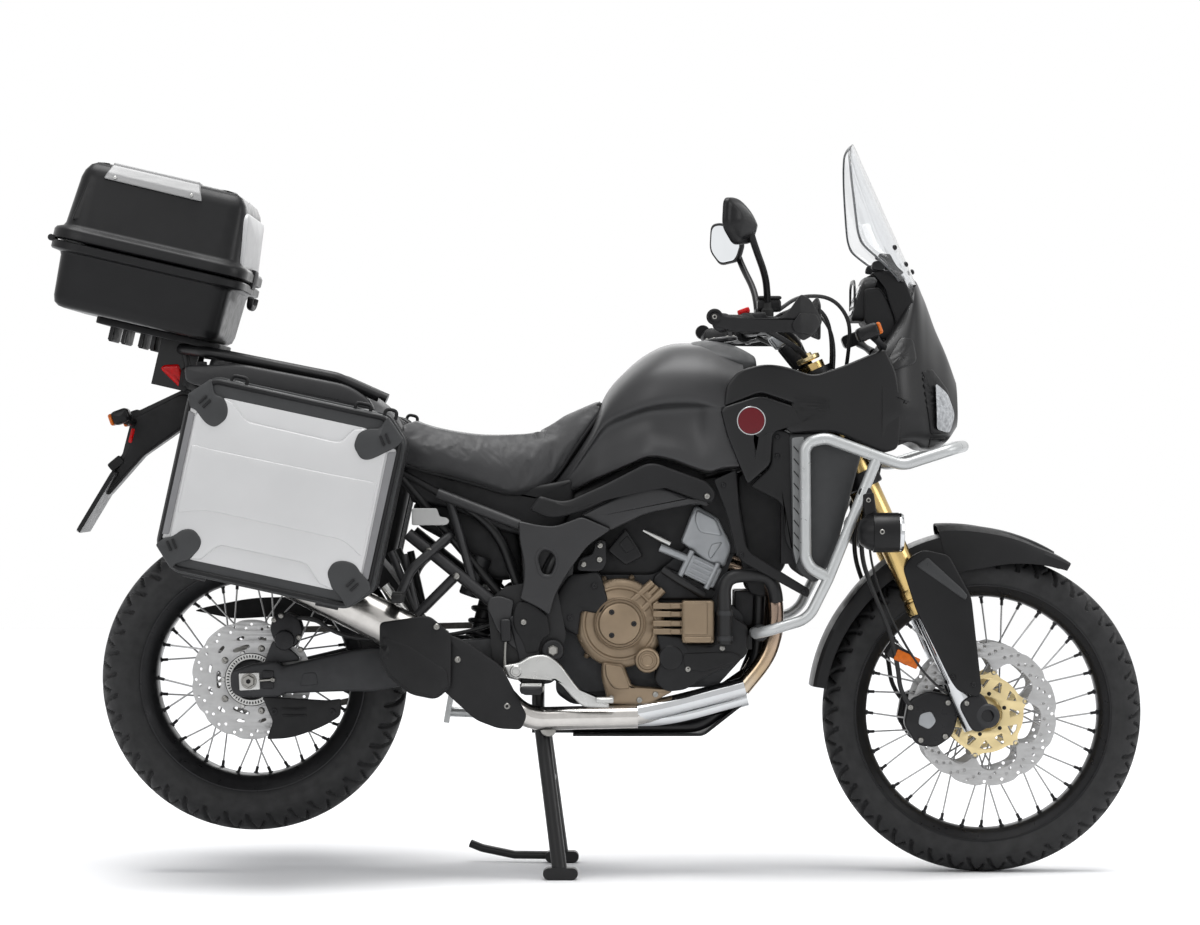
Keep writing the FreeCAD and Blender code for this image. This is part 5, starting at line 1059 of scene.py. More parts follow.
def disc_holes(count, radii, size):
    """Slanted rows of round holes over a disc."""
    holes = []
    for number in range(count):
        for row, radius in enumerate(radii):
            a, b = polar(radius, (number + row * 0.34) * 2 * math.pi / count)
            holes.append(round_hole(a, b, size, 12))
    return holes


def bolt_circle(axle, radius, y, turn):
    """Spots in mm at a radius round an axle and at angles, y mm out from the middle."""
    a, b = np.moveaxis(polar(radius, turn), -1, 0)
    return np.stack([axle[0] / MM + a, 0 * turn + y, axle[2] / MM + b], 1)


front_edge = polar(155.5 - 4.5 * bumps(FULL_TURN, 12, 0.07), FULL_TURN)
front_inner = polar(122 - 27 * bumps(FULL_TURN, 6, 0.15, 0.3), FULL_TURN)[::3]
front_loops = [front_edge, front_inner] + disc_holes(24, (145.5, 137, 128.5), 3.5)
spider_edge = polar(84 + 11 * bumps(FULL_TURN, 6, 0.12, 0.3), FULL_TURN)[::3]
spider_loops = [spider_edge, polar(38, FULL_TURN[::8])]
for number in range(12):
    turn = 0.3 + (number + 0.5) * 2 * math.pi / 12
    spider_loops.append(np.stack([polar(56, turn - 0.17), polar(54, turn), polar(56, turn + 0.17),
        polar(75, turn + 0.04), polar(75, turn - 0.04)] if number % 2
        else [polar(56, turn), polar(74, turn + 0.18), polar(76, turn), polar(74, turn - 0.18)]))
for side in (RIGHT, LEFT):
    tag = SIDE_NAMES[side]
    place = (FRONT_AXLE + (0, side * 0.0665, 0), (1, 0, 0), (0, 0, 1), (0, side, 0))
    pierced(f"front_disc_{tag}", front_loops, place, 5, disc_steel["front"], "front_wheel",
        stands_for=["front_discs"] if side == LEFT else ())
    pierced(f"front_spider_{tag}", spider_loops, place, 7, gold_alloy, "front_wheel", soft=0.8)
    turn = 0.3 + np.arange(6) * math.pi / 3
    fasteners(f"front_bobbins_{tag}", bolt_circle(FRONT_AXLE, 92, side * 62.5, turn), (0, side, 0), 8, 9,
        zinc_steel, "front_wheel")
    fasteners(f"front_disc_bolts_{tag}", bolt_circle(FRONT_AXLE, 44.5, side * 69, turn), (0, side, 0),
        4.6, 4, anodised_black, "front_wheel")

rear_edge = polar(128.5 - 3.6 * bumps(FULL_TURN, 10, 0.09), FULL_TURN)
rear_loops = [rear_edge, polar(57, FULL_TURN[::6])] + disc_holes(20, (118.8, 110.5), 3.2)
rear_loops += [oval_hole(91, (n + 0.5) * 2 * math.pi / 12, 9, 3.6, 0.12) for n in range(12)]
rear_loops += [oval_hole(70, (n + 0.5) * 2 * math.pi / 5, 19, 5, 0) for n in range(5)]
rear_disc_y = low("rear_disc_and_sprocket")[1] + 0.0025
rear_place = (REAR_AXLE + (0, rear_disc_y, 0), (1, 0, 0), (0, 0, 1), (0, -1, 0))
pierced("rear_disc", rear_loops, rear_place, 5, disc_steel["rear"], "rear_wheel",
    stands_for=["rear_disc_and_sprocket"])
tone_loops = [polar(55.5, FULL_TURN[::6]), polar(44, FULL_TURN[::6])]
tone_loops += [oval_hole(50, n * 2 * math.pi / 50, 1.5, 3.2, 0, 8) for n in range(50)]
tone_place = (REAR_AXLE + (0, rear_disc_y - 0.004, 0), (1, 0, 0), (0, 0, 1), (0, -1, 0))
pierced("rear_tone_ring", tone_loops, tone_place, 2, bare_alloy, "rear_wheel", soft=0.1)
turn = np.arange(5) * 2 * math.pi / 5
fasteners("rear_disc_bolts", bolt_circle(REAR_AXLE, 70, rear_disc_y / MM - 1.5, turn), (0, -1, 0), 7.5, 6,
    zinc_steel, "rear_wheel")
fasteners("tone_ring_screws", bolt_circle(REAR_AXLE, 60, rear_disc_y / MM - 4, turn + 0.63), (0, -1, 0),
    5, 3, bare_alloy, "rear_wheel")
print("discs cut")

# %% Rear sprocket
TEETH = 42
tooth = np.linspace(0, 2 * math.pi, TEETH * 8, endpoint=False)
sprocket_loops = [polar(88 + 5.5 * np.clip(np.cos(tooth * TEETH) * 1.3, -1, 1), tooth),
    polar(48, FULL_TURN[::8])]
sprocket_loops += [oval_hole(68, (n + 0.5) * 2 * math.pi / 6, 17, 7, 0) for n in range(6)]
pierced("rear_sprocket", sprocket_loops, (REAR_AXLE + (0, 0.0885, 0), (1, 0, 0), (0, 0, 1), (0, 1, 0)), 6,
    zinc_steel, "rear_wheel", soft=0.5)
fasteners("sprocket_nuts", bolt_circle(REAR_AXLE, 56, 91.5, FULL_TURN[::60]), (0, 1, 0), 7, 6, zinc_steel,
    "rear_wheel")
print("sprocket cut")
# %% [markdown]
# ## Tank, shrouds and nose
# The tank is pressed and welded steel under satin black paint, with a scooped place for each knee,
# and the shrouds and nose are injection moulded shells that hang on the frame with thin, even gaps.
# A freely curved body like this is best described by a few half sections at known stations. A smooth
# curve is passed through them in both directions, so that highlights run without kinks, and smaller
# panels are laid on that skin by reading its width at their own places.

# %% Smooth skins
def curved(points, steps, closed=False):
    """Catmull-Rom curves through points along the first axis, with equal steps between them.

    p(t) = ((2 P1) + (P2 - P0) t + (2 P0 - 5 P1 + 4 P2 - P3) t^2 + (3 P1 - P0 - 3 P2 + P3) t^3) / 2
    """
    points = np.asarray(points, float)
    if closed:
        full = np.concatenate([points[-1:], points, points[:2]])
    else:
        full = np.concatenate([2 * points[:1] - points[1:2], points, 2 * points[-1:] - points[-2:-1]])
    t = np.linspace(0, 1, steps, endpoint=False).reshape((1, steps) + (1,) * (points.ndim - 1))
    p0, p1, p2, p3 = (full[k:len(full) - 3 + k][:, None] for k in range(4))
    curve = ((2 * p1) + (p2 - p0) * t + (2 * p0 - 5 * p1 + 4 * p2 - p3) * t ** 2
        + (3 * p1 - p0 - 3 * p2 + p3) * t ** 3) / 2
    curve = curve.reshape((-1,) + points.shape[1:])
    return curve if closed else np.concatenate([curve, points[-1:]])


def skin_points(rows, along=8, round_steps=5):
    """Points in mm of a body that is the same on both sides, from rows of (x, half section).

    Each half section lists (y, z) from the bottom to the top; its mirror image closes the loop.
    """
    loops = []
    for x, half in rows:
        half = np.array(half, float)
        right = np.column_stack([np.full(len(half), x), -half[:, 0], half[:, 1]])
        left = np.column_stack([np.full(len(half), x), half[:, 0], half[:, 1]])[::-1]
        loops.append(np.vstack([right, left]))
    loops = np.stack(loops)
    dense = curved(loops, along)
    return curved(dense.swapaxes(0, 1), round_steps, closed=True).swapaxes(0, 1)


def stations(table):
    """Rows of x and numbers as the (x, half section) that skin_points takes."""
    return [(row[0], np.reshape(row[1:], (-1, 2))) for row in table]


def skin(name, points, finish, **more):
    """A closed body of loops of points in mm, with a flat cap at each end."""
    rows, count = points.shape[:2]
    return put(name, points * MM, grid(rows, count), finish, caps=end_caps(rows, count), **more)


def hollow(points, wall):
    """An open-backed shell: the loops drawn towards their middles by a wall, then the loops again."""
    middles = points.mean(1, keepdims=True)
    inner = points - unit(points - middles) * wall
    inner[..., 0] = np.minimum(points[..., 0], points[-1, 0, 0] - wall)
    return np.concatenate([inner[::-1], points])


def resting(points, side):
    """How far out a skin's side lies at (x, z): the mean of its 6 nearest points by 1/distance^2."""
    cloud = points.reshape(-1, 3)
    cloud = cloud[cloud[:, 1] * side > 0]

    def lie(a, b):
        """Distance out at (a, b): the near points' own, weighted by 1 / (distance^2 + 4)."""
        spot = np.stack([np.ravel(a), np.ravel(b)], 1)
        gap = ((spot[:, None] - cloud[None, :, [0, 2]]) ** 2).sum(-1)
        near = np.argpartition(gap, 6, axis=1)[:, :6]
        weight = 1 / (np.take_along_axis(gap, near, 1) + 4)
        width = np.abs(cloud[:, 1])[near]
        return ((width * weight).sum(1) / weight.sum(1)).reshape(np.shape(a))
    return lie


# %% Tank
TANK = stations([  # X, then nine points (y, z) from the bottom to the top
    [-108, 24, 812, 58, 812, 72, 816, 76, 820, 76, 824, 76, 828, 66, 832, 40, 836, 12, 837],
    [-67, 40, 816, 92, 818, 106, 826, 106, 838, 106, 850, 108, 862, 98, 874, 60, 884, 16, 888],
    [-20, 40, 840, 118, 843, 131, 856, 124, 886, 122, 912, 130, 928, 114, 942, 64, 953, 16, 957],
    [14, 50, 856, 130, 858, 145, 870, 134, 916, 132, 952, 146, 977, 128, 1006, 70, 1030, 16, 1035],
    [60, 60, 874, 150, 878, 165, 892, 150, 940, 148, 976, 168, 999, 148, 1050, 80, 1080, 18, 1087],
    [104, 70, 893, 166, 896, 181, 910, 160, 958, 158, 992, 184, 1013, 162, 1075, 90, 1112, 18, 1121],
    [150, 70, 886, 168, 890, 183, 906, 163, 952, 161, 996, 190, 1021, 168, 1085, 100, 1129, 18, 1140],
    [200, 70, 868, 170, 872, 184, 890, 168, 948, 166, 997, 192, 1021, 170, 1085, 104, 1131, 18, 1143],
    [232, 70, 860, 172, 864, 186, 884, 180, 948, 182, 996, 192, 1017, 168, 1082, 102, 1128, 18, 1140],
    [262, 70, 868, 172, 872, 186, 890, 187, 950, 188, 992, 190, 1012, 164, 1076, 98, 1122, 18, 1134],
    [306, 70, 872, 172, 876, 184, 892, 186, 950, 186, 988, 186, 1008, 156, 1066, 90, 1106, 18, 1116]])
tank_points = skin_points(TANK)
skin("tank_shell", tank_points, painted_light_tank_finish, stands_for=["fuel_tank"], sharp=50)
panel("tank_top_cover", [(196, -96, 16), (222, -122, 26), (300, -120, 30), (336, -96, 12), (336, 96, 12),
    (300, 120, 30), (222, 122, 26), (196, 96, 16)], ((0, 0, 0), (1, 0, 0), (0, 1, 0), (0, 0, 1)),
    grey_plastic, thick=16, edge=5, step=6, rings=10, lie=lambda a, b: 1150 - np.abs((a - 232) / 104) ** 2
    * 36 - np.abs(b / 120) ** 2.6 * 34)
turned("tank_cap", (0.262, 0, 1.146), (-0.12, 0, 1), [(0, 0), (36, 0), (38, 2), (38, 7), (34, 10),
    (20, 11), (0, 11.5)], anodised_black, sides=64)
cap_turn = np.arange(6) * math.pi / 3
fasteners("tank_cap_screws", np.stack([262 + 29 * np.cos(cap_turn) - 1, 29 * np.sin(cap_turn),
    1156 + 29 * np.cos(cap_turn) * 0.12], 1), (-0.12, 0, 1), 3, 2.4, zinc_steel)
print("tank skinned:", tank_points.shape)

# %% Nose
NOSE = stations([  # X, then nine points (y, z) from the bottom to the top
    [598, 30, 1034, 126, 1012, 186, 936, 196, 968, 197, 1008, 193, 1058, 180, 1094, 152, 1126, 30, 1112],
    [640, 30, 1000, 122, 976, 174, 930, 186, 968, 191, 1008, 182, 1068, 165, 1114, 112, 1188, 26, 1196],
    [676, 30, 934, 116, 922, 150, 928, 163, 968, 167, 1004, 152, 1078, 130, 1148, 84, 1244, 20, 1276],
    [700, 30, 913, 102, 912, 128, 928, 141, 966, 143, 1000, 128, 1070, 104, 1130, 62, 1202, 16, 1240],
    [725, 26, 917, 82, 917, 106, 933, 118, 965, 119, 995, 105, 1050, 80, 1098, 44, 1148, 12, 1174],
    [750, 22, 934, 56, 935, 78, 948, 88, 970, 88, 990, 79, 1030, 60, 1068, 32, 1104, 8, 1118],
    [771, 12, 962, 32, 963, 46, 971, 54, 983, 54, 996, 48, 1016, 38, 1036, 20, 1054, 6, 1060]])
nose_points = skin_points(NOSE)
skin("nose_shell", hollow(nose_points, 7), body_paint, stands_for=["nose_fairing"], sharp=50)
for side in (RIGHT, LEFT):
    tag = SIDE_NAMES[side]
    rest = resting(nose_points, side)
    flush = side_place(0, side)
    panel(f"nose_brow_{tag}", [(606, 1098, 6), (640, 1154, 8), (668, 1150, 10), (676, 1100, 12),
        (650, 1088, 14), (604, 1078, 8)], flush, body_paint, thick=10, edge=4, crown=3, rings=8,
        lie=lambda a, b: rest(a, b) + 4)
    panel(f"lamp_surround_{tag}", [(686, 1080, 6), (712, 1086, 6), (750, 1038, 10), (752, 946, 8),
        (706, 944, 8)], flush, smooth_plastic, thick=8, edge=3, rings=8, lie=lambda a, b: rest(a, b) + 3)
    panel(f"lamp_chin_{tag}", [(704, 938, 4), (744, 940, 6), (728, 914, 6), (702, 912, 4)], flush,
        smooth_plastic, thick=8, edge=3, rings=5, lie=lambda a, b: rest(a, b) + 3)
    panel(f"headlamp_bowl_{tag}", [(719, 1052, 8), (744, 1030, 12), (760, 988, 14), (748, 951, 10),
        (722, 959, 8)], flush, lamp_mirror, thick=6, edge=2, rings=8, step=3,
        lie=lambda a, b: rest(a, b) + 8)
    panel(f"headlamp_lens_{tag}", [(717, 1056, 8), (746, 1033, 12), (763, 988, 14), (750, 948, 10),
        (719, 956, 8)], flush, lens_grey_painted_reflection, thick=3, edge=2, crown=3, rings=10, step=3,
        lie=lambda a, b: rest(a, b) + 13, stands_for=["headlamps"] if side == LEFT else ())
    panel(f"nose_vent_{tag}", [(584, 1030, 6), (604, 1036, 6), (660, 1014, 5), (628, 1012, 14),
        (664, 944, 8), (668, 934, 4), (628, 920, 6), (598, 976, 20)], flush, grained_plastic, thick=6,
        edge=2, rings=8, lie=lambda a, b: rest(a, b) + 2.5)
print("nose skinned:", nose_points.shape)


# %% Shrouds
def shroud_lie(a, b):
    """The shroud's bulge in mm: it bows outwards round its middle and in towards the tank."""
    return 5 - ((a - 440) / 190) ** 2 * 9 - ((b - 1000) / 130) ** 2 * 5


pair_panel("shroud_band", [(262, 1002, 8), (268, 1050, 8), (292, 1080, 16), (346, 1095, 24),
    (392, 1090, 24), (452, 1069, 20), (520, 1092, 30), (604, 1128, 10), (628, 1080, 20), (640, 1000, 30),
    (632, 914, 14), (598, 905, 8), (500, 950, 20), (402, 948, 8), (390, 962, 8), (410, 972, 6),
    (480, 987, 6), (340, 1034, 12)], 196, body_paint, node="side_shrouds", thick=16, edge=5,
    lie=shroud_lie, rings=9, spine=((330, 1062), (590, 1000)), step=5)
pair_panel("badge_panel", [(255, 996, 6), (264, 1004, 10), (339, 1028, 18), (472, 985, 5), (404, 972, 10),
    (366, 946, 12), (362, 882, 12), (312, 838, 8), (268, 944, 16)], 202, body_paint, thick=18, edge=5,
    crown=1.5, spine=((300, 985), (330, 900)), lie=lambda a, b: 1 - ((a - 320) / 150) ** 2 * 6, rings=7)
pair(turned, "badge_rim", (0.320, 0.2030, 0.974), (0, 1, 0), [(0, -4), (30, -4), (31, 1.2), (30, 2.4),
    (28.4, 2.4), (28, 1.4), (0, 1.4)], polished, sides=64)
pair(turned, "badge_face", (0.320, 0.2044, 0.974), (0, 1, 0), [(0, -3), (28, -3), (28, 0), (20, 0.9),
    (0, 1.3)], maroon_enamel, sides=64)
pair_panel("shroud_throat", [(364, 960, 10), (400, 950, 6), (404, 944, 4), (410, 690, 12), (392, 720, 14),
    (388, 800, 20), (318, 836, 10), (362, 878, 14)], 190, grained_plastic, thick=14, edge=4, rings=4)
pair_panel("radiator_shroud", [(400, 944, 6), (470, 950, 20), (556, 908, 12), (498, 690, 16),
    (458, 626, 18), (420, 652, 12), (408, 690, 10)], 194, grey_plastic, thick=18, edge=6, crown=5,
    rings=8, spine=((470, 900), (450, 700)), lie=lambda a, b: -((a - 440) / 110) ** 2 * 12)
pair_panel("radiator_strip", [(406, 938, 4), (432, 941, 4), (428, 700, 6), (416, 668, 6), (409, 700, 6)],
    198.5, pale_grey, thick=8, edge=2, rings=4)
pair_panel("shroud_lower_arm", [(240, 848, 6), (290, 871, 6), (296, 780, 20), (312, 698, 20),
    (446, 616, 6), (441, 598, 5), (292, 680, 20), (268, 780, 20)], 184, grained_plastic, thick=16, edge=4,
    rings=4, spine=((270, 840), (300, 700)))
pair(fasteners, "shroud_screws", [(262, 184.6, 838), (300, 184.6, 690), (432, 184.6, 612),
    (376, 190.6, 940), (376, 190.6, 900)], (0, 1, 0), 5.5, 3, anodised_black)
for side in (RIGHT, LEFT):
    tag = SIDE_NAMES[side]
    ribs = np.arange(9)
    starts = np.stack([np.full(9, 0.410), np.full(9, side * 0.1985), 0.920 - ribs * 0.026], 1)
    struts(f"radiator_strip_veins_{tag}", starts, starts + (0.018, side * 0.0006, -0.022), 1.1,
        grained_plastic, sides=8)
print("shrouds hung")

# %% [markdown]
# ## Windscreen
# A screen is cut from flat polycarbonate and bent hot, so it curves round the rider in one direction
# only. Here a width and two depths are given at a few heights, and each row is an arc between its
# edges. The sheet has a true thickness, because the bright line along its rim comes from there.

# %% Windscreen
SCREEN = np.array([  # height, middle x, edge x, half width
    (1573, 547, 545, 14), (1569, 549, 541, 46), (1556, 555, 535, 78), (1530, 566, 535, 103),
    (1490, 584, 537, 128), (1443, 605, 541, 148), (1400, 624, 545, 162), (1372, 637, 549, 167),
    (1347, 648, 560, 166), (1318, 661, 596, 148), (1290, 673, 628, 118), (1268, 683, 646, 92)], float)
rows = curved(SCREEN, 6)
share = np.linspace(-1, 1, 41)
sheet = np.stack([rows[:, None, 1] - (rows[:, None, 1] - rows[:, None, 2]) * np.abs(share) ** 2.2,
    rows[:, None, 3] * np.sin(share * 1.35) / math.sin(1.35), rows[:, None, 0] + 0 * share], -1) * MM
down, sideways = np.gradient(sheet, axis=0), np.gradient(sheet, axis=1)
normal = unit(np.cross(sideways, down))
outside, inside = sheet + normal * 0.0022, sheet - normal * 0.0022
loop = np.concatenate([outside, sheet[:, -1:] + unit(sideways[:, -1:]) * 0.0022, inside[:, ::-1],
    sheet[:, :1] - unit(sideways[:, :1]) * 0.0022], 1)
put("screen_sheet", loop, grid(*loop.shape[:2]), screen_clear, sharp=60, caps=end_caps(*loop.shape[:2]),
    stands_for=["windscreen"])
spots = [(x, side * y, z) for side in (RIGHT, LEFT) for x, y, z in ((672, 60, 1296), (655, 104, 1310),
    (628, 140, 1344))]
fasteners("screen_screws", spots, [(0.8, s[1] / 200, 0.35) for s in spots], 6, 4, anodised_black)
for side, column in ((RIGHT, 0), (LEFT, -1)):
    tag = SIDE_NAMES[side]
    edge = sheet[:, column] / MM
    edge = edge if edge[0, 1] * side > 0 else sheet[:, -1 - column] / MM
    tube(f"screen_edge_{tag}", edge[::4], 2.4, screen_rim, sides=8)
    panel(f"screen_arm_{tag}", [(580, 1291, 5), (600, 1300, 6), (640, 1297, 8), (658, 1268, 14),
        (674, 1228, 20), (690, 1180, 20), (690, 1128, 14), (646, 1124, 14), (628, 1160, 14),
        (634, 1188, 14), (620, 1224, 20), (607, 1272, 10)], side_place(98, side), smooth_plastic,
        thick=14, edge=4, crown=1)
    panel(f"screen_clamp_{tag}", [(581, 1300, 3), (584, 1316, 6), (600, 1320, 4), (612, 1306, 4),
        (606, 1296, 4)], side_place(104, side), black_cast, thick=20, edge=3)
    panel(f"screen_slide_{tag}", [(600, 1330, 3), (602, 1338, 3), (626, 1336, 3), (640, 1310, 5),
        (656, 1296, 4), (644, 1288, 5), (622, 1306, 6), (612, 1326, 4)], side_place(66, side), black_cast,
        thick=12, edge=3)
panel("dash_bracket", [(566, 1190, 6), (566, 1258, 8), (600, 1262, 8), (622, 1226, 14), (636, 1186, 10),
    (630, 1150, 14), (596, 1150, 14)], 92, grained_plastic, thick=184, edge=5)
print("screen bent:", sheet.shape)
# %% [markdown]
# ## Frame covers
# Under the tank run a soft-edged trim, the painted steel beam, and a moulded cover in the shape of a
# Y that hides the joint of beam, seat rail and pivot plate. They are moulded or pressed sheets, a
# few millimetres apart, so each is its own panel with rounded edges. The cover's window is a true
# hole, through which the dark inside shows.

# %% Beam, trim and covers
COVER_LINE = [(-173, 762, 6), (-132, 753, 20), (-96, 750, 14), (-62, 762, 14), (-39, 771, 10),
    (24, 744, 6), (2, 729, 14), (-26, 710, 16), (-70, 651, 30), (-96, 605, 20), (-107, 562, 4),
    (-137, 582, 14), (-170, 597, 4), (-162, 630, 16), (-160, 670, 24), (-171, 720, 14)]
WINDOW_LINE = [(-134, 684, 10), (-122, 704, 10), (-98, 696, 12), (-92, 674, 12), (-104, 645, 10),
    (-124, 648, 10)]
TRIM_LINE = [(-128, 815, 6), (-76, 800, 24), (7, 837, 20), (98, 884, 16), (120, 884, 12), (228, 845, 10),
    (247, 820, 12), (240, 799, 10), (205, 806, 6), (166, 821, 8), (107, 842, 12), (85, 838, 12),
    (-37, 782, 14), (-85, 769, 12), (-112, 768, 12), (-150, 785, 6)]
BEAM_LINE = [(-41, 774, 6), (85, 838, 14), (107, 842, 10), (170, 819, 8), (236, 796, 8), (195, 797, 10),
    (97, 777, 20), (22, 741, 6)]
pair_panel("beam_trim", TRIM_LINE, 190, grained_plastic, node="side_covers", thick=16, edge=6, crown=2,
    spine=((-60, 790), (180, 840)))
pair_panel("beam_face", BEAM_LINE, 180, dark_satin, thick=24, edge=6, crown=2,
    spine=((20, 775), (180, 810)))
pair_panel("window_back", [(-170, 724, 10), (-50, 724, 10), (-62, 600, 14), (-160, 590, 14)], 150,
    frame_paint, thick=12, edge=3)
pair_panel("pivot_cover", [(-178, 586, 6), (-160, 594, 14), (-136, 582, 10), (-112, 562, 8),
    (-105, 520, 8), (-124, 510, 10), (-130, 482, 8), (-158, 478, 6), (-164, 502, 14), (-186, 538, 20),
    (-185, 564, 10)], 186, grained_plastic, thick=16, edge=4, crown=2)
pair_panel("pivot_rear_plate", [(-237, 598, 8), (-214, 603, 10), (-182, 592, 6), (-188, 560, 14),
    (-186, 536, 14), (-166, 506, 14), (-160, 474, 6), (-194, 500, 10), (-220, 530, 14), (-230, 556, 10),
    (-240, 576, 10)], 180, dark_satin, thick=16, edge=3)
pair(turned, "pivot_boss", (-0.1, 0.168, 0.487), (0, 1, 0), [(0, -6), (23, -6), (24, 12), (22, 18),
    (18, 20), (16, 19), (0, 18.5)], black_cast, sides=48)
pair(fasteners, "frame_cover_bolts", [(227, 191, 814), (-162, 187.5, 547), (0, 152, 709), (-1, 152, 679),
    (-35, 152, 669)], (0, 1, 0), 7, 5, zinc_steel)
pair_panel("engine_hanger", [(-50, 655, 10), (-46, 682, 12), (-14, 690, 14), (-12, 716, 12),
    (12, 722, 10), (14, 668, 12), (0, 652, 14)], 152, black_cast, thick=40, edge=2.5)
pair(turned, "swingarm_nut", (-0.1, 0.186, 0.487), (0, 1, 0), [(0, -2), (11, -2), (12, 3), (9, 6),
    (0, 6)], zinc_steel, sides=6)
for side in (RIGHT, LEFT):
    tag = SIDE_NAMES[side]
    pierced(f"frame_cover_{tag}", [traced(COVER_LINE, 5), traced(WINDOW_LINE, 4)], side_place(184, side),
        20, dark_satin, soft=4)
    rim(f"frame_cover_lip_{tag}", WINDOW_LINE, side_place(184, side),
        [(-7, 8), (-5, 11), (-1, 11.6), (1.5, 9), (1.5, 0), (-7, 0)], dark_satin, step=4)
print("frame covers fitted")

# %% [markdown]
# ## Engine
# The crankcase and the covers are pressure die cast aluminium alloy. The clutch cover, the sump and
# the water pump are painted bronze, other covers are black, and the cylinder head is left grey.
# Castings have drafted walls, rounded rims and round bosses for screws, and their outlines follow
# gasket faces. Each cover is therefore turned or a thick panel, standing on the crankcase.

# %% Right side covers
clutch_spot = np.array([0.042, -0.098, 0.543])
turned("clutch_cover", clutch_spot, (0, -1, 0), [(0, -4), (92, -4), (95, 10), (96, 30), (94, 42),
    (88, 48), (80, 50), (79, 53), (76, 54), (74, 53), (72, 50), (60, 52), (56, 55), (55, 60), (53, 62),
    (51, 61), (50, 58), (46, 58), (45, 64), (43, 69), (39, 71), (20, 72), (0, 72.5)], bronze_paint,
    sides=96, stands_for=["engine_covers"])
rib_turn = np.radians([100, 140, 205, 235, 262, 290, 318, 345])
ways = np.stack([np.cos(rib_turn), 0 * rib_turn, np.sin(rib_turn)], 1)
struts("clutch_cover_ribs", clutch_spot + ways * 0.052 + (0, -0.050, 0),
    clutch_spot + ways * 0.090 + (0, -0.044, 0), 3.2, bronze_paint)
three = np.radians([125, 0, 235])
fasteners("clutch_cap_screws", np.stack([42 + 30 * np.cos(three), 0 * three - 168.8,
    543 + 30 * np.sin(three)], 1), (0, -1, 0), 6, 3.4, black_cast)
rim_turn = np.radians([40, 75, 110, 150, 190, 225, 262, 300, 335])
spots = np.stack([42 + 99 * np.cos(rim_turn), 0 * rim_turn - 108, 543 + 99 * np.sin(rim_turn)], 1)
fasteners("clutch_cover_bolts", spots, (0, -1, 0), 7, 12, bronze_paint)
for number, route in enumerate([[(62, -146, 586), (112, -140, 630)], [(84, -146, 566), (134, -140, 614)],
        [(74, -142, 574), (122, -137, 621)]]):
    tube(f"clutch_arm_{number}", route, 8.5 - 1.5 * (number == 2), bronze_paint, step=4)
for number, z in enumerate((580, 563, 543, 526)):
    panel(f"pump_rib_{number}", [(112, z - 6.5, 2), (180, z - 6.5, 2), (180, z + 6.5, 2),
        (112, z + 6.5, 2)], 160, bronze_paint, thick=60, edge=3)
    panel(f"pump_rib_step_{number}", [(150, z - 5, 2), (172, z - 5, 2), (172, z + 5, 2), (150, z + 5, 2)],
        164, bronze_paint, thick=10, edge=2)
panel("pump_housing", [(174, 502, 6), (243, 502, 6), (243, 592, 6), (174, 592, 6)], 172, bronze_paint,
    thick=72, edge=5, crown=1.5)
panel("pump_housing_face", [(178, 520, 3), (228, 520, 3), (228, 588, 3), (178, 588, 3)], 176,
    bronze_paint, thick=8, edge=2)
panel("pump_housing_foot", [(180, 503, 6), (236, 503, 6), (240, 516, 3), (176, 516, 3)], 177,
    bronze_paint, thick=10, edge=3)
turned("filter_cap", (0.101, -0.1, 0.465), (0, -1, 0), [(0, 0), (27, 0), (27, 58), (25, 64), (21, 66),
    (19, 63), (15, 63), (14, 66), (12, 67), (10, 65), (0, 65)], bronze_paint, sides=64)
panel("sump_cover", [(4, 462, 8), (50, 458, 6), (68, 409, 8), (117, 405, 8), (158, 399, 10),
    (98, 367, 14), (18, 370, 10), (2, 430, 14)], 150, bronze_paint, thick=50, edge=8, crown=2)
panel("sump_face", [(10, 458, 6), (47, 452, 4), (64, 404, 6), (28, 402, 14), (12, 430, 8)], 156,
    bronze_paint, thick=10, edge=4)
panel("front_cover", [(120, 520, 4), (174, 514, 8), (184, 500, 6), (242, 500, 6), (247, 566, 6),
    (279, 568, 8), (286, 556, 8), (315, 538, 10), (313, 476, 12), (290, 458, 12), (220, 428, 10),
    (182, 402, 12), (140, 397, 14), (114, 422, 10), (130, 474, 12)], 158, grained_plastic, thick=60,
    edge=6, crown=2, spine=((150, 440), (285, 520)))
panel("front_cover_face", [(176, 480, 10), (282, 484, 10), (304, 470, 8), (288, 462, 8), (222, 440, 10),
    (180, 446, 10)], 162, grained_plastic, thick=9, edge=3)
turned("front_cover_boss", (0.151, -0.154, 0.470), (0, -1, 0), [(0, -4), (27, -4), (27, 5), (24, 8),
    (22, 7), (0, 6)], grained_plastic, sides=48)
fasteners("front_cover_screws", [(260, -160, 491), (187, -160, 446), (24, -151, 384), (84, -151, 380),
    (118, -150, 392)], (0, -1, 0), 6.5, 4, zinc_steel)
panel("sprocket_guard", [(-66, 646, 10), (-3, 653, 8), (4, 640, 8), (18, 588, 8), (2, 563, 6),
    (-40, 570, 8), (-47, 516, 6), (-76, 530, 14), (-92, 556, 14), (-97, 584, 16), (-90, 612, 16)], 158,
    grained_plastic, thick=60, edge=7, crown=4, spine=((-70, 560), (-20, 620)))
fasteners("sprocket_guard_screws", [(-12, -162, 623), (-64, -162, 555)], (0, -1, 0), 7, 4, black_cast)
print("right engine covers cast")

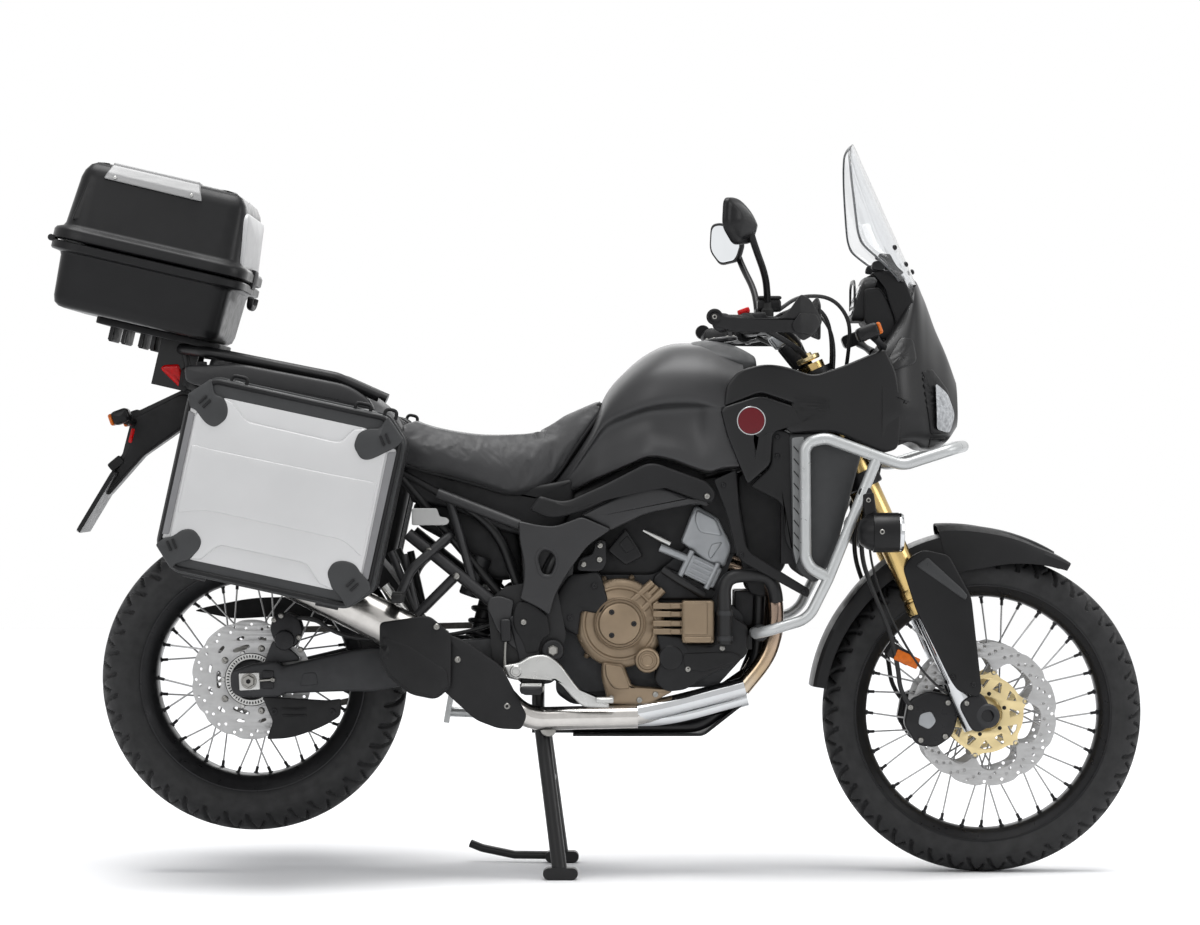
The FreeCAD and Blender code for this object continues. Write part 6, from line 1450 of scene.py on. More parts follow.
# %% Head, box and hoses
def hose(name, route, radius, finish, body="root"):
    """A rubber hose or cable: a smooth third-order curve with a round section, fixed at both ends."""
    curve = bpy.data.curves.new(name, "CURVE")
    curve.dimensions = "3D"
    curve.bevel_depth = radius * MM
    curve.bevel_resolution = 4
    curve.use_fill_caps = True
    curve.resolution_u = 10
    route = np.asarray(route, float) * MM
    spline = curve.splines.new("NURBS")
    spline.points.add(len(route) - 1)
    spline.points.foreach_set("co", np.column_stack([route, np.ones(len(route))]).ravel())
    spline.order_u = 3
    spline.use_endpoint_u = True
    curve.materials.append(finish)
    piece = bpy.data.objects.new(name, curve)
    bpy.context.collection.objects.link(piece)
    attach(piece, body)
    return piece


pair_panel("head_cover", [(204, 795, 10), (252, 768, 10), (282, 706, 12), (266, 662, 6), (228, 672, 8),
    (196, 698, 6), (172, 716, 6), (182, 742, 10), (194, 774, 10)], 128, grey_cast, thick=70, edge=7,
    crown=2, rings=5)
pair_panel("head_cover_top", [(206, 786, 8), (248, 764, 8), (262, 728, 8), (212, 736, 10), (202, 762, 8)],
    134, grey_cast, thick=10, edge=4)
pair_panel("head_cover_boss", [(238, 712, 6), (262, 716, 5), (236, 678, 5), (230, 690, 6)], 133,
    grey_cast, thick=8, edge=3)
pair_panel("cylinder_base", [(176, 650, 6), (250, 612, 8), (240, 592, 6), (120, 592, 8), (112, 640, 10),
    (140, 664, 8)], 118, black_cast, thick=60, edge=5)
pair(tube, "coolant_stub", [(128, 132, 704), (186, 132, 680)], 8.5, grey_cast)
pair(tube, "throttle_stub", [(92, 130, 741), (112, 130, 731), (150, 130, 712)], 6, bare_alloy, step=6,
    scale=[(0, 0.55), (0.6, 1)])
pair(hose, "breather_hose", [(134, 138, 658), (160, 142, 640), (190, 142, 622), (222, 136, 602)], 9,
    hose_rubber)
pair_panel("relay_box", [(55, 745, 5), (92, 686, 5), (55, 666, 5), (15, 698, 5)], 140, smooth_plastic,
    thick=40, edge=4)
pair_panel("relay_box_lid", [(58, 730, 3), (76, 704, 3), (56, 692, 3), (40, 712, 3)], 143, smooth_plastic,
    thick=6, edge=2)
for side in (RIGHT, LEFT):
    tag = SIDE_NAMES[side]
    down = unit(np.array([0.066, -0.032]))
    lower = [np.array([0.194, 0.692]) + down * k for k in (0, 0.075)]
    drop = np.array([down[1], -down[0]]) * 0.048
    line = [*lower, lower[1] + drop, lower[0] + drop]
    panel(f"cylinder_box_{tag}", [(x / MM, z / MM, 5) for x, z in line], side_place(136, side), grey_cast,
        thick=80, edge=4)
    ends = np.array([[lower[0] + drop * k + down * 0.012, lower[1] + drop * k - down * 0.008]
        for k in (0.16, 0.38, 0.6, 0.82)])
    starts, stops = (np.insert(ends[:, k], 1, side * 0.136, axis=1) for k in (0, 1))
    struts(f"cylinder_box_ribs_{tag}", starts, stops, 3.4, grey_cast)
    for k, at in enumerate((0.0, 0.062)):
        base = lower[0] + down * at - drop * 0.12
        tip = base + drop * 1.24
        tube(f"cylinder_flange_{tag}_{k}", [(base[0] / MM, side * 134, base[1] / MM),
            (tip[0] / MM, side * 134, tip[1] / MM)], 6.5, grey_cast)
hose("coolant_hose", [(265, -176, 500), (265, -176, 570), (262, -172, 640), (318, -160, 648),
    (372, -150, 640), (376, -138, 590)], 15, hose_rubber)
for number, (x, z) in enumerate(((265, 512), (265, 566))):
    ring_of(f"hose_clip_{number}", (x * MM, -0.176, z * MM), (0, 0, 1),
        [(15, -5), (17.2, -5), (17.2, 5), (15, 5)], dark_cast, sides=32)
panel("airbox", [(-70, 640, 20), (-98, 760, 20), (-60, 822, 20), (20, 866, 20), (104, 912, 30),
    (210, 892, 20), (240, 850, 10), (226, 800, 10), (214, 720, 20), (120, 640, 20)], 104, grained_plastic,
    thick=208, edge=14, crown=3, rings=5)
panel("rear_inner_guard", [(-404, 800, 20), (-350, 812, 20), (-176, 738, 20), (-168, 640, 14),
    (-214, 630, 20), (-262, 650, 20), (-300, 700, 30), (-396, 752, 20)], 84, grained_plastic, thick=168,
    edge=10, crown=3, spine=((-360, 780), (-220, 700)))
turned("generator_cover", (0.062, 0.098, 0.530), (0, 1, 0), [(0, -4), (84, -4), (86, 20), (84, 46),
    (78, 54), (60, 58), (58, 62), (40, 64), (38, 61), (0, 61)], bronze_paint, sides=80)
gen_turn = np.arange(8) * math.pi / 4
fasteners("generator_bolts", np.stack([62 + 88 * np.cos(gen_turn), 0 * gen_turn + 108,
    530 + 88 * np.sin(gen_turn)], 1), (0, 1, 0), 7, 12, bronze_paint)
panel("front_sprocket_cover", [(-94, 440, 30), (-94, 562, 40), (-6, 594, 20), (4, 500, 30),
    (-2, 428, 20)], side_place(134, LEFT), grained_plastic, thick=36, edge=8, crown=4)
tube("header_outer", [(318, -56, 662), (352, -84, 648), (374, -106, 604), (376, -110, 530),
    (358, -112, 468), (304, -114, 402)], 18, pipe_steel, bend=50)
tube("header_sleeve", [(308, -114, 405), (150, -124, 364), (40, -150, 345)], 22, polished, bend=80)
tube("header_sleeve_low", [(314, -96, 382), (150, -106, 336), (20, -144, 342)], 18, polished, bend=80)
panel("sump_side", [(-95, 432, 10), (14, 432, 10), (60, 384, 14), (44, 368, 10), (-60, 366, 14),
    (-95, 390, 14)], 84, black_cast, thick=168, edge=6)
pair(turned, "crash_bar_end", np.array([342, 104, 522]) * MM, (0, 1, 0),
    [(0, 0), (17, 0), (18, 3), (18, 26), (16, 29), (10, 29), (9, 26), (0, 26)], dark_cast, sides=40)
pair_panel("radiator_back", [(296, 860, 10), (398, 860, 10), (398, 668, 10), (352, 596, 14),
    (318, 606, 14), (296, 700, 20)], 108, grained_plastic, thick=20, edge=4)
print("head, hoses and left covers fitted")
# %% [markdown]
# ## Seats
# A motorcycle seat is moulded foam on a plastic base, under a vinyl cover that is stapled below the
# edge. The cover is cut in a top and a side, and the seam between them pulls it in a little. The
# shape of a stretched cover is a matter of pressure, so it is let out by a short cloth simulation
# from a smaller block, with the stapled base held, and the seam is drawn in afterwards.

# %% Fill a cover
def settled(piece):
    """Make what a piece's modifiers give its own mesh, and clear them."""
    graph = bpy.context.evaluated_depsgraph_get()
    mesh = bpy.data.meshes.new_from_object(piece.evaluated_get(graph))
    piece.modifiers.clear()
    old, piece.data = piece.data, mesh
    bpy.data.meshes.remove(old)


def places(mesh):
    """A mesh's points as rows."""
    spots = np.empty(len(mesh.vertices) * 3)
    mesh.vertices.foreach_get("co", spots)
    return spots.reshape(-1, 3)


def stuffed(piece, held, seams, room=15, voxel=5, pressure=4.0):
    """Fill a closed cover with air from inside, then draw it in along its seams.

    held gives the weight of each point that stays where it is. No point moves further than room.
    A seam moves points towards the middle of the seat by 3 mm * exp(-(distance / 5 mm)^2).
    """
    voxels = piece.modifiers.new("voxels", "REMESH")
    voxels.mode, voxels.voxel_size = "VOXEL", voxel * MM
    even = piece.modifiers.new("even", "SMOOTH")
    even.iterations = 8
    settled(piece)
    before = places(piece.data)
    group = piece.vertex_groups.new(name="stapled")
    for number in np.nonzero(held(before / MM))[0].tolist():
        group.add([number], 1.0, "REPLACE")
    cloth = piece.modifiers.new("filling", "CLOTH")
    cloth.settings.use_pressure = True
    cloth.settings.uniform_pressure_force = pressure
    cloth.settings.vertex_group_mass = "stapled"
    cloth.settings.effector_weights.gravity = 0
    for moment in range(1, 21):
        bpy.context.scene.frame_set(moment)
    settled(piece)
    move = places(piece.data) - before
    far = np.linalg.norm(move, axis=1, keepdims=True)
    before = before + move * np.minimum(1, room * MM / np.maximum(far, 1e-9))
    piece.data.vertices.foreach_set("co", before.ravel())
    bpy.context.scene.frame_set(1)
    piece.vertex_groups.clear()
    piece.modifiers.new("finer", "SUBSURF").levels = 1
    settled(piece)
    spots = places(piece.data)
    for seam in seams:
        line = evenly(eased(np.array(seam, float) * MM, 0.04), 0.003)
        gap = np.sqrt(((spots[:, None] - line[None]) ** 2).sum(-1).min(1))
        inwards = unit(np.array([0, 0, -0.25]) - spots * (0, 8, 0))
        spots = spots + inwards * (0.003 * np.exp(-(gap / 0.005) ** 2))[:, None]
    piece.data.vertices.foreach_set("co", spots.ravel())
    piece.data.shade_smooth()
    print(piece.name, len(spots), "points")


# %% Two seats
SEATS = {  # (x, then height and half width at base, side, edge and top), and the seam's route
    "rider_seat": ([
        (-422, 880, 128, 930, 150, 968, 140, 978, 96), (-380, 866, 128, 910, 156, 950, 146, 960, 96),
        (-330, 854, 126, 900, 158, 938, 148, 947, 96), (-258, 834, 124, 880, 154, 928, 142, 937, 92),
        (-187, 812, 116, 850, 142, 924, 124, 937, 78), (-138, 822, 100, 850, 122, 928, 104, 942, 64),
        (-98, 846, 84, 870, 98, 944, 84, 960, 52), (-46, 924, 78, 940, 86, 976, 76, 996, 46),
        (2, 990, 60, 1002, 64, 1014, 60, 1026, 40)],
        [(-424, 147, 958), (-330, 151, 930), (-258, 146, 916), (-187, 130, 912), (-138, 108, 916),
         (-98, 90, 930), (-46, 82, 966), (0, 64, 1004)]),
    "pillion_seat": ([
        (-844, 1062, 76, 1085, 88, 1112, 82, 1122, 52), (-760, 1028, 92, 1056, 108, 1086, 98, 1101, 62),
        (-660, 992, 104, 1016, 122, 1058, 112, 1074, 70), (-535, 940, 112, 972, 134, 1034, 122, 1054, 78),
        (-476, 916, 114, 946, 138, 998, 128, 1012, 84), (-427, 900, 114, 932, 138, 970, 128, 982, 90)],
        [(-844, 87, 1098), (-660, 118, 1040), (-535, 130, 1010), (-476, 135, 978), (-427, 136, 954)]),
}
for name, (rows, seam) in SEATS.items():
    inset = 7
    half = [(x, [(12, zb), (hb - inset, zb), (hs - inset, zs), (hm - inset, zm - inset / 2),
        (ht, zt - inset), (12, zt - inset + 2)]) for x, zb, hb, zs, hs, zm, hm, zt, ht in rows]
    pad = skin(name, skin_points(half, 5, 4), seat_vinyl, stands_for=[name])
    base_z = np.array([[row[0], row[1]] for row in rows], float)
    stuffed(pad, lambda p, b=base_z: p[:, 2] < np.interp(p[:, 0], b[:, 0], b[:, 1]) + 14,
        [[(x, side * y, z) for x, y, z in seam] for side in (RIGHT, LEFT)])
    for side in (RIGHT, LEFT):
        tube(f"{name}_base_edge_{SIDE_NAMES[side]}", [(x, side * (hb - 1), zb + 3)
            for x, zb, hb, *_ in rows], 4.5, grained_plastic, step=8, sides=10)
panel("seat_nose_seal", [(-122, 826, 8), (-92, 892, 14), (-50, 950, 14), (-2, 1018, 8), (12, 1010, 6),
    (-8, 940, 14), (-58, 868, 14), (-98, 824, 8)], 52, grained_plastic, thick=104, edge=6)
panel("seat_side_skirt", [(-404, 800, 10), (-424, 905, 10), (-300, 872, 30), (-190, 830, 20),
    (-100, 842, 20), (-58, 852, 10), (-56, 790, 20), (-84, 740, 14), (-150, 728, 14), (-200, 736, 20),
    (-330, 790, 30)], 112, grained_plastic, thick=224, edge=8, spine=((-340, 850), (-140, 806)))

# %% [markdown]
# ## Handlebar and cockpit
# The bar is a tapered alloy tube in two clamps. Each end carries a ribbed rubber grip, a switch
# housing, a forged lever, a mirror on a bent stem, and a moulded hand shield that starts at the bar
# end and wraps round the lever. These ride the steering body; the dash and three cables do not.

# %% Grips, switches and levers
def block(name, place, size, finish, body="root", lean=0.0, corner=5, edge=4, crown=1.5, **more):
    """A rounded casting or box: middle and size in mm, leaning by degrees in the side view.

    Its crowned face looks away from the middle of the machine, and to the left on the middle.
    """
    x, y, z = place
    side = RIGHT if y < 0 else LEFT
    long, wide, high = (n / 2 for n in size)
    c, s = math.cos(math.radians(lean)), math.sin(math.radians(lean))
    line = [(-long, -high, corner), (long, -high, corner), (long, high, corner), (-long, high, corner)]
    origin = np.array((x * MM, y * MM, z * MM)) + (0, side * wide * MM, 0)
    return panel(name, line, (origin, (c, 0, s), (-s, 0, c), (0, side, 0)), finish, body, thick=2 * wide,
        edge=edge, crown=crown, step=3, rings=4, **more)


grip_rows = np.arange(0, 118, 5.0)
grip_profile = [(0, 0), (19.5, 0), (20.5, 2), (20.5, 6), (18, 8)]
grip_profile += [point for h in grip_rows[2:-1] for point in ((16.8, h), (18, h + 1), (18, h + 3.4),
    (16.8, h + 4.2))]
grip_profile += [(21.5, 117), (22.5, 119), (22.5, 123), (18, 127), (0, 127)]
pair(block, "switch_box", (322, 292, 1179), (54, 46, 38), grained_plastic, "steering", lean=6, corner=8,
    edge=6)
pair(block, "lever_perch", (368, 258, 1180), (46, 26, 24), black_cast, "steering", lean=-6, corner=7,
    edge=4)
pair(turned, "lever_pivot", np.array([388, 264, 1164]) * MM, (0, 0, 1),
    [(0, 0), (8, 0), (9, 3), (9, 20), (7, 24), (0, 24)], zinc_steel, "steering", sides=24)
pair(tube, "lever", [(388, 264, 1172), (384, 320, 1168), (358, 372, 1164), (334, 418, 1161)], 6,
    anodised_black, "steering", bend=40, step=4, scale=[(0, 1.1), (0.3, 0.9), (0.9, 0.75), (0.93, 1.15),
    (1, 1.1)])
pair(turned, "bar_clamp", np.array([451, 28, 1185]) * MM, (0, 1, 0),
    [(0, 0), (16, 0), (18, 3), (18, 27), (16, 30), (0, 30)], dark_cast, "steering", sides=40)
pair(tube, "riser_cover", [(404, 42, 1142), (428, 42, 1112), (440, 42, 1098)], 21, dark_cast, "steering",
    step=4)
pair(block, "riser_block", (388, 42, 1152), (34, 40, 30), grey_cast, "steering", lean=40)
pair(turned, "mirror_boot", np.array([352, 256, 1190]) * MM, (0, 0, 1),
    [(0, 0), (13, 0), (13, 16), (9, 22), (8, 34), (0, 34)], grip_rubber, "steering", sides=32)
pair(tube, "mirror_stem", [(352, 256, 1196), (352, 256, 1232), (346, 300, 1276), (322, 366, 1330),
    (308, 384, 1372)], 7.5, smooth_plastic, "steering", node="mirrors", bend=45, step=6)
for side in (RIGHT, LEFT):
    tag = SIDE_NAMES[side]
    end = np.array([250, side * 430, 1172]) * MM
    inward = unit(np.array([122, -side * 260, 8]))
    turned(f"grip_{tag}", end + inward * 0.006, inward, grip_profile, grip_rubber, "steering", sides=32,
        stands_for=["grips_and_levers"] if side == LEFT else ())
    turned(f"bar_end_{tag}", end - inward * 0.016, inward, [(0, 0), (9, 0), (16, 3), (18, 8), (18, 20),
        (0, 22)], anodised_black, "steering", sides=40)
    turned(f"switch_barrel_{tag}", end + inward * 0.135, inward, [(0, 0), (20, 0), (23, 3), (23, 40),
        (20, 44), (0, 44)], grained_plastic, "steering", sides=40)
    block(f"switch_rocker_{tag}", (300, side * 304, 1201), (26, 20, 12),
        red_lens if side == RIGHT else pale_grey, "steering", lean=20, corner=3, edge=2)
    # The mirror's stem grows from the perch, and its shell faces forwards and outwards.
    out = unit(np.array([0.85, side * 0.53, 0]))
    along = np.array([out[1] * side, -out[0] * side, 0])
    spot = np.array([297, side * 392, 1382]) * MM
    shape = [(-62, 48, 16), (-14, 51, 26), (40, 26, 30), (66, -2, 14), (46, -42, 18), (-24, -48, 16),
        (-68, -12, 18)]
    panel(f"mirror_shell_{tag}", shape, (spot, along, (0, 0, 1), out), smooth_plastic, "steering",
        thick=14, edge=9, crown=16, rings=9, step=4, spine=((-26, 6), (20, -6)))
    back = [(x * 0.9, z * 0.88, r) for x, z, r in shape]
    panel(f"mirror_glass_{tag}", back, (spot - out * 0.0145, along, (0, 0, 1), -out), mirror_glass,
        "steering", thick=3, edge=1, crown=0.8, rings=7)

# %% Hand shields
pair(turned, "handguard_end", np.array([235, 449, 1184]) * MM, (0, 1, 0),
    [(0, -8), (16, -8), (17, 2), (15, 5), (11, 5), (9, 2), (0, 2)], smooth_plastic, "steering", sides=40)
pair(fasteners, "handguard_screw", [(235, 451, 1184)], (0, 1, 0), 6, 4, zinc_steel, "steering")
for side in (RIGHT, LEFT):
    tag = SIDE_NAMES[side]
    flush = side_place(0, side)

    def wrap(a, b):
        """The shield's plan: it runs out along the grip, then turns in ahead of the lever."""
        return np.interp(a, [216, 236, 385, 412, 440, 462], [450, 452, 460, 450, 424, 398])

    panel(f"handguard_{tag}", [(218, 1184, 12), (234, 1198, 12), (256, 1190, 10), (292, 1181, 8),
        (366, 1181, 10), (388, 1198, 8), (412, 1232, 8), (432, 1222, 8), (452, 1192, 10), (460, 1176, 8),
        (440, 1148, 12), (416, 1134, 8), (398, 1152, 10), (330, 1152, 14), (276, 1154, 20),
        (232, 1166, 12)], flush, grained_plastic, "steering", thick=9, edge=3.5, crown=1.5,
        spine=((240, 1182), (430, 1180)), rings=8, lie=wrap, stands_for=["handguards"] if side == LEFT
        else ())
    panel(f"handguard_wedge_{tag}", [(392, 1168, 5), (410, 1193, 5), (446, 1191, 8), (455, 1170, 8),
        (436, 1148, 8), (400, 1152, 6)], flush, grained_plastic, "steering", thick=8, edge=3, crown=2,
        rings=5, lie=lambda a, b: wrap(a, b) + 5)
    panel(f"handguard_front_{tag}", [(256, 1160, 8), (330, 1146, 20), (400, 1138, 8), (404, 1212, 10),
        (380, 1228, 10), (310, 1214, 20), (256, 1196, 8)], ((0, 0, 0), (0, side, 0), (0, 0, 1),
        (1, 0, 0)), grained_plastic, "steering", thick=6, edge=3, crown=2, rings=6,
        spine=((280, 1180), (380, 1180)), lie=lambda a, b: np.interp(a, [250, 400], [432, 456]))

# %% Master cylinder, cables and instruments
block("fluid_cup", (356, -236, 1216), (50, 42, 26), smooth_plastic, "steering", corner=8, edge=5)
block("fluid_cup_lid", (356, -236, 1232), (52, 44, 8), grained_plastic, "steering", corner=7, edge=3)
block("front_master_cylinder", (344, -214, 1200), (34, 60, 22), black_cast, "steering")
for number, (side, route) in enumerate(((RIGHT, [(376, 240, 1206), (420, 214, 1238), (492, 176, 1238),
        (534, 140, 1190), (532, 112, 1120), (520, 84, 1040)]), (RIGHT,
        [(384, 232, 1196), (430, 200, 1224), (478, 168, 1206), (496, 130, 1150), (494, 90, 1050)]),
        (LEFT, [(376, 240, 1200), (424, 206, 1228), (486, 170, 1220), (518, 130, 1160), (508, 80, 1046)]),
        (RIGHT, [(352, 226, 1164), (410, 170, 1136), (444, 118, 1108), (458, 84, 1086)]),
        (LEFT, [(352, 226, 1164), (410, 170, 1136), (444, 118, 1108), (458, 84, 1086)]))):
    route = [(x, side * y, z) for x, y, z in route]
    if number > 2:
        hose(f"bar_cable_{number}", route, 5.8, hose_rubber, "steering")
        continue
    # The upper end sits at the bar and the lower one in the nose; the cable rides no body.
    cable = tube(f"bar_cable_{number}", route, 4.2, hose_rubber, None, bend=60, sides=12)
    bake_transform(cable)
dash = ((0.552, 0, 0), (0, 1, 0), (0, 0, 1), (-1, 0, 0))


def tilt(a, b):
    """The dash leans back by 0.32 of its height."""
    return -(b - 1234) * 0.32


panel("dash_housing", [(-86, 1190, 16), (86, 1190, 16), (82, 1272, 20), (48, 1286, 14), (-48, 1286, 14),
    (-82, 1272, 20)], dash, grained_plastic, thick=30, edge=6, rings=5, lie=tilt,
    stands_for=["instrument_panel"])
rim("dash_bezel", [(-76, 1198, 12), (76, 1198, 12), (72, 1266, 14), (44, 1278, 10), (-44, 1278, 10),
    (-72, 1266, 14)], (np.array(dash[0]) + (-0.002, 0, 0), *dash[1:]),
    [(-2, 0), (-2, 4), (3, 5), (6, 1), (6, 0)], smooth_plastic)
for name, line in (("speed", [(-66, 1222, 6), (20, 1222, 6), (20, 1268, 8), (-66, 1268, 8)]),
        ("clock", [(28, 1222, 6), (66, 1222, 6), (66, 1268, 8), (28, 1268, 8)]),
        ("telltale", [(-66, 1204, 4), (66, 1204, 4), (66, 1215, 4), (-66, 1215, 4)])):
    panel(f"dash_{name}_glass", line, dash, dial_glass, thick=4, edge=1.2, crown=0.6,
        lie=lambda a, b: tilt(a, b) + 3)
# %% [markdown]
# ## Fork, mudguard and front brake
# The gold outer tubes of an upside-down fork end in a thicker sleeve with a dust seal, and the
# chromed legs slide in it. The mudguard is a moulded channel whose sides deepen towards the fork,
# and a shield covers each leg. The caliper is a machined alloy body under a plastic cover, and its
# hose hangs in a loop from the bars, because the wheel moves up and down.

# %% Channels round a wheel
def channel(name, axle, turns, radii, depths, half, finish, body="root", stands_for=()):
    """A moulded channel round an axle: a crowned section of (y, height) carried through an angle.

    turns are degrees from straight ahead, upwards; radii and depths in mm belong to them. The wall
    is 3 mm, and the points of the section go out along the crown and back along its inside.
    """
    turn = np.linspace(turns[0], turns[-1], 60)
    radius, deep = np.interp(turn, turns, radii), np.interp(turn, turns, depths)
    across_y = np.array([-1, -1, -0.93, -0.6, 0, 0.6, 0.93, 1, 1])
    drop = np.array([1, 0.3, 0.06, -0.06, -0.1, -0.06, 0.06, 0.3, 1])
    y = np.concatenate([across_y * half, across_y[::-1] * (half - 3)])
    height = -np.concatenate([drop, drop[::-1]]) * deep[:, None]
    height[:, 9:] -= 3 * np.abs(np.cos(np.linspace(-1.3, 1.3, 9)))
    out = np.stack([np.cos(np.radians(turn)), 0 * turn, np.sin(np.radians(turn))], 1)
    points = (axle + out[:, None] * ((radius[:, None] + height) * MM)[..., None] + np.array([0, 1, 0])
        * (y * MM)[None, :, None])
    return put(name, points, grid(len(turn), len(y)), finish, body, stands_for=stands_for,
        caps=end_caps(len(turn), len(y)))


channel("mudguard_blade", FRONT_AXLE, (60, 72, 90, 104), (374, 377, 394, 411), (18, 38, 80, 104), 72,
    grained_plastic, "steering", stands_for=["front_mudguard"])
channel("mudguard_rear", FRONT_AXLE, (98, 114, 140, 171), (394, 393, 380, 375), (44, 40, 34, 30), 70,
    smooth_plastic, "steering")
channel("mudguard_crest", FRONT_AXLE, (66, 90, 103), (381, 401, 416), (6, 10, 14), 34, grey_plastic,
    "steering")

# %% Fork sleeves, shields and calipers
FORK_RADIUS = 0.028
fork_end = np.array([high("fork_tubes")[0] - FORK_RADIUS * STEER_UP[2], 0,
    low("fork_tubes")[2] + FORK_RADIUS * STEER_AHEAD[2]])
pair_panel("fork_guard", [(646, 660, 10), (660, 684, 12), (690, 700, 14), (744, 688, 12), (792, 600, 16),
    (814, 402, 8), (806, 384, 8), (764, 398, 10), (748, 420, 14), (674, 570, 20)], 143, smooth_plastic,
    "steering", thick=9, edge=3.5, crown=4, rings=7, spine=((700, 660), (790, 430)), step=5)
pair_panel("fork_guard_facet", [(673, 666, 4), (698, 684, 4), (770, 618, 4), (784, 602, 4),
    (778, 592, 4)], 149, grey_plastic, "steering", thick=9, edge=3, crown=1)
pair(fasteners, "fork_guard_screws", [(700, 146, 668), (796, 146, 412), (752, 146, 428)], (0, 1, 0), 6,
    3.5, anodised_black, "steering")
pair(ring_of, "axle_ring", FRONT_AXLE + (0, 0.131, 0), (0, 1, 0), [(12.6, 0), (24, 0), (26, 2), (26, 6),
    (22, 9), (14, 9), (12.6, 7)], dark_cast, "steering", sides=56)
pair(block, "axle_foot", (806, 124, 352), (78, 26, 58), black_cast, "steering", lean=-62, corner=22,
    edge=6)
pair(fasteners, "axle_pinch_bolts", [(782, 138, 372), (790, 138, 396)], (0, 1, 0), 6, 5, zinc_steel,
    "steering")
# A radial caliper in its cover, with the bridge, the pistons' bosses and four pins.
pair_panel("caliper_cover", [(650, 326, 10), (660, 378, 14), (700, 397, 14), (748, 388, 12),
    (768, 348, 14), (754, 300, 12), (720, 276, 12), (678, 280, 14)], 116, anodised_black, "steering",
    node="front_brake_calipers", thick=36, edge=7, crown=3, rings=6)
pair_panel("caliper_inner", [(660, 300, 10), (664, 372, 14), (722, 384, 14), (734, 300, 10),
    (700, 288, 10)], 95, anodised_black, "steering", thick=22, edge=4)
pair_panel("caliper_insert", [(680, 326, 6), (684, 348, 8), (708, 354, 6), (720, 332, 8), (704, 314, 8)],
    120, grey_cast, "steering", thick=6, edge=2, crown=1)
pair(fasteners, "caliper_pins", [(664, 117, 362), (744, 117, 372), (686, 117, 292), (738, 117, 300)],
    (0, 1, 0), 6.5, 5, zinc_steel, "steering")
pair(hose, "front_brake_hose", [(592, 88, 890), (566, 104, 780), (556, 116, 690), (582, 128, 612),
    (618, 134, 530), (636, 132, 450), (642, 124, 392), (664, 116, 366)], 5, hose_rubber, "steering")
pair(block, "hose_guide", (640, 128, 476), (52, 6, 30), black_cast, "steering", lean=-28)
pair(block, "reflector", (655, 134, 466), (54, 7, 24), amber_lens, "steering", lean=-24, corner=3,
    edge=1.5)
for side in (RIGHT, LEFT):
    tag = SIDE_NAMES[side]
    end = fork_end + (0, side * 0.105, 0)
    ring_of(f"fork_sleeve_{tag}", end, STEER_UP, [(27, -2), (31, -2), (32.5, 1), (32.5, 24), (31, 27),
        (29.6, 28), (29.6, 32), (31.6, 34), (31.6, 48), (29, 54), (27, 54)], gold_fork, "steering",
        sides=64)
    ring_of(f"fork_dust_seal_{tag}", end, STEER_UP, [(22.6, -12), (26, -12), (30, -6), (30, -2.5),
        (22.6, -2.5)], hose_rubber, "steering", sides=64)
    for number, up in enumerate((0.31, 0.50)):
        ring_of(f"clamp_ring_{tag}_{number}", end + STEER_UP * (up - 0.02), STEER_UP,
            [(28.2, 0), (36, 0), (38, 3), (38, 31), (36, 34), (28.2, 34)],
            dark_cast if number else black_cast, "steering", sides=56)
    turned(f"fork_cap_{tag}", end + STEER_UP * 0.585, STEER_UP, [(0, 0), (24, 0), (26, 3), (26, 10),
        (20, 12), (12, 12), (11, 18), (0, 18)], gold_alloy, "steering", sides=48)
hose("wheel_sensor_wire", [(604, -86, 888), (580, -100, 780), (574, -116, 690), (604, -130, 590),
    (648, -137, 500), (702, -138, 420), (742, -122, 392)], 2.6, hose_rubber, "steering")
print("front end dressed")

# %% [markdown]
# ## Lamps, signals and radiator
# A fog lamp is a moulded drum with a bright rim, a reflector and a clear lens. Signals are dark
# bodies on rubber stalks with a tinted lens. The radiator's cores are rows of thin fins between
# flat tubes, so a row of louvres stands in front of them.

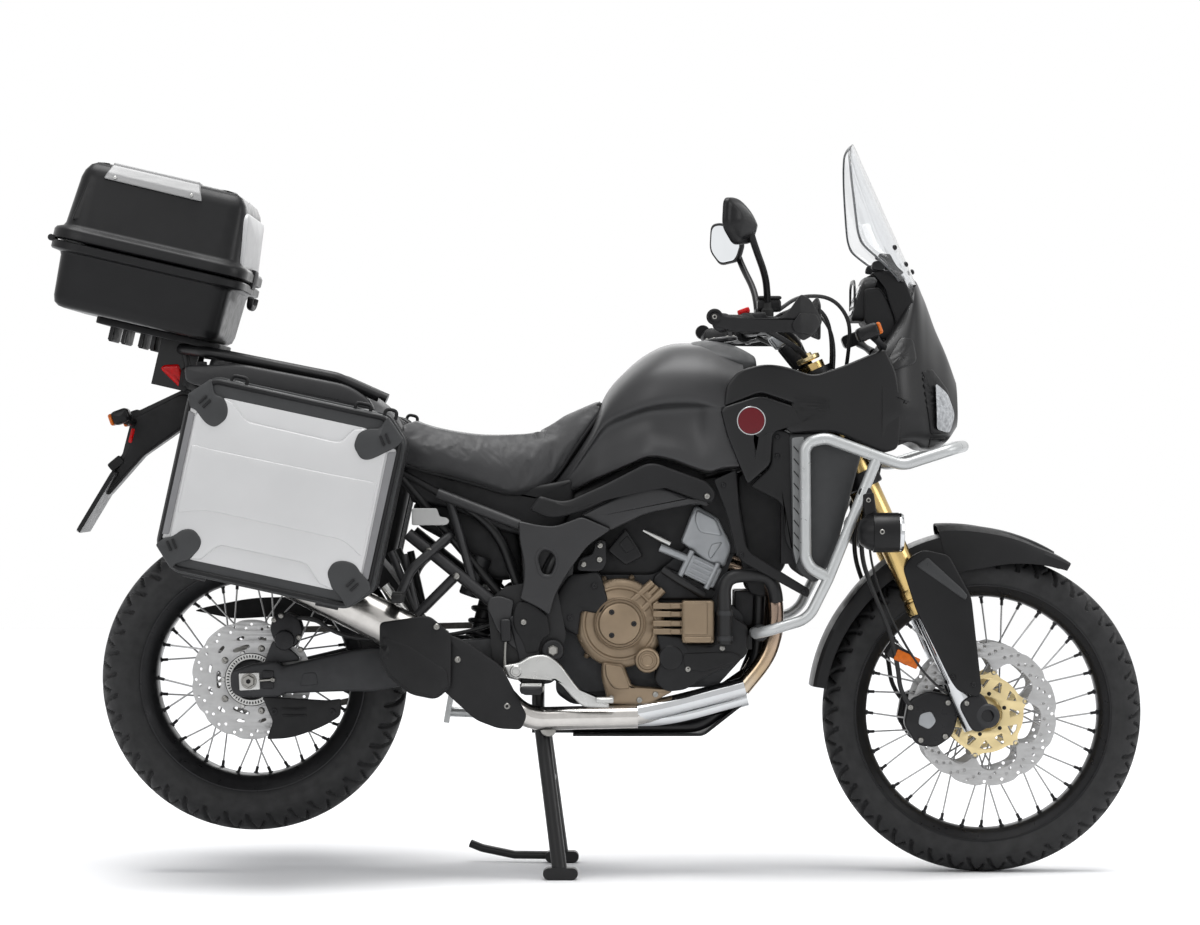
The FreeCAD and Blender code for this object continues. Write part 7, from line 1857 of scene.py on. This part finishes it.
# %% Fog lamps, signals and radiator louvres
pair(block, "fog_bracket", (568, 226, 796), (26, 12, 52), smooth_plastic, lean=8, corner=6)
pair(turned, "fog_bar_clip", np.array([560, 214, 820]) * MM, (0, 1, 0),
    [(0, 0), (14, 0), (15, 2), (15, 14), (13, 16), (0, 16)], black_cast, sides=32)
pair(fasteners, "fog_screws", [(592, 272, 740), (566, 231, 806)], (0, 1, 0), 6, 3, zinc_steel)
pair(tube, "front_signal_stalk", [(604, 150, 1128), (578, 226, 1152)], 10, hose_rubber, step=5,
    scale=[(0, 1), (0.45, 0.75), (0.6, 0.75), (1, 1)])
pair(tube, "rear_signal_stalk", [(-1010, 27, 972), (-1016, 96, 976)], 9, hose_rubber, step=5,
    scale=[(0, 1), (0.45, 0.75), (0.6, 0.75), (1, 1)])
for side in (RIGHT, LEFT):
    tag = SIDE_NAMES[side]
    drum = np.array([544, side * 232, 738]) * MM
    turned(f"fog_drum_{tag}", drum, (1, 0, 0), [(0, 0), (16, 0), (26, 5), (35, 18), (39, 30), (39.5, 31),
        (42, 32), (42, 84), (40.5, 88), (38.5, 88), (38.5, 80), (0, 80)], smooth_plastic, sides=64,
        stands_for=["fog_lamps"] if side == LEFT else ())
    ring_of(f"fog_rim_{tag}", drum, (1, 0, 0), [(36, 86), (41, 86), (41.5, 90), (39, 95), (36, 93)],
        polished, sides=64)
    turned(f"fog_reflector_{tag}", drum, (1, 0, 0), [(0, 79), (35.5, 79), (36, 90), (28, 85), (12, 81),
        (10, 84), (0, 85)], lamp_mirror)
    turned(f"fog_lens_{tag}", drum, (1, 0, 0), [(0, 91), (36.5, 91), (36.5, 94), (24, 97), (0, 98.5)],
        lens_clear, sides=64)
    for end, (x, y, z, lean, way) in {"front": (564, 236, 1160, 20, 1),
            "rear": (-1024, 116, 984, 20, -1)}.items():
        long = 50 if end == "front" else 40
        block(f"{end}_signal_{tag}", (x, side * y, z), (long, 46, 30), smooth_plastic, lean=lean,
            corner=11, edge=9, stands_for=["turn_signals"] if (end, side) == ("front", LEFT) else ())
        tip = np.array([math.cos(math.radians(lean)), math.sin(math.radians(lean))]) * way * long / 2
        block(f"{end}_signal_lens_{tag}", (x + tip[0], side * y, z + tip[1]), (11, 42, 26), amber_lens,
            lean=lean, corner=5, edge=7)
level = np.arange(0.684, 0.912, 0.0075)
starts = np.stack([0 * level + 0.4205, 0 * level - 0.160, level], 1)
struts("radiator_louvres", starts, starts * (1, -1, 1), 1.6, dark_mesh, sides=6)
across_steps = np.linspace(-0.165, 0.165, 12)
starts = np.stack([0 * across_steps + 0.4225, across_steps, 0 * across_steps + 0.676], 1)
struts("radiator_guard_bars", starts, starts + (0, 0, 0.205), 1.6, frame_paint, sides=6)
turned("radiator_cap", (0.392, -0.12, 0.922), (0, 0, 1), [(0, 0), (18, 0), (20, 3), (20, 10), (17, 13),
    (0, 13)], bare_alloy, sides=40)
print("lamps and signals fitted")
# %% [markdown]
# ## Swingarm, rear brake and chain
# The swingarm is welded alloy under satin paint, with a machined axle block and a draw bolt in a
# slot at each end. The chain is made of plates and rollers at one pitch, so one link's points are
# laid out at equal steps along the belt that two tangents and two arcs make round the sprockets.

# %% Swingarm ends, caliper and guards
ARM_LINE = [(-788, 440, 12), (-740, 456, 10), (-689, 462, 8), (-676, 451, 6), (-533, 485, 40),
    (-482, 492, 60), (-206, 514, 20), (-186, 504, 12), (-186, 478, 12), (-226, 452, 20), (-482, 396, 60),
    (-533, 398, 40), (-674, 393, 6), (-685, 385, 8), (-772, 385, 14), (-788, 400, 14)]
pair_panel("swingarm_arm", ARM_LINE, 141, dark_cast, node="swingarm", thick=36, edge=7, crown=3,
    spine=((-720, 422), (-230, 484)), rings=7)
pair(block, "axle_block", (-747, 144, 419), (44, 8, 37), bare_alloy, lean=3, corner=2, edge=1.5, crown=0)
pair(ring_of, "axle_washer", REAR_AXLE + (0, 0.147, 0), (0, 1, 0),
    [(6, 0), (16, 0), (17, 1), (17, 3), (16, 4), (6, 4)], zinc_steel, sides=48)
pair(ring_of, "axle_nut", REAR_AXLE + (0, 0.150, 0), (0, 1, 0), [(5.5, 0), (13, 0), (14, 2), (14, 9),
    (12, 11), (5.5, 11)], zinc_steel, sides=6)
pair(turned, "axle_end", REAR_AXLE + (0, 0.150, 0), (0, 1, 0), [(0, 0), (5.6, 0), (5.6, 5), (0, 5)],
    black_cast, sides=32)
pair(tube, "draw_bolt", [(-726, 149, 421), (-698, 149, 423)], 2.6, zinc_steel)
pair(fasteners, "draw_bolt_head", [(-697, 147, 423)], (0, 1, 0), 5.5, 6, zinc_steel)
pair_panel("paddock_boss", [(-640, 408, 6), (-600, 412, 6), (-604, 440, 8), (-634, 438, 8)], 145,
    dark_cast, thick=8, edge=3)
for side in (RIGHT, LEFT):
    tag = SIDE_NAMES[side]
    for number, up in enumerate((10, -12)):
        block(f"draw_slot_{tag}_{number}", (-708, side * 144.5, 424 + up), (26, 5, 18), black_cast,
            corner=5, edge=2)
block("swingarm_bridge", (-352, 0, 454), (84, 250, 52), dark_cast, corner=16, edge=2)
tube("swingarm_pivot_tube", [(-206, -118, 492), (-206, 118, 492)], 24, dark_cast)
tube("rear_spindle", [(-748, -142, 420), (-748, 142, 420)], 9, zinc_steel)
panel("rear_caliper_body", [(-706, 528, 8), (-700, 556, 10), (-672, 566, 8), (-644, 556, 10),
    (-634, 524, 10), (-650, 492, 10), (-690, 486, 12)], 118, anodised_black, thick=50, edge=5, crown=2,
    stands_for=["rear_brake_caliper"])
turned("rear_caliper_piston", (-0.674, -0.114, 0.506), (0, -1, 0),
    [(0, 0), (21, 0), (21.5, 12), (20, 16), (17, 17), (0, 16)], anodised_black, sides=48)
panel("rear_caliper_arm", [(-722, 450, 6), (-700, 506, 10), (-684, 500, 10), (-650, 476, 8),
    (-640, 462, 8), (-690, 456, 10)], 112, dark_cast, thick=12, edge=3)
fasteners("rear_caliper_pins", [(-697, -119, 549), (-682, -119, 558), (-644, -119, 512),
    (-640, -119, 486)], (0, -1, 0), 6, 5, zinc_steel)
hose("rear_brake_hose", [(-656, -112, 550), (-620, -116, 560), (-560, -124, 516), (-470, -128, 506),
    (-380, -126, 512), (-290, -118, 520), (-226, -112, 540)], 4.6, hose_rubber)
panel("disc_guard", [(-721, 386, 6), (-680, 384, 8), (-579, 378, 8), (-552, 382, 6), (-554, 345, 8),
    (-590, 322, 30), (-659, 297, 30), (-711, 295, 4), (-698, 333, 6)], 136, grained_plastic, thick=9,
    edge=3, crown=4, rings=6, spine=((-690, 350), (-580, 356)))
for number, (x, z) in enumerate(((-652, 360), (-652, 346))):
    block(f"disc_guard_rib_{number}", (x, -139, z), (54, 5, 6), grained_plastic, corner=2, edge=1.5)
fasteners("disc_guard_screws", [(-695, -138, 355), (-571, -138, 354)], (0, -1, 0), 8, 4, black_cast)
channel("rear_hugger_shell", REAR_AXLE, (22, 50, 88), (377, 377, 377), (40, 34, 30), 88, grained_plastic,
    stands_for=["rear_hugger"])
panel("rear_hugger_foot", [(-391, 458, 3), (-391, 484, 4), (-418, 578, 6), (-434, 562, 6), (-409, 470, 6),
    (-405, 458, 3)], 60, grained_plastic, thick=120, edge=3)
panel("chain_guard", [(-892, 560, 5), (-868, 568, 10), (-764, 589, 40), (-648, 591, 20), (-560, 566, 20),
    (-470, 512, 10), (-482, 494, 6), (-560, 522, 20), (-700, 548, 30), (-804, 542, 20)],
    side_place(118, LEFT), grained_plastic, thick=8, edge=3, crown=2, spine=((-840, 562), (-540, 540)))

# %% Chain, coil springs
CHAIN_PITCH, CHAIN_Y = 0.015875, 0.086
chain_front = np.array([-0.152, 0.492])
rear_pitch, front_pitch = 0.0975, 0.0405
span = chain_front - REAR_AXLE[[0, 2]]
lean = math.atan2(span[1], span[0])
open_angle = math.acos((rear_pitch - front_pitch) / np.linalg.norm(span))
rear_arc = np.linspace(lean + open_angle, lean + 2 * math.pi - open_angle, 60)
front_arc = np.linspace(lean - open_angle, lean + open_angle, 40)
belt = np.vstack([REAR_AXLE[[0, 2]] + rear_pitch * np.stack([np.cos(rear_arc), np.sin(rear_arc)], 1),
    chain_front + front_pitch * np.stack([np.cos(front_arc), np.sin(front_arc)], 1)])
pins = evenly(np.vstack([belt, belt[:1]]), CHAIN_PITCH)[:-1]
ahead = unit(np.roll(pins, -1, 0) - pins)
square = np.stack([-ahead[:, 1], ahead[:, 0]], 1)
turn = np.arange(6) * math.pi / 5
cap_x, cap_z = np.cos(turn - math.pi / 2), np.sin(turn - math.pi / 2)
plate_x = np.concatenate([cap_x * 0.0066 + CHAIN_PITCH, -cap_x * 0.0066])
plate_z = np.concatenate([cap_z, -cap_z]) * 0.0066
flat = (pins[:, None] + plate_x[:, None] * ahead[:, None] + plate_z[:, None] * square[:, None])
stagger = np.where(np.arange(len(pins)) % 2, 0.0018, 0.0)[:, None]
for number, (name, inner) in enumerate((("inner", -0.0065), ("outer", 0.0047))):
    sheet_y = CHAIN_Y + inner + stagger * (1 if inner > 0 else -1)
    wall = np.stack([np.stack([flat[..., 0], sheet_y + k + 0 * flat[..., 0], flat[..., 1]], -1)
        for k in (0, 0.0018)], 1)
    shape, faces, caps = many(wall.reshape(len(pins), -1, 3), grid(2, 12),
        [range(11, -1, -1), range(12, 24)])
    put(f"chain_plates_{name}", shape, faces, chain_steel, caps=caps,
        stands_for=["drive_chain"] if number == 0 else ())
pin_spots = np.insert(pins, 1, CHAIN_Y - 0.0072, axis=1)
struts("chain_rollers", pin_spots, pin_spots + (0, 0.0144, 0), 4.2, chain_steel, sides=8)


def coil(name, start, end, radius, wire, turns, finish):
    """A coil spring: a circle round each point start + t * line + radius * (cos, sin)(turn)."""
    start, line = np.array(start, float) * MM, (np.array(end, float) - np.array(start, float)) * MM
    first, second = across(line)
    t = np.linspace(0, 1, int(turns * 28))
    rise = np.clip((t * turns - 0.75) / (turns - 1.5), 0, 1)
    out = (np.cos(t * turns * 2 * math.pi)[:, None] * first + np.sin(t * turns * 2 * math.pi)[:, None]
        * second)
    cos, sin = circle(10)
    points = (start + rise[:, None, None] * line + out[:, None] * (radius + wire * cos)[:, None] * MM
        + unit(line) * (wire * sin)[:, None] * MM)
    put(name, points, grid(len(t), 10), finish, caps=end_caps(len(t), 10))


coil("shock_spring", (-238, 0, 612), (-278, 0, 450), 26, 5, 7.5, frame_paint)
shock_foot = np.array([-290.0, 0, 402])
for make, name, start, metal, profile, nodes in (  # all three point at the shock's foot
        (turned, "shock_body", (-225, 0, 655), black_cast, [
            (0, 0), (16, 0), (20, 10), (20, 150), (12, 154), (8, 230), (18, 236), (20, 258), (0, 262)],
         ["shock_absorber"]),
        (ring_of, "shock_seat_top", (-236, 0, 618), bare_alloy, [
            (18, 0), (31, 0), (32, 3), (32, 9), (18, 10)], ()),
        (ring_of, "shock_seat_foot", (-280, 0, 448), bare_alloy, [
            (8, 0), (31, 0), (32, 2), (30, 9), (8, 10)], ())):
    make(name, np.array(start, float) * MM, unit(shock_foot - start), profile, metal, sides=48,
        stands_for=nodes)
turned("shock_reservoir", (-0.282, -0.094, 0.600), (0.35, 0, 1), [(0, 0), (20, 0), (22, 3), (22, 84),
    (20, 88), (0, 88)], black_cast, sides=48)
block("shock_link", (-322, 0, 412), (124, 44, 30), dark_cast, lean=-8, corner=12)
print("chain of", len(pins), "links")

# %% [markdown]
# ## Exhaust shields, pegs and seat frame
# Two moulded shields keep boots off the hot pipe. The brake pedal is a forging in light alloy, the
# pegs have rows of teeth, and the seat frame is round tube, bolted at flattened lugs, with a folded
# bracket for each side case.

# %% Shields and foot controls
for name, y, line, spine in (  # y is the outer face, in mm from the middle
        ("rear_shield", 246, [(-464, 549, 10), (-360, 564, 14), (-313, 524, 8), (-314, 412, 10),
                              (-345, 386, 14), (-399, 397, 14), (-444, 432, 14), (-464, 468, 12)],
         ((-430, 500), (-345, 470))),
        ("rear_shield_step", 252, [(-458, 520, 6), (-400, 500, 10), (-322, 448, 8), (-318, 416, 6),
                                   (-345, 392, 8), (-398, 402, 8), (-440, 436, 8), (-458, 470, 6)],
         ((-430, 480), (-350, 430))),
        ("front_shield", 230, [(-330, 528, 8), (-284, 509, 14), (-208, 456, 14), (-154, 352, 10),
                               (-166, 322, 10), (-214, 324, 14), (-262, 342, 14), (-330, 404, 8)],
         ((-280, 470), (-200, 370))),
        ("shield_clip", 256, [(-462, 498, 3), (-444, 503, 3), (-438, 486, 3), (-446, 470, 3),
                              (-462, 474, 3)], None)):
    panel(name, line, side_place(y, RIGHT), grained_plastic, thick=10, edge=4, crown=5, rings=7,
        spine=spine, stands_for=["exhaust_shields"] if name == "rear_shield" else ())
fasteners("shield_screws", [(-300, -233, 470), (-196, -233, 372), (-344, -251, 540)], (0, -1, 0), 7, 4,
    zinc_steel)
panel("brake_pedal", [(-196, 430, 4), (-205, 456, 4), (-174, 462, 8), (-150, 476, 14), (-116, 481, 16),
    (-86, 462, 16), (-56, 420, 16), (-30, 389, 12), (18, 384, 4), (20, 366, 4), (-36, 368, 12),
    (-68, 398, 16), (-94, 436, 14), (-120, 453, 14), (-150, 446, 12), (-172, 424, 8)], 206, bare_alloy,
    thick=18, edge=5, crown=1, step=3, stands_for=["foot_controls"])
turned("brake_pedal_boss", (-0.178, -0.190, 0.444), (0, -1, 0), [(0, -24), (13, -24), (13, 17), (11, 19),
    (8, 19), (7, 16), (0, 16)], bare_alloy)
block("brake_pedal_pad", (10, -216, 384), (38, 34, 12), bare_alloy, corner=3, edge=3)
tube("brake_switch_rod", [(-200, -196, 436), (-202, -196, 470), (-200, -192, 512)], 3, zinc_steel)
block("rear_master_cylinder", (-200, -192, 530), (22, 20, 48), black_cast, lean=2)
tube("gear_lever", [(-148, 192, 440), (-70, 204, 404), (20, 212, 400), (34, 250, 400)], 7.5, bare_alloy,
    bend=24, step=4)
turned("gear_lever_rubber", (0.030, 0.222, 0.400), (0.15, 1, 0), [(0, 0), (11, 0), (12.5, 2), (12.5, 30),
    (11, 32), (0, 32)], grip_rubber, sides=32)
pair_panel("peg_bracket", [(-196, 560, 12), (-140, 560, 12), (-126, 470, 12), (-122, 392, 10),
    (-166, 392, 10), (-172, 470, 12)], 184, black_cast, thick=12, edge=3, crown=1)
pair(turned, "rider_peg_pivot", np.array([-144, 188, 408]) * MM, (1, 0, 0),
    [(0, -26), (8, -26), (9, -24), (9, 24), (8, 26), (0, 26)], zinc_steel, sides=24)
pair(tube, "passenger_arm", [(-321, 118, 730), (-321, 138, 730), (-400, 168, 660), (-426, 188, 600)], 10,
    dark_satin, bend=18)
pair(tube, "case_strut", [(-458, 158, 624), (-398, 158, 542)], 10.5, bare_alloy)
pair(block, "case_strut_end", (-396, 162, 540), (34, 16, 26), bare_alloy, lean=-54)
pair_panel("relay_bracket", [(-401, 788, 2), (-348, 788, 3), (-342, 770, 4), (-326, 768, 6),
    (-320, 760, 6), (-328, 752, 6), (-401, 752, 2)], 150, ivory_plastic, thick=20, edge=2)
pair(fasteners, "stay_bolts", [(-363, 156, 697), (-305, 160, 644), (-412, 166, 517), (-428, 166, 540)],
    (0, 1, 0), 8, 6, zinc_steel)
pair(block, "head_shroud", (262, 104, 772), (84, 24, 170), grained_plastic, lean=10)
pair(block, "oil_cooler", (314, 52, 572), (50, 60, 76), black_cast)
pair(block, "shroud_back", (318, 156, 1008), (76, 10, 64), grained_plastic)
pair_panel("grab_rail", [(-884, 1092, 12), (-762, 1095, 20), (-536, 1052, 30), (-492, 1022, 14),
    (-478, 998, 8), (-560, 988, 14), (-800, 1036, 14), (-880, 1056, 12)], 176, dark_satin, thick=44,
    edge=9, crown=2, spine=((-820, 1070), (-560, 1020)))
for side in (RIGHT, LEFT):
    tag = SIDE_NAMES[side]
    for name, (x, y, z), size in (("rider_peg", (-144, 236, 408), (46, 92, 16)),
            ("passenger_peg", (-426, 226, 600), (26, 80, 20))):
        block(f"{name}_{tag}", (x, side * y, z), size, black_cast if name == "rider_peg" else grip_rubber,
            corner=6, edge=4)
        teeth = np.linspace(y - size[1] * 0.4, y + size[1] * 0.4, 8) * side
        ends = np.stack([0 * teeth + x - size[0] / 2 + 2, teeth, 0 * teeth + z + size[2] / 2], 1) * MM
        struts(f"{name}_teeth_{tag}", ends, ends + ((size[0] - 4) * MM, 0, 0), 2.6,
            bare_alloy if name == "rider_peg" else grip_rubber, sides=6)
    # Seat frame stays outside the plain rails, with lugs, bolts and the case bracket.
    stays = [((-346, 140, 820), (-172, 150, 752), 12), ((-322, 136, 809), (-268, 142, 622), 9),
        ((-410, 134, 734), (-226, 150, 586), 13), ((-312, 140, 640), (-392, 152, 560), 10),
        ((-418, 142, 690), (-390, 150, 566), 8), ((-446, 142, 696), (-390, 150, 566), 8)]
    for number, (a, b, radius) in enumerate(stays):
        tube(f"seat_stay_{tag}_{number}", [(a[0], side * a[1], a[2]), (b[0], side * b[1], b[2])], radius,
            dark_satin)
print("controls and seat frame fitted")

# %% [markdown]
# ## Tail, rack and stands
# The tail lamp is a moulded red lens in a black housing. The plate is left blank, on a backing with
# two screws and a small lamp above it. Stands are welded tube and a cast leg with a broad foot.

# %% Tail and stands
panel("tail_lamp_lens", [(-890, 1043, 3), (-901, 1043, 4), (-947, 1088, 6), (-940, 1096, 6),
    (-906, 1098, 6)], 68, red_lens, thick=136, edge=6, rings=4, step=3, stands_for=["tail_lamp"])
panel("tail_lamp_housing", [(-872, 1046, 6), (-896, 1036, 6), (-908, 1048, 6), (-900, 1090, 6),
    (-874, 1092, 8)], 72, smooth_plastic, thick=144, edge=5)
panel("tail_cowl", [(-756, 1030, 10), (-850, 1068, 20), (-896, 1092, 8), (-900, 1050, 10),
    (-862, 1036, 10), (-770, 996, 10)], 84, grained_plastic, thick=168, edge=12,
    spine=((-790, 1024), (-870, 1060)))
plate_turn = math.radians(31)
plate_out = np.array([-math.cos(plate_turn), 0, math.sin(plate_turn)])
plate_place = (np.array([-1.080, 0, 0.800]) + plate_out * 0.005, (0, 1, 0),
    (math.sin(plate_turn), 0, math.cos(plate_turn)), plate_out)
square_line = [(-84, -74, 10), (84, -74, 10), (84, 74, 10), (-84, 74, 10)]
panel("number_plate_blank", square_line, plate_place, plate_blank, thick=3, edge=1, step=8)
rim("number_plate_rim", square_line, plate_place, [(-2, -6), (-2, 2), (0, 3), (4, 2), (4, -1)],
    smooth_plastic, step=8)
fasteners("number_plate_screws", [(plate_place[0] + np.array([0, y, 0]) + 0.03 * np.array(plate_place[2]))
    / MM for y in (-0.05, 0.05)], plate_out, 5, 3, zinc_steel)
block("number_plate_lamp", (-1046, 0, 884), (34, 70, 20), smooth_plastic, lean=40, corner=5)
pair(block, "tail_reflector", (-1012, 30, 944), (8, 5, 32), red_lens, lean=-14, corner=2, edge=1)
pair_panel("plate_arm_cheek", [(-880, 1030, 8), (-906, 1034, 10), (-1004, 984, 14), (-1022, 906, 16),
    (-1066, 836, 8), (-1054, 832, 8), (-984, 906, 24), (-884, 976, 10)], 31, grained_plastic, thick=8,
    edge=3, crown=1.5, spine=((-920, 1000), (-1010, 920)))
pair(turned, "stand_boss_cap", (-0.110, 0.142, 0.318), (0, 1, 0), [(0, 0), (16, 0), (17, 2), (15, 6),
    (7, 7), (0, 6)], zinc_steel, sides=32)
for side in (RIGHT, LEFT):
    tag = SIDE_NAMES[side]
    for number, x in enumerate((-520, -700, -850)):
        turned(f"rack_foot_{tag}_{number}", np.array([x, side * (152 - 0.05 * abs(x + 560)),
            1052 - 0.18 * (x + 560)]) * MM, (0, 0, 1), [(0, -24), (11, -24), (12, -20), (12, -4),
            (0, -2)], anodised_black, sides=32)
frame["nodes"]["side_stand"].data.materials[0] = silver_paint
print("tail dressed")
